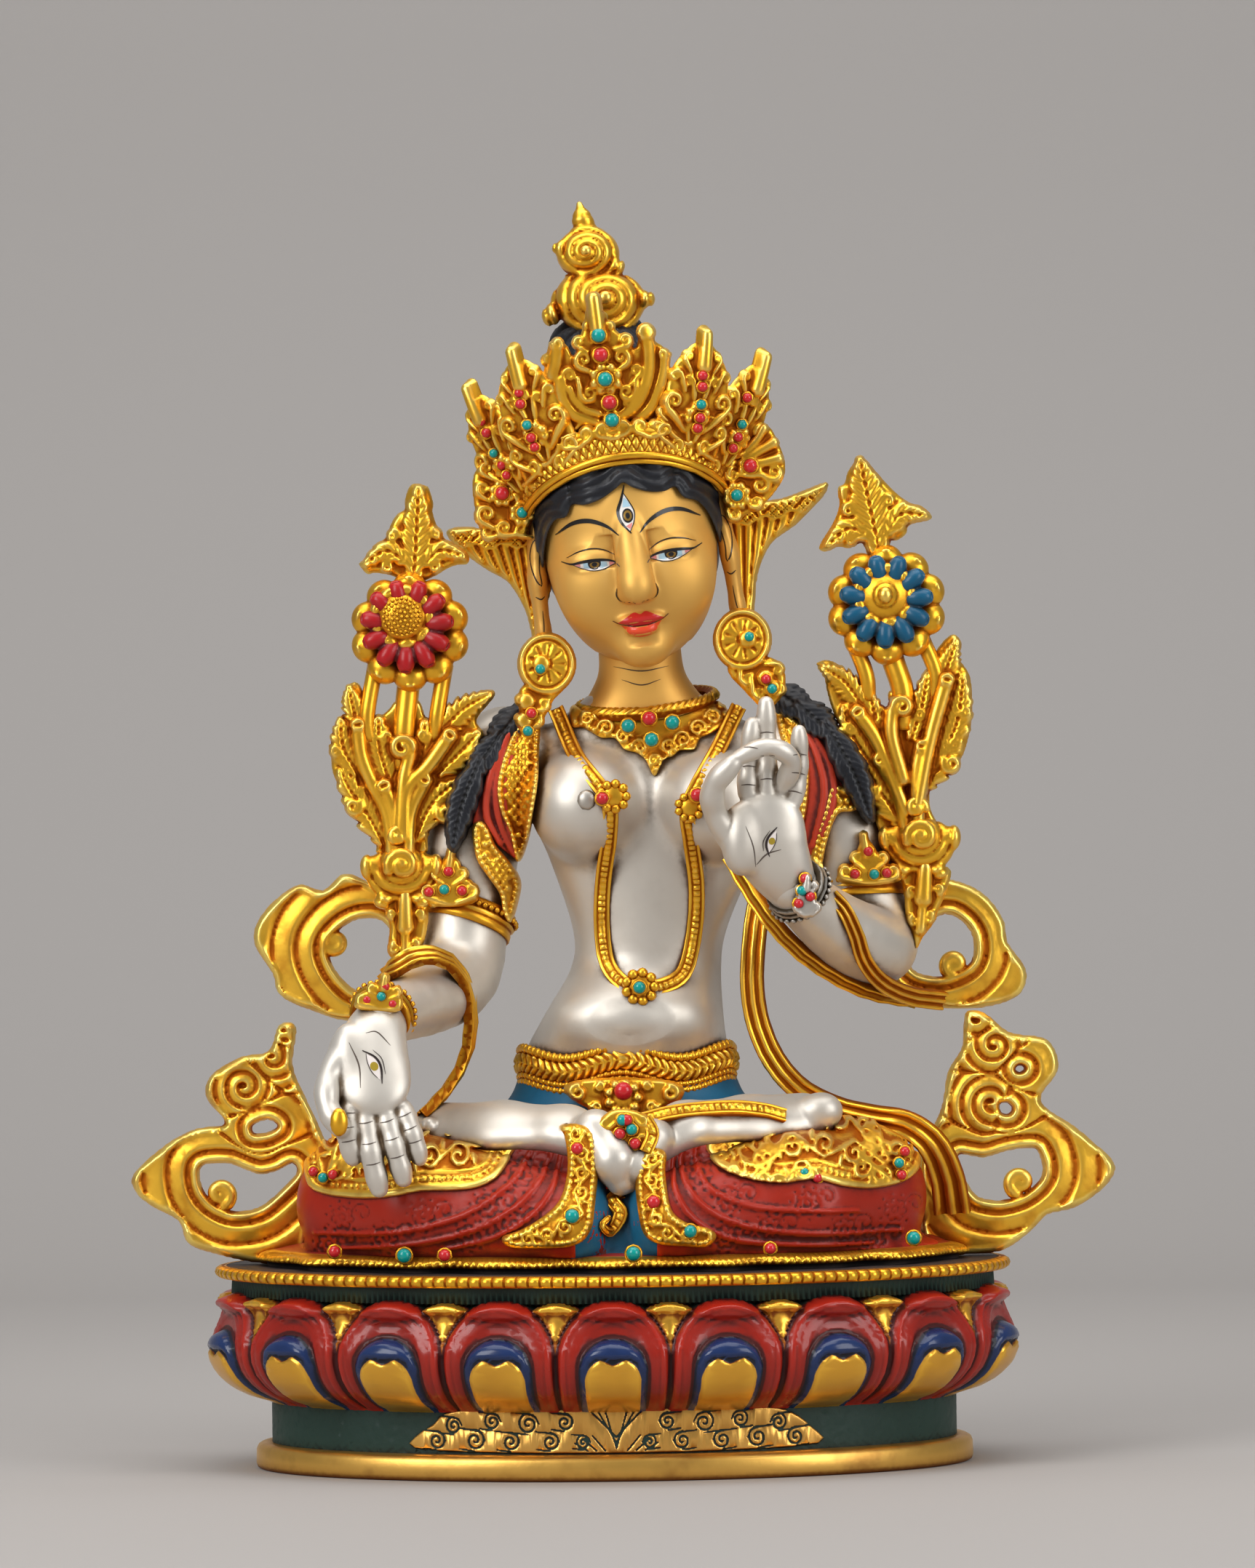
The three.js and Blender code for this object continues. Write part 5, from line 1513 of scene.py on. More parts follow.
def on_crown(t, out, lift):
    """Places round the head above the crown band."""
    low = 32 - 19 * (1 - np.cos(t))
    low = np.where(np.abs(t) > 1.57, 13 - 9 * (np.abs(t) - 1.57), low)
    return in_head(np.stack([(28 + out) * np.sin(t), -(24 + out) * np.cos(t) + 1.5, low + lift], 1))


work = Relief((-56, -1), (56, 12.5), 0.36)
work.shape([(-50, 0), (-50, 5), (50, 5), (50, 0)], 0.3, 1)
for k, s in enumerate(np.arange(-50, 51, 4.7)):
    hand = 1 if k % 2 else -1
    work.scroll((s - 3.6 * hand, 0.8), s, 4.2, 2.8, hand, 0.8)
    if 12 < abs(s + 2.3) < 50:
        work.scroll((s + 2.3 + 2.4 * hand, 4.4), s + 2.3, 8.6, 2.5, -hand, 0.6)
cast(
    "crown_scrollwork", work.clay(0, 1.0), gilt,
    place=lambda p: on_crown(p[:, 0] / 27.0, -0.6 - p[:, 1] + 0.12 * p[:, 2], p[:, 2])
)

side_work = {
    "right": (
        [
            (-35, 214), (-34.5, 203), (-32, 197.5), (-24, 196.5), (-19.5, 201), (-20.5, 207), (-25, 213),
            (-29, 218.5)
        ],
        [
            (-29, 199, -31.6, 203.2, 3.2, -1), (-30.6, 206.4, -32.4, 210, 2.4, -1),
            (-25.4, 212.6, -27.4, 215.4, 2.3, 1), (-22.6, 205.6, -23.6, 209.2, 2.4, 1),
            (-22.6, 197.4, -26.8, 199.4, 2.7, -1), (-27.4, 197.6, -31.2, 198.2, 2.2, -1),
            (-19.6, 196.8, -22.2, 198.8, 2.1, -1), (-28.6, 212, -31.4, 215.6, 2.3, -1)
        ],
        [], [(-27.3, 208.7, 3.4), (-21.9, 203.4, 3.4)]
    ),
    "left": (
        [
            (31.5, 218.5), (38, 221), (44, 226.5), (47.5, 222), (49.5, 214), (45.5, 207), (40, 203),
            (34, 200.5), (32.5, 207)
        ],
        [
            (37, 213, 42.6, 210.2, 3.2, -1), (41.6, 214.4, 46.4, 213.6, 2.8, 1),
            (36.4, 217, 35.2, 213, 2.4, 1), (38.6, 205.8, 41.4, 205.6, 2.3, 1),
            (33.6, 203.6, 35.8, 202.4, 2.2, 1), (33, 211.4, 33.4, 217.4, 2.3, 1)
        ],
        [
            ([(38, 218.6), (41.6, 222.2), (43.6, 225.6)], 1.5),
            ([(38.6, 217), (42.6, 219.4), (46.4, 221.6)], 1.6),
            ([(39.4, 215.4), (43.6, 216.2), (47.6, 217.2)], 1.6)
        ],
        [(39.9, 215.3, 3.2), (36.2, 207.4, 3.6)]
    )
}
for name, (edge, coils, tubes, bosses) in side_work.items():
    spread = np.array(edge)
    work = Relief(spread.min(0) - 5, spread.max(0) + 5, 0.32)
    work.shape(edge, 0.5)
    for path, wide in tubes:
        work.tube(smooth(path, 6), wide, 1.2)
    for from_x, from_z, x, z, r, hand in coils:
        work.scroll((from_x, from_z), x, z, 1.12 * r, hand, 1.1)
    for x, z, r in bosses:
        rosette_on(work, x, z, r)
    cast("crown_side_" + name, work.clay(-9, 6.0), gilt)

trim = Heap()
edge_turn = np.linspace(-2.05, 2.05, 60)
outward = np.stack([np.sin(edge_turn), -np.cos(edge_turn), np.full(60, 0.15)], 1) @ np.array(tilt).T


def lattice(s, v):
    crossed = np.minimum(np.abs(np.sin((s + 2.2 * v) * 1.35)), np.abs(np.sin((s - 2.2 * v) * 1.35)))
    roll = np.sqrt(np.clip(1 - ((np.abs(v) - 0.77) / 0.23) ** 2, 0, 1))
    return np.where(np.abs(v) < 0.53, 0.25 + 0.7 * np.clip(crossed / 0.6, 0, 1), 0.3 + 0.9 * roll)


band(trim, on_crown(edge_turn, 0.3, -0.4), outward, 4.3, lattice, 0.25, 37)
sweep(trim, on_crown(edge_turn, 0.4, -5.3), rounded(8, 0.9, 0.9), outward)

# Ornament at the bun
jewel = Clay((-18, -13, 245), (20, 18, 290.5), 0.45)
jewel.add([ball((-0.7, 2, 261.2), (13.0, 10.0, 9.0)), ball((0.6, 2, 255.0), (8.4, 8.5, 4.8))], 3)
jewel.add([ball((-3.4, 2, 274), (8.9, 8.0, 7.4))], 2)
jewel.add([
    ball((-13.6, 0, 257.5), (2.6, 4, 3.2)), ball((12.4, 0, 261.5), (2.4, 4, 2.6)),
    ball((-11, 0, 275.5), (2.2, 3, 2.4)), ball((4.2, 0, 270.5), (2.6, 3.4, 2.6))
], 1)
jewel.add(limb([(-3.5, 2, 279, 4.4), (-4.8, 1.6, 283.6, 3.2), (-5.6, 2, 288, 1.4)]), 1.5)
x, y, z = np.meshgrid(*jewel.axes(), indexing="ij", sparse=True)
lower_ball = z < 268.2
cx, cz = np.where(lower_ball, 1.2, -3.9), np.where(lower_ball, 261.6, 274.4)
pitch = np.where(lower_ball, 3.0, 2.4)
turned = np.hypot(x - cx, (z - cz) * 1.12) / pitch + np.arctan2(z - cz, x - cx) / TAU
coil = np.sqrt(np.abs(np.sin(math.pi * turned)))
jewel.d = jewel.d + (0.9 - 0.9 * coil * np.where(z > 281, 0.3, 1)).astype(np.float32) * (y < 8)
jewel.add([ball((-3.9, -7.4, 274.4), (1.5, 1.2, 1.5)), ball((1.2, -9, 261.6), (1.8, 1.2, 1.8))], 0.3)
cast("topknot_ornament", jewel, gilt, replaced=["topknot_jewel"])


# Scrolls of the scarf
def winding(openings, eyes):
    """Folds that run round each opening, broader outwards, and wind into each eye (x, z, size, hand)."""
    spacing, depth = 3.3, 2.3

    def relief(x, z, inside):
        fields = []
        for loop in openings:
            far = np.abs(region([loop], x, z, 5))
            fields.append((far, (far / spacing) ** 0.72))
        for cx, cz, size, hand in eyes:
            far = np.hypot(x - cx, z - cz)
            turned = np.clip(far / spacing - hand * np.arctan2(z - cz, x - cx) / TAU, 0, None)
            fields.append((np.maximum(far - size, 0) + 0.25 * np.minimum(far, size), turned))
        nearest, second = np.full(x.shape, 1e6), np.full(x.shape, 1e6)
        phase = np.zeros(x.shape)
        for far, turned in fields:
            closer = far < nearest
            second = np.where(closer, nearest, np.minimum(second, far))
            phase = np.where(closer, turned, phase)
            nearest = np.where(closer, far, nearest)
        fold = phase % 1
        ridges = np.sqrt(np.clip(fold / 0.3, 0, 1)) * (1 - 0.62 * fold**1.5)
        seam = np.clip(1 - (second - nearest) / 0.9, 0, 1)
        lip = 0.5 * np.clip(1 - np.abs(inside - 1.2) / 1.2, 0, 1)
        return depth * (ridges - 1) - 0.9 * seam + lip

    return relief


scrolls = {
    "elbow_scroll_right": (
        10,
        [
            (-64, 103), (-72, 106), (-78, 101.5), (-85, 103), (-94, 96), (-97, 88), (-92, 79), (-90, 73),
            (-82, 69), (-70, 66), (-60, 73), (-52, 82), (-46, 86), (-46, 96)
        ],
        [[(-62, 93), (-70, 93), (-76.5, 87), (-75, 80), (-69, 74), (-63, 75.5), (-57, 84)]], [],
        (-74.9, 87.4, 3.0, 150, 1)
    ),
    "elbow_scroll_left": (
        10,
        [
            (84, 103), (95, 102), (103, 98), (108, 91), (109, 85), (114, 77), (111, 70), (98, 67), (84, 69),
            (73, 75), (66, 80), (66, 92), (74, 100)
        ],
        [[(92, 93), (99, 88), (99, 80), (91, 76), (83, 78), (82, 86)]], [], (94.4, 79.2, 3.0, -100, -1)
    ),
    "knee_scroll_right": (
        2,
        [
            (-96, 0.4), (-108, 3), (-115.5, 6), (-118, 12), (-125, 16), (-129.5, 20), (-130, 25),
            (-121, 33), (-113, 37), (-105, 38.5), (-110, 45.5), (-108.7, 51.5), (-100.7, 56.4), (-93, 58),
            (-90, 65), (-85.5, 64.5), (-86.5, 54), (-83, 45), (-79, 36), (-76, 26), (-82, 10), (-86, 0.4)
        ],
        [
            [
                (-112.0, 22.9), (-111.3, 27.1), (-104.7, 27.7), (-100, 26), (-95.7, 24.6), (-91, 25.5),
                (-87, 27.4), (-85.6, 25), (-89.7, 20.5), (-95.7, 15.7), (-102.3, 14.4), (-107, 16),
                (-110.4, 19)
            ],
            [(-97.6, 37.8), (-93.5, 39.4), (-90.8, 37.7), (-93.2, 36.0), (-97.0, 35.6)]
        ],
        [(-88.6, 63.4, 2.0, 1), (-91.8, 56.4, 2.6, 1), (-99.6, 48.4, 3.4, 1)], (-106.6, 19.2, 3.3, -70, 1)
    ),
    "knee_scroll_left": (
        2,
        [
            (96, 0.4), (106.5, 1.5), (114.5, 7), (118.6, 11), (126.5, 13), (134.5, 18.6), (137, 24.4),
            (130.7, 31), (126, 35), (117, 42), (122, 50.6), (119, 58.5), (109, 60.6), (102, 66), (97, 66),
            (96, 57), (92, 50), (90, 40), (84, 26), (84, 10), (86, 0.4)
        ],
        [
            [
                (94.6, 27.6), (97.8, 27.3), (101.8, 26.8), (107.9, 28.5), (113.5, 29.2), (116, 28.4),
                (117.5, 23.8), (116.4, 20.2), (112, 16.6), (106.8, 15), (102.7, 15.1), (99.2, 16.4),
                (96.7, 20), (94.9, 24.1)
            ],
            [(106.0, 41), (107.8, 41.6), (109.3, 40.1), (108.4, 38.5), (106.4, 38.8)],
            [(110.4, 50.9), (111.5, 51.7), (112.8, 51), (112.0, 50), (110.8, 50)]
        ],
        [(100.1, 64.6, 2.2, -1), (104.6, 57.3, 3.0, -1), (103.6, 41.6, 3.4, 1)],
        (111.2, 19.8, 3.3, -110, -1)
    )
}
for name, (y, edge, openings, eyes, curled) in scrolls.items():
    clay = plate(edge, openings, y, 7.0, 0.5, 1.7, winding(openings, eyes))
    x, z, r, start, hand = curled
    ring = curl(x, z, r, start, 1.25, hand, 26)
    stations = [(px, y - 1.2, pz, 1.75 - 0.5 * k / len(ring)) for k, (px, pz) in enumerate(ring)]
    clay.add(limb(stations), 0.5)
    # The scroll takes the lighter copy of the gilt, a painted light.
    cast(name + "_gilt", clay, lit_gilt, replaced=[name])


# Leaves and stalks of the sprays
def coil(clay, x, z, radius, y, start, hand, thick, turns):
    """A rod that winds inward and comes forward, with a ball in its middle."""
    ring = curl(x, z, radius, start, turns, hand, 22)
    stations = []
    for k, (px, pz) in enumerate(ring):
        share = k / len(ring)
        stations.append((px, y - share, pz, thick * (1.15 - 0.35 * share)))
    clay.add(limb(stations), 0.25)
    clay.add([ball((x, y - 1.0, z), thick * 0.9)], 0.2)


SPRAY_Y = -7.0
right_spray = dict(
    name="lotus_spray_right", flower=(-52.8, 171.6), knot=(-55.9, 106.4), petals=(0.37, 0.007, 0.009),
    seeds=True,
    outer=[
        (-62.2, 111.3), (-61.7, 116.2), (-64, 121.8), (-69, 122.2), (-72.8, 130.2), (-74.5, 135.1),
        (-74.2, 144), (-70.6, 148.9), (-71.6, 153.8), (-69.1, 157.8), (-66.6, 157.3), (-64.1, 150.8),
        (-61.7, 148.8), (-58.8, 150.7), (-56.7, 153), (-50.8, 153), (-48.9, 148.6), (-45.9, 148.6),
        (-43, 149.9), (-38, 153.8), (-31.6, 155.7), (-30.1, 153.9), (-35.1, 147.5), (-33.2, 143.5),
        (-37.2, 137.6), (-39.3, 129.8), (-40.9, 122.9), (-43.9, 119.5), (-47.1, 121), (-48.7, 116),
        (-49.8, 111.1)
    ],
    stalks=[
        [(-58.3, 111), (-59.7, 122.6), (-63.5, 130.5), (-66.4, 138.3), (-67.2, 146.5)],
        [(-56.8, 112), (-57.7, 122.5), (-60.3, 129.9)], [(-54.0, 112), (-53.3, 122.5), (-49.3, 131.3)],
        [(-55.0, 116), (-54.2, 128.4), (-48.2, 135.2), (-42.3, 143.4)]
    ],
    hook=([(-55.8, 118), (-55.0, 130.4), (-53.2, 138.5)], (-55.2, 140.2, 3.4, 0, 1)),
    leaves=[
        ([(-67.2, 146), (-68.6, 151.6), (-69.6, 157)], 2.7, 6),
        ([(-67.9, 134), (-71.2, 140.4), (-72.0, 148.2)], 3.2, 5),
        ([(-61.0, 115), (-65.1, 122.6), (-69.9, 129.5), (-72.0, 134.5)], 3.6, 5),
        ([(-58.8, 130.4), (-61.4, 140.2), (-61.6, 148.5)], 3.7, 5),
        ([(-47.0, 141.5), (-39.5, 149.8), (-31.2, 154.6)], 3.3, 8),
        ([(-44.8, 134.0), (-39.4, 139.0), (-34.6, 144.0)], 3.6, 5),
        ([(-52.0, 116), (-47.4, 125.0), (-40.9, 130.6)], 3.6, 5),
        ([(-53.2, 129), (-50.0, 139), (-49.0, 147.5)], 3.1, 5)
    ],
    coils=[
        (-68.6, 124.4, 2.7, 30, -1), (-44.0, 122.2, 2.7, 150, 1), (-73.4, 139.5, 1.9, 0, -1),
        (-59.6, 143.2, 2.0, 180, 1), (-49.4, 143.4, 2.0, 0, -1), (-36, 138.8, 1.9, 180, 1)
    ],
    bud_edge=[
        (-51.9, 211.6), (-53.7, 207.8), (-53.9, 204.9), (-55.9, 203.6), (-57.7, 200.8), (-59.1, 197.2),
        (-62.0, 195.5), (-63.4, 192.3), (-66.3, 190.6), (-65.9, 189.2), (-64.2, 187.4), (-62.4, 187.7),
        (-59.6, 187.4), (-56.8, 186.6), (-52.6, 184.2), (-46.2, 186.5), (-42.6, 188.6), (-39.8, 189.6),
        (-37.0, 189.9), (-36.6, 192.0), (-38.0, 193.8), (-41.1, 195.6), (-43.2, 197.0), (-45.3, 200.6),
        (-46.3, 204.1), (-46.1, 206.3), (-47.0, 209.8), (-48.0, 211.2)
    ],
    bud=[
        ([(-51.6, 186), (-50.8, 197.0), (-49.9, 210.8)], 4.2, 5),
        ([(-54, 190.6), (-59.0, 193.6), (-65.2, 189.8)], 3.0, 4),
        ([(-48.5, 190), (-44.0, 193.6), (-37.6, 191.8)], 3.0, 4)
    ],
    bud_coils=[
        (-57.0, 197.6, 2.5, 0, 1), (-45.6, 198.0, 2.4, 180, -1), (-58.6, 189.2, 2.3, 60, 1),
        (-46.0, 189.2, 2.3, 120, -1)
    ],
    drop=[
        (-61, 100), (-60.3, 95.5), (-59.4, 91.9), (-59.6, 88.5), (-60.0, 84.8), (-57.8, 82.0), (-55, 80.6),
        (-53, 82.7), (-50.2, 87), (-49.0, 91.9), (-48.8, 95.5), (-49.2, 100)
    ],
    drop_tubes=[([(-55.0, 101), (-55.0, 91.5)], 2.1), ([(-55.0, 92), (-55.2, 84)], 1.3)],
    drop_coils=[
        (-58.0, 86.0, 2.2, 90, 1), (-52.8, 86.6, 2.2, 90, -1), (-58.6, 95.0, 2.0, -90, -1),
        (-51.2, 95.0, 2.0, -90, 1)
    ],
    tilt=(-1.9, 3.9)
)
left_spray = dict(
    name="lotus_spray_left", flower=(76.4, 177.3), knot=(84.6, 112.5), petals=(0.003, 0.08, 0.16),
    seeds=False,
    outer=[
        (76, 113), (73.7, 116), (71.4, 122.5), (67.3, 127.5), (65.4, 134.4), (66.5, 140.3), (62.6, 146.3),
        (60.3, 153.2), (59.2, 159.2), (57.3, 161.7), (60.8, 162.5), (64.8, 160.1), (68.7, 155.1),
        (72.6, 152.1), (76.9, 149.1), (76.9, 154), (83.4, 153.9), (84, 149), (86.4, 151.9), (86.9, 158.8),
        (90.5, 165.7), (94.5, 169.2), (96.8, 166.6), (96, 162.7), (98.9, 157.7), (99.4, 148.8),
        (98.5, 141.9), (96, 135), (91.1, 131.1), (88.1, 128.2), (87.6, 122.3), (90, 114)
    ],
    stalks=[
        [(81.7, 113), (78.8, 126.0), (74.2, 135.4)], [(81.0, 121), (73.8, 139.5), (68.2, 148.3)],
        [(84.4, 117), (84.0, 130.1), (85.6, 138.8)], [(84.0, 122), (87.7, 140.3), (92.5, 156.8)]
    ],
    hook=([(80.4, 130), (77.4, 141.5), (77.6, 148.5)], (80.2, 149.6, 3.0, 180, -1)),
    leaves=[
        ([(70.6, 148.4), (64.9, 156.6), (58.6, 160.6)], 3.2, 8),
        ([(71.7, 134), (66.8, 142.0), (64.6, 150.0)], 3.4, 5),
        ([(75.6, 139), (72.8, 147.8), (71.8, 153.6)], 3.1, 5),
        ([(80.2, 117.8), (74.2, 126.6), (68.7, 135.5)], 3.6, 5),
        ([(90.5, 154), (93.1, 161.4), (95.2, 167)], 3.1, 7),
        ([(90.4, 135.2), (95.2, 145.4), (96.9, 157.8)], 3.5, 6),
        ([(86.0, 128), (91.6, 135.0), (96.0, 141.3)], 3.4, 5),
        ([(83.0, 141.5), (85.8, 150.0), (87.4, 159.0)], 3.0, 5)
    ],
    coils=[
        (71.8, 126.8, 2.3, 30, -1), (93.4, 134.0, 2.9, 150, 1), (66.2, 144, 1.9, 0, -1),
        (74.4, 145.6, 1.9, 180, 1), (85.4, 147.6, 1.9, 0, -1), (97.4, 148, 1.9, 180, 1)
    ],
    bud_edge=[
        (69.5, 217.5), (67.7, 215.4), (66.3, 213.3), (65.5, 210.5), (63.8, 209.4), (63.7, 207.0),
        (64.1, 205.2), (63.3, 202.0), (61.5, 198.5), (58.6, 193.9), (58.9, 192.2), (61.1, 192.2),
        (63.2, 193.2), (64.6, 193.2), (66.7, 192.8), (70.3, 194.2), (72.0, 190.0), (76.6, 190.0),
        (76.3, 194.4), (79.5, 194.8), (82.0, 196.5), (83.1, 199.0), (89.1, 200.6), (86.6, 203.9),
        (83.1, 205.0), (78.9, 208.2), (74.4, 213.2), (71.3, 216.8)
    ],
    bud=[
        ([(74.6, 192), (72.2, 204), (69.7, 216.8)], 5.6, 4),
        ([(72.8, 194.8), (66.6, 198.2), (60.2, 193.0)], 3.2, 4),
        ([(76.0, 195.4), (80.6, 201.8), (88.0, 201.2)], 3.4, 4)
    ],
    bud_coils=[
        (66.6, 203.0, 2.6, 0, 1), (79.4, 198.4, 2.3, 180, -1), (67.4, 194.8, 2.1, 60, 1),
        (77.0, 205.4, 2.4, 180, -1)
    ],
    drop=[
        (79.7, 106), (79.8, 101.2), (80.4, 97), (80.7, 92), (82.1, 87.8), (83.5, 84.0), (85.3, 87.1),
        (88.1, 90.6), (89.8, 94.9), (91.9, 99.8), (92.3, 106)
    ],
    drop_tubes=[([(86.0, 106), (85.4, 97.5)], 2.3), ([(85.4, 97), (84.6, 89)], 1.4)],
    drop_coils=[
        (82.6, 91.6, 2.0, 90, 1), (87.0, 92.4, 2.2, 90, -1), (82.4, 99.6, 2.1, -90, -1),
        (89.4, 100.0, 2.1, -90, 1)
    ],
    tilt=(-0.6, 2.4)
)


def spray_leaves(name, outer, leaves, coils, stalks, hook):
    spread = np.array(outer)
    work = Relief(spread.min(0) - 5, spread.max(0) + 5)
    work.shape(outer, 0.8)
    for path, half, lobes in leaves:
        work.leaf(path, half * 1.25, 1.3, lobes, 1.7, 0.3)
    for x, z, r, start, hand in coils:
        work.coil(x, z, 1.2 * r, start, hand, 2.2)
    for number, path in enumerate(stalks):
        work.tube(smooth(path, 6), 1.8, 2.4 + 0.5 * number, 0.2, 1.0, end=True)
    path, (x, z, r, start, hand) = hook
    work.tube(smooth(path, 6), 2.0, 3.6)
    work.coil(x, z, 1.25 * r, start, hand, 4.4)
    cast(name + "_leaves", work.clay(SPRAY_Y + 0.6, 3.0), gilt, replaced=[name])


def spray_end(name, edge, ribs, tubes, coils, lift):
    """The palmette over the flower or the drop under the knot."""
    spread = np.array(edge)
    work = Relief(spread.min(0) - 3, spread.max(0) + 3, 0.32)
    work.shape(edge, 1.2)
    for path, half, lobes in ribs:
        work.leaf(path, half, lift + 0.4, lobes, 2.6, 0.16)
    for path, half in tubes:
        work.tube(path, half, 2.0, 0.1)
    for x, z, r, start, hand in coils:
        work.coil(x, z, r, start, hand, lift + 0.6)
    cast(name, work.clay(SPRAY_Y, 2.4, 1.6), gilt)


def spokes(count, first=0.0):
    """Ways that radiate in the front plane, each with the way across it."""
    for k in range(count):
        a = TAU * (k + first) / count
        yield np.array([math.cos(a), 0, math.sin(a)]), np.array([-math.sin(a), 0, math.cos(a)])


def flower_cup(name, root, middle, seeds):
    """Outer petals with pointed tips, inner petals and the heart of a lotus."""
    clay = Clay(root - (20, 14, 20), root + (20, 6, 20), 0.42)
    clay.add([ball(root, (13, 4.2, 13))])
    for way, across in spokes(10, 0.5):
        turn = [way, (0, 1, 0), across]
        clay.add([ball(root - (0, 1.6, 0) + 12.2 * way, (4.2, 4.0, 4.6), turn)], 0.35)
        clay.add([ball(root - (0, 4.6, 0) + 14.6 * way, (0.6, 1.0, 1.5), turn)], 0.3)
    clay.add([ball(middle - (0, 5.0, 0), (8.8, 5.2, 8.8))], 0.3)
    for way, across in spokes(9):
        turn = [across, (0, 1, 0), way]
        clay.add([ball(middle - (0, 7.6, 0) + 7.3 * way, (2.7, 2.0, 1.6), turn)], 0.25)
        clay.cut([ball(middle - (0, 9.9, 0) + 7.4 * way, (1.5, 0.8, 0.3), turn)], 0.2)
    if seeds:
        clay.add([ball(middle - (0, 8.6, 0), (6.2, 2.9, 6.2))], 0.3)
    else:
        clay.add([ball(middle - (0, 7.8, 0), (6.4, 2.6, 6.4))], 0.4)
        for r, deep in ((4.6, 9.4), (3.2, 10.6)):
            clay.add([ball(middle - (0, deep, 0), (r, 1.2, 1.05 * r))], 0.15)
        clay.add([ball(middle - (0, 11.8, 0), (1.9, 1.7, 2.3))], 0.2)
    cast(name + "_flower", clay, gilt)


def flower_petals(name, root, lean, colour):
    """Painted petals between the outer and the inner gilt ones."""
    clay = Clay(root - (17, 12, 17), root + (17, 2, 17), 0.42)
    heart = root + (0.35 * lean[0], -4.4, 0.35 * lean[1])
    for k in range(11):
        a = TAU * k / 11 + 0.1
        way = np.array([math.cos(a), -0.3, math.sin(a)])
        way /= np.linalg.norm(way)
        out = np.array([-math.sin(a), 0, math.cos(a)])
        turn = [way, np.cross(way, out), out]
        clay.add([ball(heart + 8.8 * way, (4.8, 3.2, 2.75), turn)], 0.1)
        clay.cut([ball(heart + 14.2 * way, (1.6, 1.7, 1.9), turn)], 0.3)
        clay.cut([ball(heart + 12.6 * way, (1.6, 0.5, 1.2), turn)], 0.2)
    shade = tuple(0.25 * c for c in colour)
    paint = finish(name + "_paint", colour, shade, rough=0.38, coat=0.15, mottle=0.25, shade_and_grime_gain=1.4)
    cast(name + "_petals", clay, paint)


def flower_seeds(name, middle):
    """Beads in rings over the domed heart."""
    grain = Heap()
    for ring, count in ((0, 1), (1.4, 7), (2.7, 13), (4.0, 19), (5.0, 24)):
        lift = 2.9 * math.sqrt(max(0, 1 - (ring / 6.2) ** 2))
        for k in range(count):
            a = TAU * k / count
            bead(grain, middle + (ring * math.cos(a), -8.7 - lift, ring * math.sin(a)), 0.55)
    grain.build(name + "_seeds", gilt)


def spray_knot(name, x, z):
    clay = Clay((x - 14, SPRAY_Y - 12, z - 13), (x + 14, SPRAY_Y + 6, z + 15), 0.42)
    clay.add([ball((x, SPRAY_Y, z - 0.5), (9.6, 5.6, 8.0))])
    clay.add([ball((x + s * 8.8, SPRAY_Y - 1, z + 1.5), (2.8, 3.2, 3.6)) for s in (-1, 1)], 0.8)
    clay.add([ball((x + s * 5, SPRAY_Y - 1, z - 7.6), (2.8, 3.2, 2.4)) for s in (-1, 1)], 0.8)
    cell_x, _, cell_z = np.meshgrid(*clay.axes(), indexing="ij", sparse=True)
    rings = np.sqrt(np.abs(np.sin(math.pi * np.hypot(cell_x - x, cell_z - z - 2.4) / 2.9)))
    clay.d = clay.d + (0.8 - 0.8 * rings).astype(np.float32)
    coil(clay, x + 0.3, z + 2.0, 3.9, SPRAY_Y - 5.6, 200, -1, 1.35, 1.5)
    coil(clay, x - 0.8, z + 9.6, 2.5, SPRAY_Y - 3.4, 0, 1, 1.15, 1.35)
    cast(name + "_knot", clay, gilt)


def spray_stems(name, x, z, flower_x, flower_z):
    """Rods from the hook at x, z up to the flower."""
    rods = Heap()
    top = [
        (x, SPRAY_Y + 0.4, z - 6), (x + 0.4, SPRAY_Y - 0.4, z + 4), (0.5 * (x + flower_x), SPRAY_Y, z + 12),
        (flower_x, SPRAY_Y + 1, flower_z - 9)
    ]
    sweep(rods, smooth(top, 5), rounded(12, 3.1, 3.1), (0, -1, 0))
    for hand in (-1, 1):
        small = [
            (x + 9 * hand, SPRAY_Y, z + 2), (x + 9.5 * hand, SPRAY_Y - 1, z + 9),
            (flower_x + 9.5 * hand, SPRAY_Y, flower_z - 9)
        ]
        sweep(rods, smooth(small, 4), rounded(10, 2.2, 2.2), (0, -1, 0))
    rods.build(name + "_stems", gilt)


for parts in (right_spray, left_spray):
    name = parts["name"]
    spray_leaves(name, parts["outer"], parts["leaves"], parts["coils"], parts["stalks"], parts["hook"])
    spray_end(name + "_bud", parts["bud_edge"], parts["bud"], (), parts["bud_coils"], 1.4)
    spray_end(name + "_drop", parts["drop"], (), parts["drop_tubes"], parts["drop_coils"], 1.2)
    flower_x, flower_z = parts["flower"]
    lean = parts["tilt"]
    root = np.array([flower_x, SPRAY_Y, flower_z])
    middle = np.array([flower_x + lean[0], SPRAY_Y, flower_z + lean[1]])
    flower_cup(name, root, middle, parts["seeds"])
    flower_petals(name, root, lean, parts["petals"])
    if parts["seeds"]:
        flower_seeds(name, middle)
    spray_knot(name, *parts["knot"])
    spray_stems(name, *parts["hook"][1][:2], flower_x, flower_z)

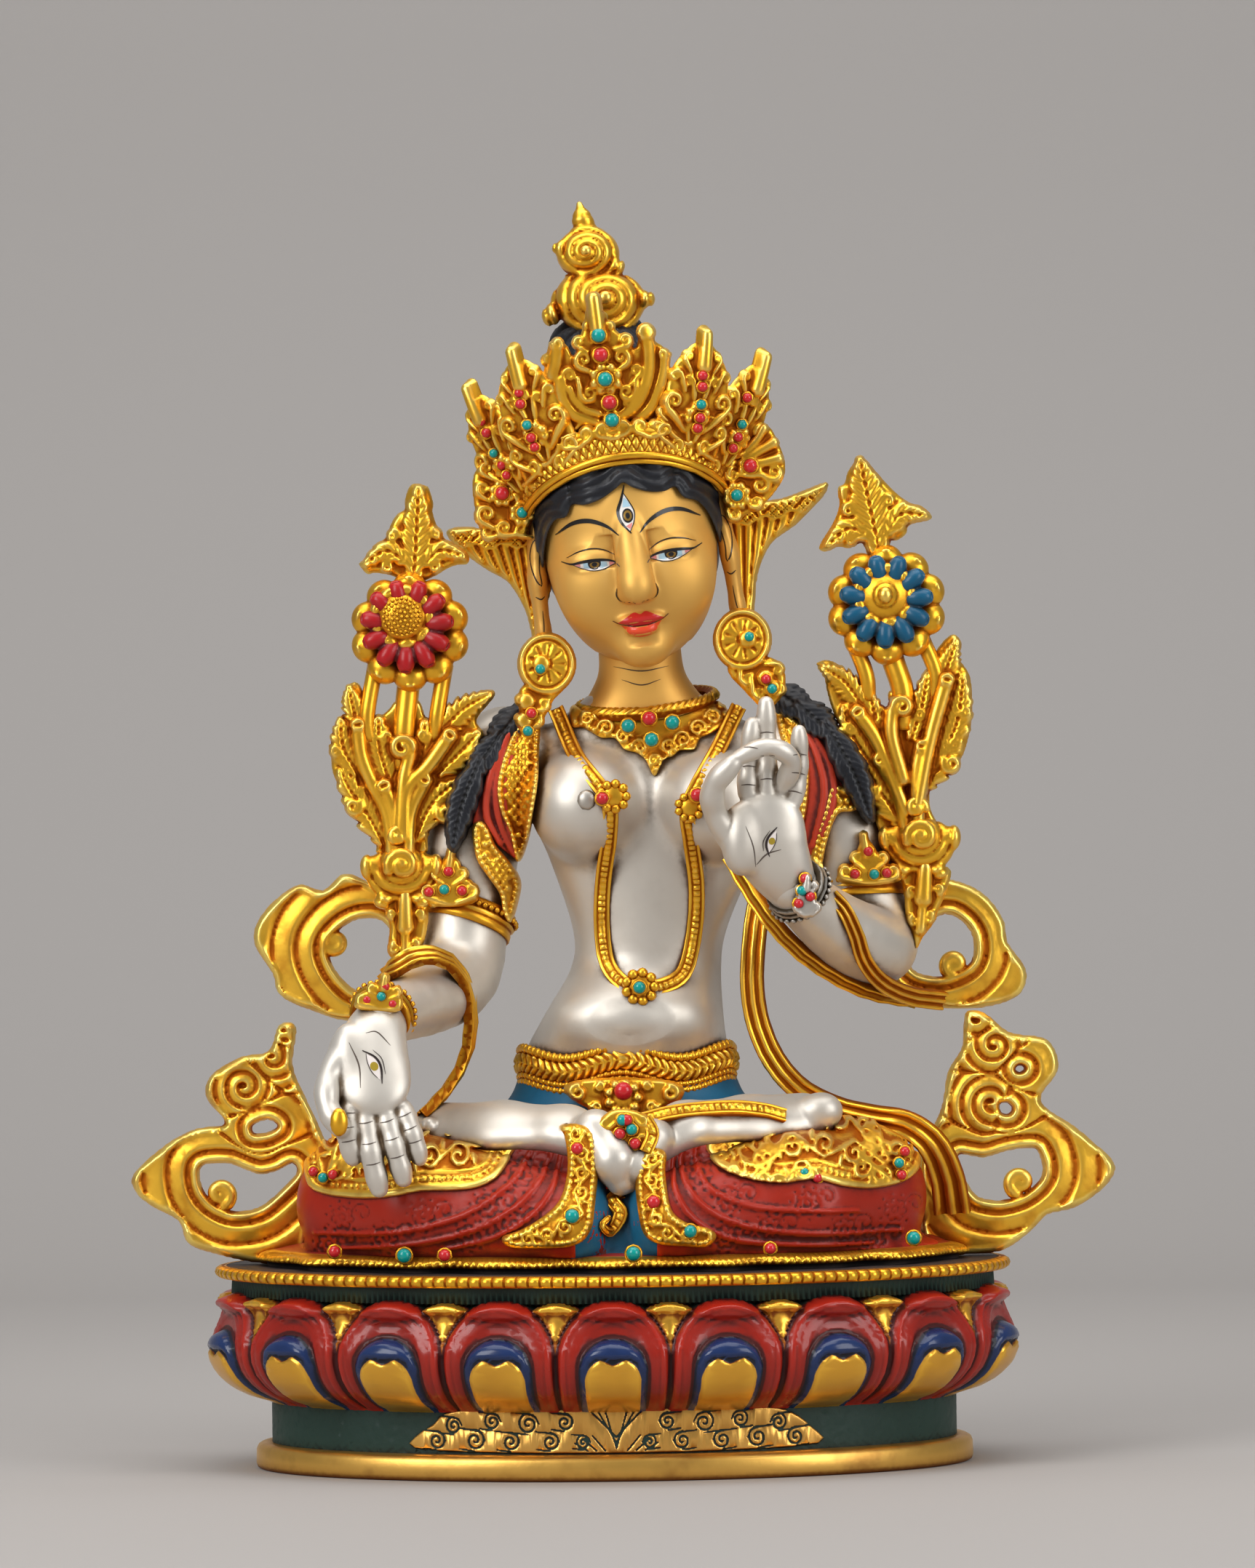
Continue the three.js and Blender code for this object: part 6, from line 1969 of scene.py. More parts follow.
# Fans of pleated ribbon behind the ears
fan_right = [
    (-42.5, 199.4), (-37.5, 200.3), (-31, 199.4), (-24, 200.2), (-14, 200), (-14, 186), (-16.4, 175),
    (-17.6, 160), (-20.0, 171), (-21.9, 178), (-26.2, 185), (-31.8, 188.4), (-37.6, 192.6), (-41.9, 196.7)
]
fan_left = [
    (60.8, 211.2), (54.6, 209.0), (47.2, 206.6), (38, 206.5), (33, 206), (33, 190), (36, 176), (39.6, 163),
    (40.6, 172), (41.4, 184.2), (43.5, 191.1), (46.5, 195.6), (52.5, 199.8), (57.5, 204.7), (60.7, 208.5)
]


def pleats(foot_x, foot_z, count, top):
    """Folds that spread from a foot, under a border with crossed lines that follows the top."""
    def relief(x, z, inside):
        angle = np.arctan2(x - foot_x, z - foot_z)
        folds = 1.15 * np.sqrt(np.abs(np.sin(angle * count))) - 0.5
        below = top(x) - z
        cross = np.minimum(np.abs(np.sin((x + z) * 1.3)), np.abs(np.sin((x - z) * 1.3)))
        edge = np.where(below < 1.3, 1.2, np.where(below < 5.2, 0.3 + 0.7 * (cross > 0.35), folds))
        return np.where(np.abs(below - 5.2) < 0.45, 0.9, edge)

    return relief


for name, edge, foot, top in (
    ("right", fan_right, (-17, 158), lambda x: 200.2 - 0.7 * np.cos(x * 0.8)),
    ("left", fan_left, (38, 160), lambda x: 206.4 + 0.2 * (x - 42) - 0.7 * np.cos(x * 0.8))
):
    clay = plate(edge, [], 2.5, 4.6, 0.45, 1.4, pleats(*foot, 42, top), steps=3)
    cast(f"ribbon_fan_{name}", clay, gilt)


# Drapery and ornaments
def offset_line(path, distance):
    ahead = np.gradient(path, axis=0)
    ahead /= np.linalg.norm(ahead, axis=1)[:, None]
    return path + distance * np.stack([-ahead[:, 1], ahead[:, 0]], 1)


def beaded(drawing, path, gap, radius, height):
    drawing.dots(evenly(path, gap), radius, height)


def on_front(clay, path):
    return np.column_stack([path[:, 0], clay.front(path[:, 0], path[:, 1]), path[:, 1]])


def within(loop):
    """Distance to a closed outline, as a function of the place."""
    return lambda x, z: region([loop], x, z, 1)


def inward(loop):
    """1 if the inside of a loop lies to its left, otherwise -1."""
    x, z = loop.T
    return 1 if np.sum(x * np.roll(z, -1) - np.roll(x, -1) * z) > 0 else -1


# Robe and knees
knees = {
    "right": (
        (-95, -64, 16), (-18, 30, 43), 1, [(-20, 60), (-99, 60), (-99, 33)],
        [
            (-84.5, 33), (-83.1, 27), (-81, 22.2), (-75, 20.2), (-66, 19.8), (-58, 20.6), (-50.6, 22),
            (-43, 22.1), (-35.9, 22.8), (-30.4, 25.4), (-26.9, 29.8), (-23.4, 35), (-22, 38.5)
        ]
    ),
    "left": (
        (22, -64, 16), (95, 30, 43), -1, [(44, 60), (99, 60), (99, 41)],
        [
            (74.5, 41), (83.5, 36), (84.6, 30), (83, 25), (78, 21.8), (70, 20.6), (62, 21.6), (54, 23.8),
            (45.6, 23), (36, 24.4), (28.4, 27.6), (25.6, 31.4), (28.5, 34.6), (36, 37.4), (44, 41)
        ]
    )
}
for name, (low, high, side, corners, edge) in knees.items():
    edge = smooth(edge, 5)
    drawing = Canvas((low[0], low[2]), (high[0], high[2] + 2), 0.3)
    drawing.line(offset_line(edge, 1.2 * side), 1.15, 0.9, 1)
    beaded(drawing, offset_line(edge, 3.3 * side), 1.7, 0.8, 0.9)
    drawing.line(offset_line(edge, 5.0 * side), 0.5, 0.6, 1)
    for distance, half in ((9.2, 3.8), (16.4, 3.6)):
        drawing.lines(vine(offset_line(edge, distance * side), half), 0.8, 1.3)
    # The knee cover takes the lighter copy of the gilt, a painted light.
    veneer(
        f"knee_cover_{name}", legs, low, high, within(np.concatenate([edge, corners])), 0.9, lit_gilt,
        drawing.at, 0.5, back=30
    )

folds = Canvas((-90, 2), (90, 44), 0.3)
for path in (
    [(-19, 38), (-22, 30), (-29, 22), (-41, 15), (-58, 11), (-80, 10)],
    [(-15, 36), (-17, 28), (-24, 19), (-36, 12), (-52, 8), (-74, 6)],
    [(-13.5, 30), (-16, 22), (-22, 15), (-32, 9.5), (-44, 6.5)],
    [(20, 33), (19, 26), (24, 18), (34, 12.5), (50, 9.5), (78, 9)],
    [(17, 30), (17, 22), (22, 14), (32, 8.5), (48, 6.5), (70, 6)],
    [(24, 34), (23, 28), (27, 21.5), (38, 17), (52, 15.5), (66, 15)]
):
    folds.line(smooth(path, 8), 0.9, 0.7, 0.4)
scored = Canvas((-90, 2), (90, 44), 0.26)
for cx, cz in (
    (-72, 14.5), (-60, 9.5), (-50, 15.5), (-38, 10), (-33, 18), (-76, 7), (-24, 26), (-26, 13.5),
    (76, 14.5), (62, 10), (52, 17.5), (42, 11), (31, 19), (24, 26), (70, 6.5), (30, 9)
):
    for k in range(7):
        a = TAU * k / 7
        petal = curl(cx + 2.2 * math.cos(a), cz + 2.2 * math.sin(a), 1.5, math.degrees(a) - 100, 0.6, 1, 8)
        scored.line(petal, 0.3, -0.34, 1)
    ring = [(cx + math.cos(a), cz + math.sin(a)) for a in np.linspace(0, TAU, 9)]
    scored.line(ring, 0.3, -0.32, 1)
    scored.line(curl(cx + 5.6, cz + 1.5, 3.0, 180, 1.1, -1, 14), 0.3, -0.32, 1)
    dots = [(cx + 4.4 * math.cos(a), cz + 4.4 * math.sin(a)) for a in np.linspace(0.5, 5.5, 9)]
    scored.dots(dots, 0.4, -0.4)


def robe_outline(x, z):
    return np.maximum(4 - z, z - 39) + 0 * x


def robe_carving(x, z):
    return folds.at(x, z) + scored.at(x, z)


for name, low, high in (("right", (-88, -64, 3), (-10, -8, 40)), ("left", (12, -64, 3), (88, -8, 40))):
    veneer(f"robe_{name}", legs, low, high, robe_outline, 0.35, red, robe_carving, 0.45, back=-12)

border_edges = {
    "right": [
        (-13.7, 38.7), (-12.4, 36.7), (-11.5, 30.9), (-11.9, 25.1), (-13.9, 19.4), (-18.4, 15.2),
        (-24.3, 11.8), (-29.1, 9.9), (-27.2, 7.2), (-19.5, 6.8), (-9.8, 7.6), (-5.5, 11.5), (-4.3, 18.3),
        (-3.4, 27), (-3.7, 34.7), (-5.2, 38), (-9.5, 39.6)
    ],
    "left": [
        (14.6, 31.6), (10.7, 33), (7.8, 30.7), (6.4, 24.9), (6.9, 17.2), (8.4, 10.4), (12.4, 7.6),
        (19.1, 7.0), (24.9, 6.6), (27.8, 9.2), (25.9, 11.6), (20.2, 13.2), (16.3, 16.1), (15, 21),
        (14.5, 26.8)
    ]
}
border_lines = {
    "right": [(-9, 37), (-7.6, 31), (-7.8, 24), (-9, 17), (-14, 11.5), (-22, 9.6)],
    "left": [(11.2, 30), (10.6, 24), (10.8, 17), (13, 11.5), (20, 9.8)]
}
front_body = legs_clay((-40, -70, 2), (40, -10, 42), 0.8)
front_body.add([
    ball((-8.5, -46, 25), (7, 7.5, 18)), ball((11, -45, 22), (6.5, 8, 15)),
    ball((-18, -50, 9), (13, 6, 5.5)), ball((19, -49, 9), (12, 6, 5))
], 3)
front_body.add([ball((1.5, -41, 9), (10, 9.5, 13))], 1.5)


def under_belt(points):
    return (np.abs(points[:, 0] - 1.5) < 13) & (points[:, 1] < -30) & (points[:, 2] < 34)


cast("apron_folds", front_body, blue, keep=under_belt)
for name, edge in border_edges.items():
    loop = smooth(edge, 4, closed=True)
    drawing = Canvas((-40, 2), (40, 44), 0.28)
    beaded(drawing, offset_line(loop, 1.2 * inward(loop)), 1.55, 0.75, 0.95)
    drawing.lines(vine(smooth(border_lines[name], 6), 2.5), 0.55, 0.9)
    veneer(
        f"robe_border_{name}", front_body, (-34, -70, 3), (32, -20, 42), within(loop), 1.3, gilt,
        drawing.at, 0.42, back=-20
    )

hem_around = oval(10, out=-3)[2][1] * 10
hem_rows = [
    (55.02, -5), (56.2, -4.8), (56.3, -3.4), (56.6, -2.5), (57.0, -2.1), (57.5, -2.2), (58, -2.5),
    (58.4, -2.9), (58.7, -3.5), (59.0, -4.3), (59.2, -5.2), (59.4, -6.4), (59.8, -8.4), (60.6, -12),
    (61.7, -18), (62.6, -26), (63, -36)
]


def hem_shape(along, z):
    wave = 1.3 * np.cos(TAU * 17 * along / hem_around) + 0.7 * np.cos(TAU * 29 * along / hem_around + 1)
    beads = 0.8 * np.sqrt(np.clip(np.sin(TAU * along / 2.1), 0, 1)) - 0.2
    hatch = 0.2 * np.cos(TAU * along / 1.5 + 2.2 * (z - 57))
    return wave * fall(63 - z, 0, 8) + beads * bump(z, 57.0, 0.6) + hatch * (z > 57.5) * (z < 59.1)


# The under layer paints a shadow: the wall below the hem turns near black.
hem_paint = finish(
    "hem_paint", (0.36, 0.026, 0.014), (0.08, 0.006, 0.004), rough=0.38, coat=0.2, grain=0.05,
    layers=(
        ("gold", GOLD, GOLD_SHADE_AND_GRIME, 0.88, 0.3), ("under", (0.03, 0.022, 0.02), (0.01, 0.008, 0.008), 0.0, 0.5)
    )
)
# Below z 56.35 the hem takes the painted shadow of the under layer.
hem_fields = {"gold": lambda along, z: 59.3 - z, "under": lambda along, z: 56.35 - z}
around("robe_hem", hem_rows, hem_paint, count=1300, out=-3, shape=hem_shape, values=hem_fields)

# Skirt and belt
skirt = Clay((-40, -22, 28), (48, 36, 56), 0.8)
skirt.add(ringed([
    (28, 5, 8, 44, 28, 27), (34, 5, 8, 40, 26, 25), (41, 4.6, 8, 35, 23.5, 22.5),
    (46, 4.6, 7.6, 31.2, 21.4, 20.6), (54, 4.5, 7, 28.4, 19.6, 18.6)
]))
cast("skirt", skirt, blue, keep=lambda p: (p[:, 2] > 41) | (p[:, 1] > -6))


def round_waist(lift, out):
    """A line round the waist that dips in waves at the front, and the ways out from it."""
    t = np.linspace(0, TAU, 140, endpoint=False)
    x = 4.5 + (29.2 + out) * np.sin(t)
    y = 7 - (20.4 + out) * np.cos(t)
    z = 53.2 + lift + 1.7 * np.cos(TAU * (x - 3.3) / 31.5) * np.clip(np.cos(t) * 3, 0, 1)
    return np.stack([x, y, z], 1), np.stack([np.sin(t) / 29, -np.cos(t) / 20, 0 * t], 1) * 22


def herringbone(s, v):
    scored = 0.55 * np.cos((s + 2.3 * np.abs(v)) * TAU / 2.3)
    return 1.5 * np.sqrt(np.clip(1 - v * v, 0, 1)) + scored * (np.abs(v) > 0.12)


path, ways = round_waist(0.2, -0.2)
band(trim, path, ways, 2.9, herringbone, 0.45, 13, closed=True)
for lift, size in ((3.9, 1.45), (-3.3, 1.1), (-5.0, 1.25)):
    path, ways = round_waist(lift, 0.2 - 0.06 * abs(lift))
    line = evenly(np.concatenate([path, path[:1]]), 1.9)
    for spot in line[:-1]:
        bead(trim, spot, (1.05, size, size))
    sweep(trim, path, rounded(8, 0.75 * size, 0.75 * size), ways, closed=True)

# Necklaces
necklace = smooth([
    (-13.5, 150), (-8.5, 138), (-3, 130.5), (0.6, 125), (0.6, 116), (-1.2, 104), (-1.8, 92), (-0.6, 81.5),
    (3.5, 76), (8.4, 74.4), (15, 75), (20.6, 78.8), (23.4, 90), (24, 102), (22.6, 114), (21.8, 122),
    (24.6, 129), (30.4, 139), (36, 150)
], 8)


def string(s, v):
    beads = 0.9 * np.sqrt(np.clip(np.abs(np.sin(s * math.pi / 1.75)), 0, 1)) * dome(v, 0.5)
    return 1.0 + np.maximum(beads, 0.55 * bump(np.abs(v), 0.82, 0.18))


path = on_front(body, necklace)
path[:, 1] = np.convolve(np.pad(path[:, 1], 6, "edge"), np.ones(13) / 13, "valid")
band(trim, path, (0, -1, 0), 2.2, string, 0.42, 13)


def rosette(heap, x, y, z, radius, petals, lift):
    """A domed boss in a ring of beads."""
    bead(heap, (x, y, z), (radius, lift, radius), STONE)
    for k in range(petals):
        a = TAU * k / petals
        bead(
            heap, (x + 0.86 * radius * math.cos(a), y - 0.5 * lift, z + 0.86 * radius * math.sin(a)),
            (0.34 * radius, 0.7 * lift, 0.34 * radius)
        )


for x, z, r in ((1.8, 126.3, 4.0), (22.3, 123.1, 3.6), (8.4, 74.8, 4.4)):
    rosette(trim, x, float(body.front(x, z)) - 1.4, z, r, 9, 1.8)
collar_edge = [
    (-9.7, 152), (-6.4, 150), (1.5, 147.9), (9.3, 147.2), (17.2, 147.7), (25.1, 149.6), (31, 153.5),
    (33, 157.4), (33.5, 147.5), (30.9, 144.6), (27.9, 142.7), (25.4, 141.7), (23.9, 138.8), (20, 138.5),
    (18, 136.9), (15.5, 136), (13, 131.5), (10.7, 136), (8.2, 138), (4.9, 139), (2.4, 142), (-1, 142.1),
    (-3.5, 143.5), (-6.4, 145.1), (-9.4, 145.5)
]
drawing = Canvas((-14, 128), (38, 162), 0.28)
for x, z, r, hand in (
    (-5, 147.6, 2.2, 1), (0, 145, 2.4, -1), (4.6, 142.6, 2.3, 1), (9.2, 139.8, 2.2, -1), (13, 136, 1.8, 1),
    (16.8, 139.6, 2.2, 1), (20.8, 141.6, 2.3, -1), (24.8, 144.6, 2.4, 1), (29.2, 147.6, 2.3, -1),
    (32, 151.5, 1.8, 1)
):
    drawing.line(curl(x, z, r, -90 + 90 * hand, 1.5, hand), 0.6, 1.1, 0.8)
collar_beads = [
    (-8.5, 147), (-3.5, 144.6), (2, 142.8), (8, 139.4), (13, 133.6), (18, 138.4), (24.6, 142.6),
    (32.6, 148.4)
]
beaded(drawing, smooth(collar_beads, 6), 1.9, 0.8, 0.9)
collar_outline = within(smooth(collar_edge, 3, closed=True))
veneer("collar", body, (-14, -30, 128), (38, 12, 162), collar_outline, 1.2, gilt, drawing.at, 0.4, back=9)


def twist(s, v):
    return 0.8 + 0.7 * np.sqrt(np.clip(1 - v * v, 0, 1)) + 0.3 * np.cos((s + 1.6 * v) * TAU / 1.9)


t = np.linspace(0, TAU, 90, endpoint=False)
height = 151.4 - 2.6 * np.cos(t) + 1.6 * np.sin(t) + 0.6 * np.abs(np.sin(t))
loop = np.stack([11.2 + 18.2 * np.sin(t), 4.2 - 12.8 * np.cos(t), height], 1)
out = np.stack([np.sin(t), -np.cos(t), np.full(90, 0.9)], 1)
band(trim, loop, out, 1.5, twist, 0.42, 9, closed=True)

# Shoulder cloths
cloths = (
    (
        "shoulder_cloth_right",
        [
            (-26.3, 146.4), (-22.3, 148.5), (-22.5, 141.4), (-25.2, 135.5), (-26.5, 127.1), (-25.2, 118.9),
            (-24, 113.2), (-24.6, 109.6), (-26.7, 110.8), (-31.6, 115), (-36.1, 117.8), (-35.8, 122.8),
            (-33.4, 129.7), (-31.3, 138.5)
        ],
        [
            [(-25, 147), (-28.6, 136), (-30, 126), (-27.8, 116), (-22, 106)],
            [(-27, 143), (-31.4, 132), (-32.6, 122), (-29, 114)],
            [(-24, 143), (-26.8, 133), (-27.6, 124), (-25.6, 115), (-21, 107)]
        ],
        cloth_red, 2.0
    ),
    (
        "shoulder_cloth_left",
        [
            (50.6, 148.5), (57.8, 142.4), (62.9, 135.6), (64.8, 128.1), (61.7, 119.2), (56.4, 110.4),
            (52.9, 111.2), (53.5, 122.7), (54.4, 132.5), (53, 140.7)
        ],
        [
            [(53, 146), (57.5, 136), (59, 126), (55.6, 112)],
            [(56, 143), (60.6, 134), (61.4, 125), (58, 115)]
        ],
        cloth_red, 2.0
    ),
    (
        "shoulder_band_right",
        [
            (-29.9, 130.1), (-27.5, 139.1), (-23.6, 146.4), (-18.2, 147), (-18.3, 137.6), (-18.6, 130.0),
            (-20.2, 121.0), (-21.6, 114.4), (-23.6, 109.2), (-25.0, 109.2), (-25.8, 112.0), (-26.8, 116.9),
            (-29.2, 123.2)
        ],
        None, gilt, 3.0
    ),
    (
        "shoulder_band_left",
        [
            (46.6, 149.4), (52.7, 145.4), (54.3, 138.5), (55, 131.6), (54.5, 124.7), (53.6, 119.5),
            (51.4, 111.9), (47.6, 112.9), (48.9, 120.8), (49.6, 128.6), (49.4, 136.5), (47, 142.5)
        ],
        None, gilt, 2.6
    ),
    (
        "shoulder_hem_right",
        [
            (-36.6, 117.9), (-34.7, 120.2), (-32.2, 118.4), (-30.3, 113.5), (-26.9, 109.3), (-23.8, 103.7),
            (-24.2, 98.9), (-26.4, 92.4), (-28.5, 94.8), (-29.5, 100.3), (-32.7, 105.2), (-35.6, 110.1)
        ],
        None, gilt, 2.8
    ),
    (
        "shoulder_hem_left",
        [
            (61, 128.5), (66.5, 127), (69.4, 123.2), (66.4, 121.4), (62.4, 120.6), (59.4, 113),
            (57.6, 105.5), (55, 106.5), (56, 114), (58.6, 122)
        ],
        None, gilt, 2.4
    )
)
for name, edge, ridges, look, thick in cloths:
    loop = smooth(edge, 4, closed=True)
    low, high = loop.min(0) - 2, loop.max(0) + 2
    drawing = Canvas(low, high, 0.28)
    if ridges:
        for ridge in ridges:
            drawing.line(smooth(ridge, 8), 1.3, 1.2, 0.5)
    else:
        beaded(drawing, offset_line(loop, 1.0 * inward(loop)), 1.6, 0.75, 0.9)
        steps = np.arange(-60, 60, 2.0)
        centre = (low + high) / 2
        dots = np.array([
            (centre[0] + a + k % 2, centre[1] + 0.75 * b) for a in steps for k, b in enumerate(steps)
        ])
        drawing.dots(dots[region([loop], dots[:, 0], dots[:, 1], 1) < -2.4], 0.95, 0.8)
    veneer(
        name, body, (low[0], -30, low[1]), (high[0], 22, high[1]), within(loop), thick, look, drawing.at,
        0.45, back=14, slot="painted_copper"
    )

# Locks of hair on the shoulders
for name, low, high, tufts, back in (
    (
        "right", (-50, 106), (-14, 160),
        (
            ([(-15, 157), (-22, 150.5), (-27, 147)], 3.6), ([(-23, 150), (-31.5, 140)], 4.8),
            ([(-29.5, 142.5), (-37, 131.5)], 4.6), ([(-34.6, 136), (-39.4, 124), (-42, 112.2)], 4.6)
        ),
        ([106, 114, 130, 146, 158], [-8, -8.5, -8.5, -4.5, 6])
    ),
    (
        "left", (30, 112), (80, 166),
        (
            ([(36, 161), (44, 156), (50, 152)], 3.8), ([(46, 154.5), (56, 147.5)], 5.0),
            ([(53, 150), (62.5, 141.5)], 5.0), ([(60, 144.5), (66.5, 132.5), (71.4, 119)], 4.8)
        ),
        ([112, 120, 134, 150, 164], [-8.5, -9, -9, -4.5, 4])
    )
):
    work = Relief(low, high)
    for number, (path, half) in enumerate(tufts):
        work.leaf(path, half, 1.2 + 0.9 * number, 5, 1.9, 0.12, 1.1)
    cast(
        f"shoulder_locks_{name}", work.clay(0, 7, 2.0, 1), black,
        place=lambda points: points + np.outer(np.interp(points[:, 2], *back), (0, 1, 0))
    )


# Armlets, bracelets and ribbons
def ring_round(centre, axis, radius):
    """A ring about an axis, and the ways out from it."""
    axis = np.array(axis, float) / np.linalg.norm(axis)
    first = np.cross(axis, (0, 1, 0))
    first /= np.linalg.norm(first)
    second = np.cross(axis, first)
    t = np.linspace(0, TAU, 70, endpoint=False)[:, None]
    out = np.cos(t) * first + np.sin(t) * second
    return np.array(centre) + radius * out, out


def three_ridges(s, v):
    return 0.5 + 0.5 * np.cos(3 * math.pi * v) * (np.abs(v) < 0.7)


silver_trim = Heap()
for heap, centre, axis, radius, half in (
    (trim, (-38.4, 4.6, 93.6), (0.31, 0.28, 0.95), 12.3, 3.4),
    (trim, (69.4, 3.0, 100.6), (-0.06, 0.12, 1), 12.0, 3.0),
    (trim, (-60.6, -41.6, 69), (0.16, 0.55, 0.25), 7.9, 2.4),
    (silver_trim, (51, -30.4, 100.6), (0.5, 0.75, -0.55), 8.0, 2.4)
):
    path, out = ring_round(centre, axis, radius)
    band(heap, path, out, half, three_ridges, 0.6, 9, closed=True)
    line = evenly(np.concatenate([path, path[:1]]), 1.75)
    shift = np.array(axis, float) / np.linalg.norm(axis) * half * 0.5
    for spot in line[:-1]:
        way = (spot - centre) / radius
        bead(heap, spot + shift + way * 0.9, 0.85)


def crest(name, edge, coils, stalk, y, material=gilt, back=4.0):
    """A small flat ornament with curled edges."""
    spread = np.array(edge)
    work = Relief(spread.min(0) - 3, spread.max(0) + 3, 0.3)
    work.shape(edge, 0.8)
    for from_x, from_z, x, z, r, hand in coils:
        work.scroll((from_x, from_z), x, z, r, hand, 0.9)
    work.tube(stalk, 1.3, 1.0)
    cast(name, work.clay(y, back, 1.2), material)


crest(
    "right_armlet_crest",
    [
        (-50.6, 98.2), (-50.4, 102), (-46.8, 104), (-46, 107.5), (-43, 111.5), (-40, 109), (-39.5, 105.5),
        (-36.6, 103.6), (-35.4, 98.4), (-43, 96.8)
    ],
    [
        (-44.4, 98, -48.8, 101.4, 2.6, -1), (-44, 102.6, -46.4, 106, 2.1, -1),
        (-42, 102.6, -39.6, 106, 2.1, 1), (-41, 98, -37, 101.2, 2.5, 1), (-43, 97.6, -47.4, 98.2, 1.7, 1)
    ],
    [(-43, 108), (-42.4, 112)], -8.6
)
crest(
    "left_armlet_crest",
    [
        (62.4, 102.4), (63.2, 106), (66.4, 107.4), (67.8, 111.6), (69.6, 114.5), (72.2, 112), (74.6, 107.6),
        (78.4, 106), (79.2, 102.6), (70.5, 101.2)
    ],
    [
        (68.6, 102.6, 64.4, 105.2, 2.5, -1), (69.6, 105.4, 67.4, 109, 2.1, -1),
        (72.4, 105.4, 74.4, 108.8, 2.1, 1), (73.4, 102.6, 77.2, 105, 2.5, 1)
    ],
    [(70, 110), (69.4, 115)], -10.6
)
crest(
    "right_bracelet_crest",
    [
        (-67.6, 71), (-66, 74.8), (-62.6, 76.6), (-59.6, 79), (-57.2, 76.4), (-54.8, 73.4), (-55.6, 70),
        (-61, 69.8)
    ],
    [
        (-61.6, 71, -65.6, 73.2, 2.0, -1), (-60.8, 73.4, -62.8, 76.2, 1.7, -1),
        (-58.6, 73, -56.4, 75.2, 1.8, 1), (-60, 70.6, -56.6, 71.6, 1.6, 1)
    ],
    [(-59.8, 76), (-59.4, 79)], -48.4, back=3
)
crest(
    "left_bracelet_crest",
    [(50.6, 94), (50, 98), (51.2, 101.6), (53, 104), (55, 102.6), (55.6, 99), (56, 95.4), (53.6, 93.2)],
    [
        (52.6, 93.6, 50.8, 96.2, 1.6, -1), (52.6, 98.4, 51.2, 101, 1.5, -1), (54, 99.6, 55, 102, 1.5, 1),
        (54.4, 93.6, 55.6, 96.2, 1.6, 1)
    ],
    [(52.9, 101), (53.3, 104)], -39.4, dark_silver, 3
)
bead(silver_trim, (-5.4, float(body.front(-5.4, 125.4)) + 0.2, 125.4), (2.5, 1.1, 2.8), STONE)
silver_trim.build("left_bracelet", dark_silver)


def ribbon_grooves(s, v):
    return 0.9 + 0.55 * np.cos(v * math.pi * 2.4) + 0.12 * np.cos(s * 0.9)


right_scarf = smooth([
    (-61, -24, 78), (-57, -32, 81.5), (-50, -31, 84.5), (-43, -25.5, 82.5), (-38.6, -19, 76),
    (-37.4, -15, 67), (-38.6, -14, 58), (-43, -17, 49), (-51, -23, 40.5)
], 8)
out = right_scarf - np.array([(-50, -12, 66)])
band(trim, right_scarf, out, 2.7, ribbon_grooves, 0.5, 13)
back_path = right_scarf - out / np.linalg.norm(out, axis=1)[:, None] * 0.3
band(trim, back_path[::-1], -out[::-1], 2.7, ribbon_grooves, 0.6, 9)
left_ribbon = smooth([
    (43, 2, 104), (40.6, 0, 94), (39.3, -2, 84), (38.9, -2, 74), (40.4, -1, 64), (44.6, -1, 54),
    (51.5, -2, 46), (61, -4, 41), (71, -8, 38.4), (80, -11, 36.5), (87, -10, 31), (91, -7, 22),
    (92.5, -4, 12)
], 8)
slope = np.gradient(left_ribbon, axis=0)
out = np.column_stack([0.2 * slope[:, 2], np.full(len(slope), -0.9), -0.2 * slope[:, 0]])
band(trim, left_ribbon, out, [3.1] * 6 + [3.6, 4.4, 5.0], ribbon_grooves, 0.5, 13)
band(trim, left_ribbon[::-1] + (0, 0.4, 0), -out[::-1], 3.1, ribbon_grooves, 0.6, 9)
under_arm = smooth([
    (33, -12, 110), (38, -16, 101), (44, -20, 92), (52, -19, 83.5), (62, -14, 76.5), (72, -8, 72),
    (84, 2, 69.5)
], 8)
band(trim, under_arm, np.array([-0.4, -0.8, -0.6]), 2.2, ribbon_grooves, 0.5, 11)
over_arm = smooth([
    (60, -30, 99), (63.5, -30.5, 95), (66.5, -28, 88.5), (69, -22.5, 81), (74, -15, 75), (82, -5, 71),
    (91, 3, 69.5)
], 8)
band(trim, over_arm, np.array([0.15, -0.9, -0.25]), [2.0, 2.5278195489], ribbon_grooves, 0.5, 13)

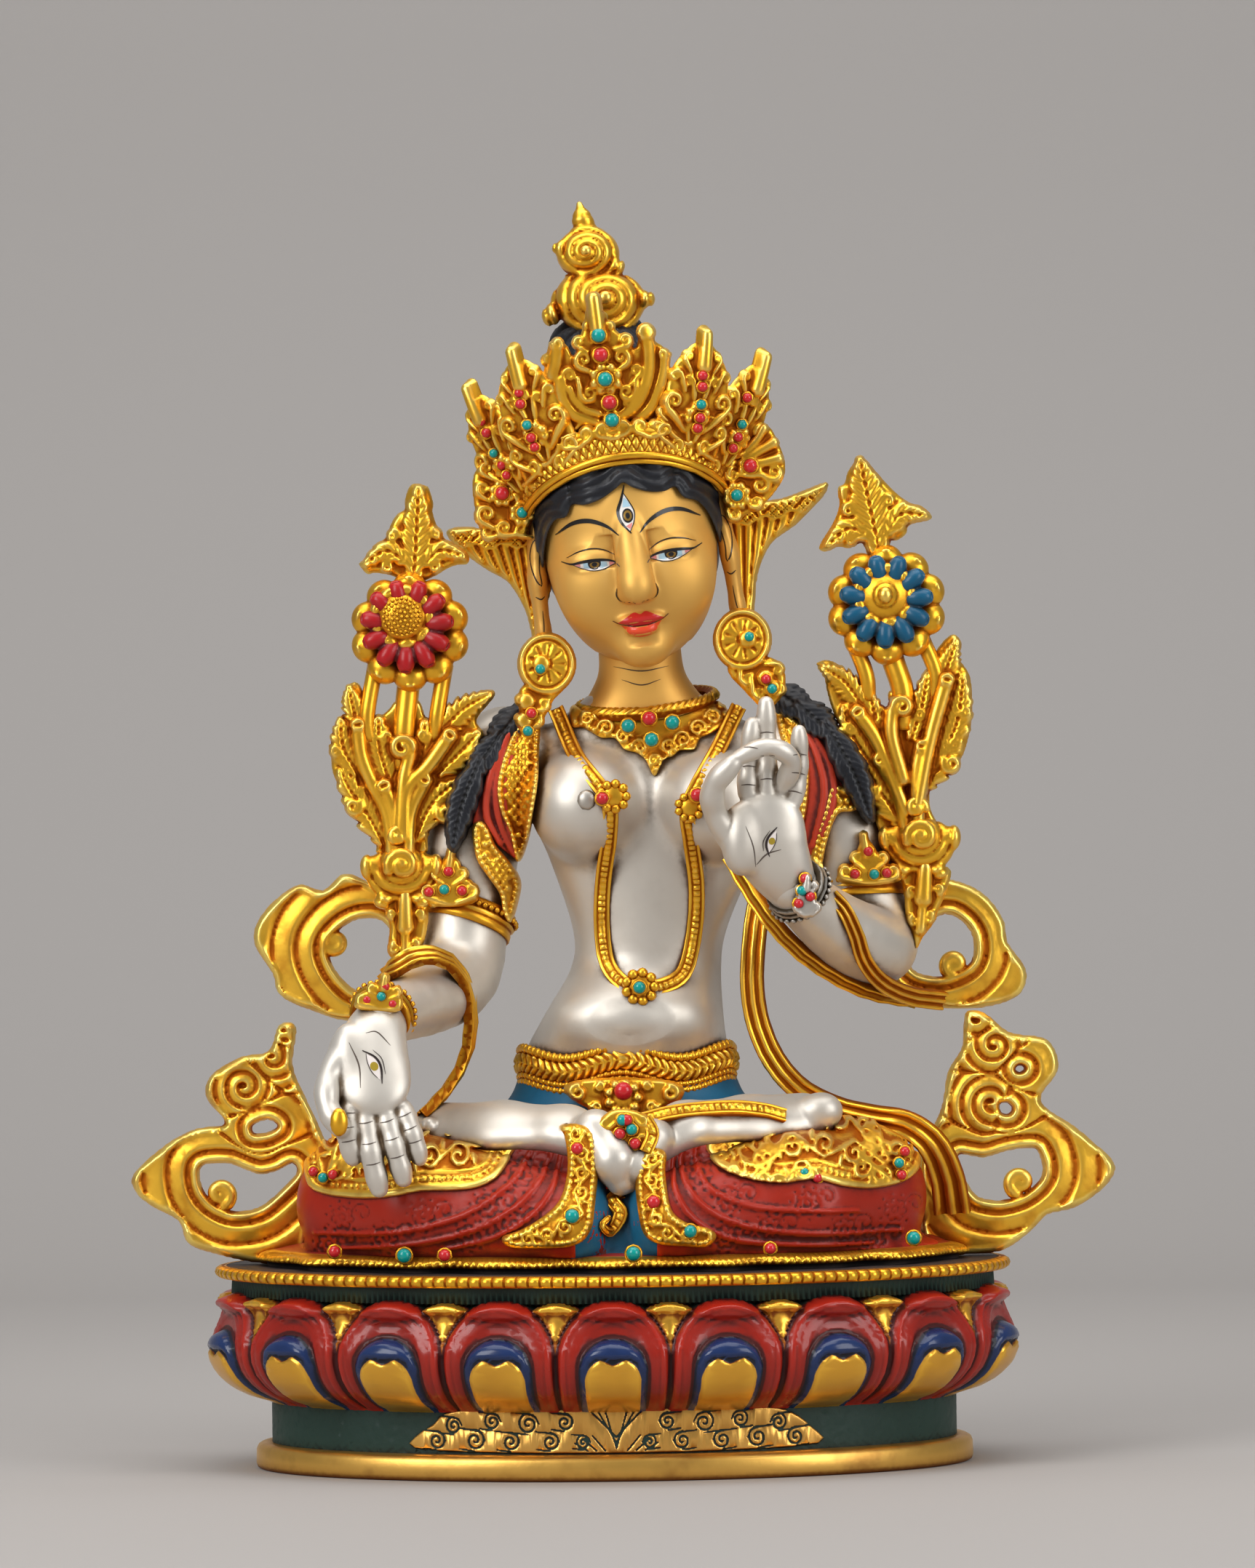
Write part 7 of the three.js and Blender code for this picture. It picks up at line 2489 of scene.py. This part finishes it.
# Ear ornaments
for name, x, z, side, hang, coils, bosses in (
    (
        "right", -15.8, 162.4, -1,
        [
            (-22.0, 157), (-23.6, 151.8), (-23.4, 149.4), (-24.3, 146.6), (-21.9, 143.2), (-18.3, 145.2),
            (-15.8, 149.3), (-13.9, 152.8), (-11.6, 156)
        ],
        [
            (-20, 149.6, -16.6, 151.4, 2.2, 1), (-20.6, 144.6, -18.4, 147.2, 2.0, 1),
            (-20.4, 154.4, -23, 152.6, 1.9, 1), (-21.6, 148.6, -23.6, 147.8, 1.6, -1)
        ],
        [(-21.3, 152.2), (-22.2, 146.9)]
    ),
    (
        "left", 37.2, 168.3, 1,
        [
            (34.5, 163), (33.3, 159.4), (37.0, 155), (40.0, 151.8), (43.2, 148.6), (45.8, 150.6),
            (47.9, 153), (48.8, 156.6), (48.2, 160), (44.9, 163.4)
        ],
        [
            (36.4, 161.8, 38.4, 157.8, 2.6, 1), (39.4, 159, 41.6, 154, 2.4, 1),
            (43.4, 161.6, 46.6, 160, 2.3, -1), (44.4, 152.6, 47.2, 155, 2.0, 1)
        ],
        [(43.3, 157.8), (45.0, 155.2)]
    )
):
    edge = [(x + 7.9 * math.cos(a), z + 8.6 * math.sin(a)) for a in np.linspace(0, TAU, 28, endpoint=False)]
    work = Relief((x - 12, z - 22), (x + 14, z + 11), 0.3)
    work.shape(edge, 1.0, 1)
    ring = np.linspace(0, TAU, 40)
    for r, wide in ((7.1, 0.9), (5.4, 0.55)):
        work.tube(np.stack([x + r * np.cos(ring), z + 1.06 * r * np.sin(ring)], 1), wide, 1.6)
    for k in range(9):
        a = TAU * (k + 0.5) / 9
        way = np.array([math.cos(a), math.sin(a)])
        work.tube([(x, z) + 2.0 * way, (x, z) + 4.5 * way], 0.8, 1.7, 0.9, 0.9)
    work.dot(x + 1.4 * side, z, 2.4, 2.6, 0.4)
    work.shape(hang, 0.9, 3)
    for from_x, from_z, cx, cz, r, hand in coils:
        work.scroll((from_x, from_z), cx, cz, r, hand, 1.2)
    for cx, cz in bosses:
        work.dot(cx, cz, 2.3, 2.0, 0.4)
    cast(f"ear_ornament_{name}", work.clay(-12.4, 3.0, 1.4), gilt)

# Belt drop, anklet and strap
drop_edge = [
    (-12.6, 47.3), (-9.6, 49.6), (2.2, 50.4), (16, 49.4), (20, 47), (18.4, 43.6), (13.6, 41.6),
    (11.4, 36.6), (4, 34.6), (-3.4, 35.8), (-4.6, 41), (-9.4, 44)
]
work = Relief((-15, 31), (23, 54), 0.3)
work.shape(drop_edge, 1.0)
for x, z, r, start, hand in (
    (-8.8, 46.6, 3.0, 90, 1), (-4.0, 42.6, 2.2, 180, 1), (-1.4, 38.0, 2.4, 180, 1),
    (-3.0, 48.0, 1.8, 90, -1), (16.2, 46.2, 3.0, 90, -1), (11.2, 42.6, 2.2, 0, -1), (8.8, 38.4, 2.4, 0, -1),
    (10.2, 48.0, 1.8, 90, 1), (3.8, 36.8, 1.8, -90, 1)
):
    work.coil(x, z, r, start, hand, 1.5)
for k in range(9):
    a = TAU * k / 9
    work.dot(3.4 + 3.9 * math.cos(a), 45.0 + 3.9 * math.sin(a), 1.5, 1.9, 1.0)
work.dot(3.4, 45, 3.0, 2.2, 0.3)
cast("belt_drop", work.clay(-17.4, 5.0, 1.4), gilt)
crest(
    "anklet_crest",
    [
        (-5, 37.6), (-3, 40.4), (0.4, 43), (5, 43.2), (9.4, 41.4), (10.8, 37), (10.4, 32.6), (6, 31.4),
        (1.6, 33.4), (-2.2, 35)
    ],
    [
        (2.6, 40.6, -1.0, 39.6, 2.0, -1), (3.4, 35, 0.2, 35.6, 1.9, 1), (5.4, 41.6, 8.6, 40.2, 2.0, 1),
        (5, 34.4, 8.6, 34.8, 2.0, -1)
    ],
    [(-2, 36.6), (-5, 35.4)], -50.4
)
strap = smooth([
    (8, -47, 39.8), (15.8, -44, 41.6), (23.6, -41.5, 42.4), (33.3, -38, 42.6), (41.1, -34.5, 41.6),
    (46.5, -32, 40)
], 6)
band(trim, strap, (0, -0.9, 0.45), 1.9, string, 0.45, 11)
anklet_turn = smooth([(9, -49.5, 40.6), (11, -50.5, 36.5), (9, -52.5, 31.5)], 6)
band(trim, anklet_turn, (0.2, -0.95, 0.2), 1.8, string, 0.45, 11)
sash = smooth([(2.8, 20.4), (0.2, 19.2), (2.4, 15.4), (-0.3, 10.9), (-2.4, 12.6), (-1.2, 14.2)], 6)
sash_path = on_front(front_body, sash) - (0, 0.3, 0)
band(trim, sash_path, (0, -1, 0), [1.2, 1.8, 2.0, 1.6, 1.0, 0.7], string, 0.35, 11)


# Stones in gold settings
stone_rows = {
    "crown_centre": "TRTRT", "crown_right": "RTR", "crown_left": "RTR", "crown_outer_right": "RTR",
    "crown_outer_left": "RTR", "ear_right": "TR", "ear_left": "TR", "collar": "RTTT", "necklace": "RRT",
    "armlet_right": "RTR", "armlet_left": "RRT", "bracelet_right": "T", "bracelet_left": "T", "belt": "R",
    "knee_right": "T", "knee_left": "TT"
}
fronts = {
    "armlet_right": -10.4, "armlet_left": -12.4, "bracelet_right": -49.8, "bracelet_left": -40.8,
    "ear_right": -15.6, "ear_left": -15.6, "belt": -20.6
}
gems = {"R": Heap(), "T": Heap()}
stands_for = {"R": [], "T": []}
spots = {}


def gem(colour, centre, r):
    """A domed stone in a ring of gold wire."""
    x, y, z = centre
    bead(gems[colour], (x, y, z), (r, 0.85 * r, r), STONE)
    ring = np.linspace(0, TAU, 18, endpoint=False)
    path = np.stack([x + 1.08 * r * np.cos(ring), y + 0.45 * r + 0 * ring, z + 1.08 * r * np.sin(ring)], 1)
    sweep(trim, path, rounded(6, 0.42, 0.5), (0, -1, 0), closed=True)


for row, colours in stone_rows.items():
    for number, colour in enumerate(colours, 1):
        node = f"stone_{row}_{number}"
        low, high = (np.array(corner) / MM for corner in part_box(node))
        centre = (low + high) / 2 - (0, 0, PLINTH_TOP)
        size = (high - low)[[0, 2]].mean() / 2
        forward = 2.6 if row.startswith("crown") else 1.2
        centre[1] = fronts.get(row, centre[1] - forward)
        spots[row, number] = centre
        stands_for[colour].append(node)
        gem(colour, centre, 1.05 * size)


# Small stones beside those of the rows: (row, number, shift, colour)
side_stones = (
    ("crown_right", 1, (0.3, 0, -3.0), "R"), ("crown_right", 2, (1.1, 0.3, -3.4), "R"),
    ("crown_left", 1, (-0.1, 0, -3.0), "R"), ("crown_left", 2, (-0.3, 0.3, -3.6), "R"),
    ("crown_outer_right", 1, (1.2, 0, -3.0), "R"), ("crown_outer_right", 2, (2.2, 0.3, -3.2), "R"),
    ("crown_outer_left", 2, (-1.2, 0.3, -3.4), "R"), ("bracelet_right", 1, (-3.9, 0.8, -0.9), "R"),
    ("bracelet_right", 1, (0.9, 0.2, 2.6), "R"), ("bracelet_right", 1, (3.0, 0.8, -2.0), "R"),
    ("bracelet_left", 1, (0.9, 0.3, 3.2), "R"), ("bracelet_left", 1, (2.2, 0.3, -1.6), "R"),
    ("bracelet_left", 1, (-0.9, 0.3, -3.4), "R"), ("armlet_right", 2, (-4.2, 0, -0.6), "R"),
    ("armlet_left", 3, (3.4, 0, 0.3), "R"), ("knee_right", 1, (-2.6, 0.6, 1.6), "R"),
    ("knee_right", 1, (2.7, -0.4, 0.8), "R"), ("knee_left", 1, (-3.1, -0.2, -1.2), "R"),
    ("knee_left", 1, (3.5, 0.2, -1.4), "R"), ("knee_left", 2, (0.6, 0.2, -3.2), "R"),
    ("knee_left", 2, (1.6, 0.8, 3.0), "R"), ("ear_right", 2, (-1.0, 0.2, -4.8), "T"),
    ("ear_left", 2, (1.6, 0.2, -2.6), "T")
)
for row, number, shift, colour in side_stones:
    gem(colour, spots[row, number] + np.array(shift, float), 1.35)
for x, y, z, colour, r in (
    (-27.3, -12.3, 208.7, "R", 1.9), (-21.9, -12.3, 203.4, "T", 1.5), (39.9, -12.3, 215.3, "R", 1.9),
    (36.2, -12.3, 207.4, "T", 1.6), (-74.1, -39, 5.6, "R", 1.6), (-55.2, -50.4, 5.0, "T", 1.9),
    (-44.4, -54.4, 5.2, "R", 1.6), (5.7, -60.4, 5.4, "T", 1.9), (42.0, -55.4, 6.0, "R", 1.5),
    (80.8, -33, 7.0, "T", 1.8)
):
    gem(colour, (x, y, z), r)
for x, z, colour, r in (
    (-8.9, 33.1, "R", 1.6), (-10.4, 15.5, "T", 1.9), (11.2, 18.8, "R", 1.8), (20.8, 11.0, "T", 1.7)
):
    gem(colour, (x, float(front_body.front(x, z)) - 2.2, z), r)
for x, z, colour in (
    (3.2, 40.4, "T"), (4.4, 40.4, "R"), (2.5, 36.8, "R"), (5.6, 37.9, "T"), (6.5, 34.1, "R")
):
    gem(colour, (x, -52.6, z), 1.5)
bead(trim, (-71.6, -62.6, 41.2), (2.4, 1.5, 3.8), STONE)
gems["R"].build("coral_stones", coral, replaced=stands_for["R"], slot="coral")
gems["T"].build("turquoise_stones", turquoise, replaced=stands_for["T"], slot="turquoise")
trim.build("trim", gilt)


# Stage, light and camera
def plain(name, near, far):
    """A dull finish that turns from one colour to another towards the back and top; on the backdrop this is
    a painted shade, darker there.
    """
    tree = Tree(name)
    place = tree.node("TexCoord", out=3)
    depth = tree.node("SeparateXYZ", (0, place), out=1)
    height = tree.node("SeparateXYZ", (0, place), out=2)
    share = tree.span(tree.math("ADD", depth, height), 0.35, 1.25)
    tree.put(tree.shader.inputs["Base Color"], tree.blend(share, near, far))
    tree.shader.inputs["Roughness"].default_value = 0.9
    return tree.material


# The backdrop as (y, z) in metres: a floor, a round bend and a wall
BEND_START, BEND_RADIUS = 0.7, 0.5
bend = [(-3, 0), (BEND_START, 0)]
for a in np.linspace(0.1, math.pi / 2, 14):
    bend.append((BEND_START + BEND_RADIUS * math.sin(a), BEND_RADIUS - BEND_RADIUS * math.cos(a)))
bend.append((BEND_START + BEND_RADIUS, 3))
mesh = bpy.data.meshes.new("backdrop")
half_wide = [3, 3] + [0.95] * (len(bend) - 2)
mesh.from_pydata(
    [(x * w, y, z) for (y, z), w in zip(bend, half_wide) for x in (-1, 1)], [],
    [(2 * k, 2 * k + 1, 2 * k + 3, 2 * k + 2) for k in range(len(bend) - 1)]
)
mesh.polygons.foreach_set("use_smooth", [True] * len(mesh.polygons))
# The backdrop is painted slightly darker towards the back and top, as shade.
mesh.materials.append(plain("backdrop_grey", (0.385, 0.361, 0.342), (0.37, 0.35, 0.335)))
backdrop = bpy.data.objects.new("backdrop", mesh)
bpy.context.scene.collection.objects.link(backdrop)


def lamp(name, place, target, width, height, watts):
    data = bpy.data.lights.new(name, "AREA")
    data.shape, data.size, data.size_y, data.energy = "RECTANGLE", width, height, watts
    made = bpy.data.objects.new(name, data)
    made.location = place
    made.rotation_euler = (Vector(target) - Vector(place)).to_track_quat("-Z", "Y").to_euler()
    bpy.context.scene.collection.objects.link(made)


lamp("key_left", (-0.9, -1.0, 0.8), (0, 0, 0.17), 0.7, 0.9, 13)
lamp("fill_right", (1.0, -0.8, 0.55), (0, 0, 0.15), 0.6, 0.9, 7.5)
lamp("top", (0, -0.3, 1.2), (0, 0, 0.15), 1.2, 0.7, 7.5)
lamp("backdrop", (0, 0.2, 1.5), (0, 1.2, 0.35), 2.0, 0.5, 9)
world = bpy.data.worlds.new("studio")
bpy.context.scene.world = world
world.use_nodes = True
world.node_tree.nodes["Background"].inputs[0].default_value = (0.74, 0.75, 0.78, 1)
world.node_tree.nodes["Background"].inputs[1].default_value = 0.32

bpy.context.scene.view_settings.view_transform = "Standard"
camera = bpy.data.cameras.new("camera")
camera.sensor_fit, camera.sensor_height, camera.lens = "VERTICAL", 36, 177.1
eye = bpy.data.objects.new("camera", camera)
eye.matrix_world = (
    Matrix.Translation((0.00565, -2.1, 0.1846)) @ Matrix.Rotation(math.pi / 2, 4, "X")
    @ Matrix.Rotation(math.radians(-0.7), 4, "Z")
)
bpy.context.scene.collection.objects.link(eye)
bpy.context.scene.camera = eye
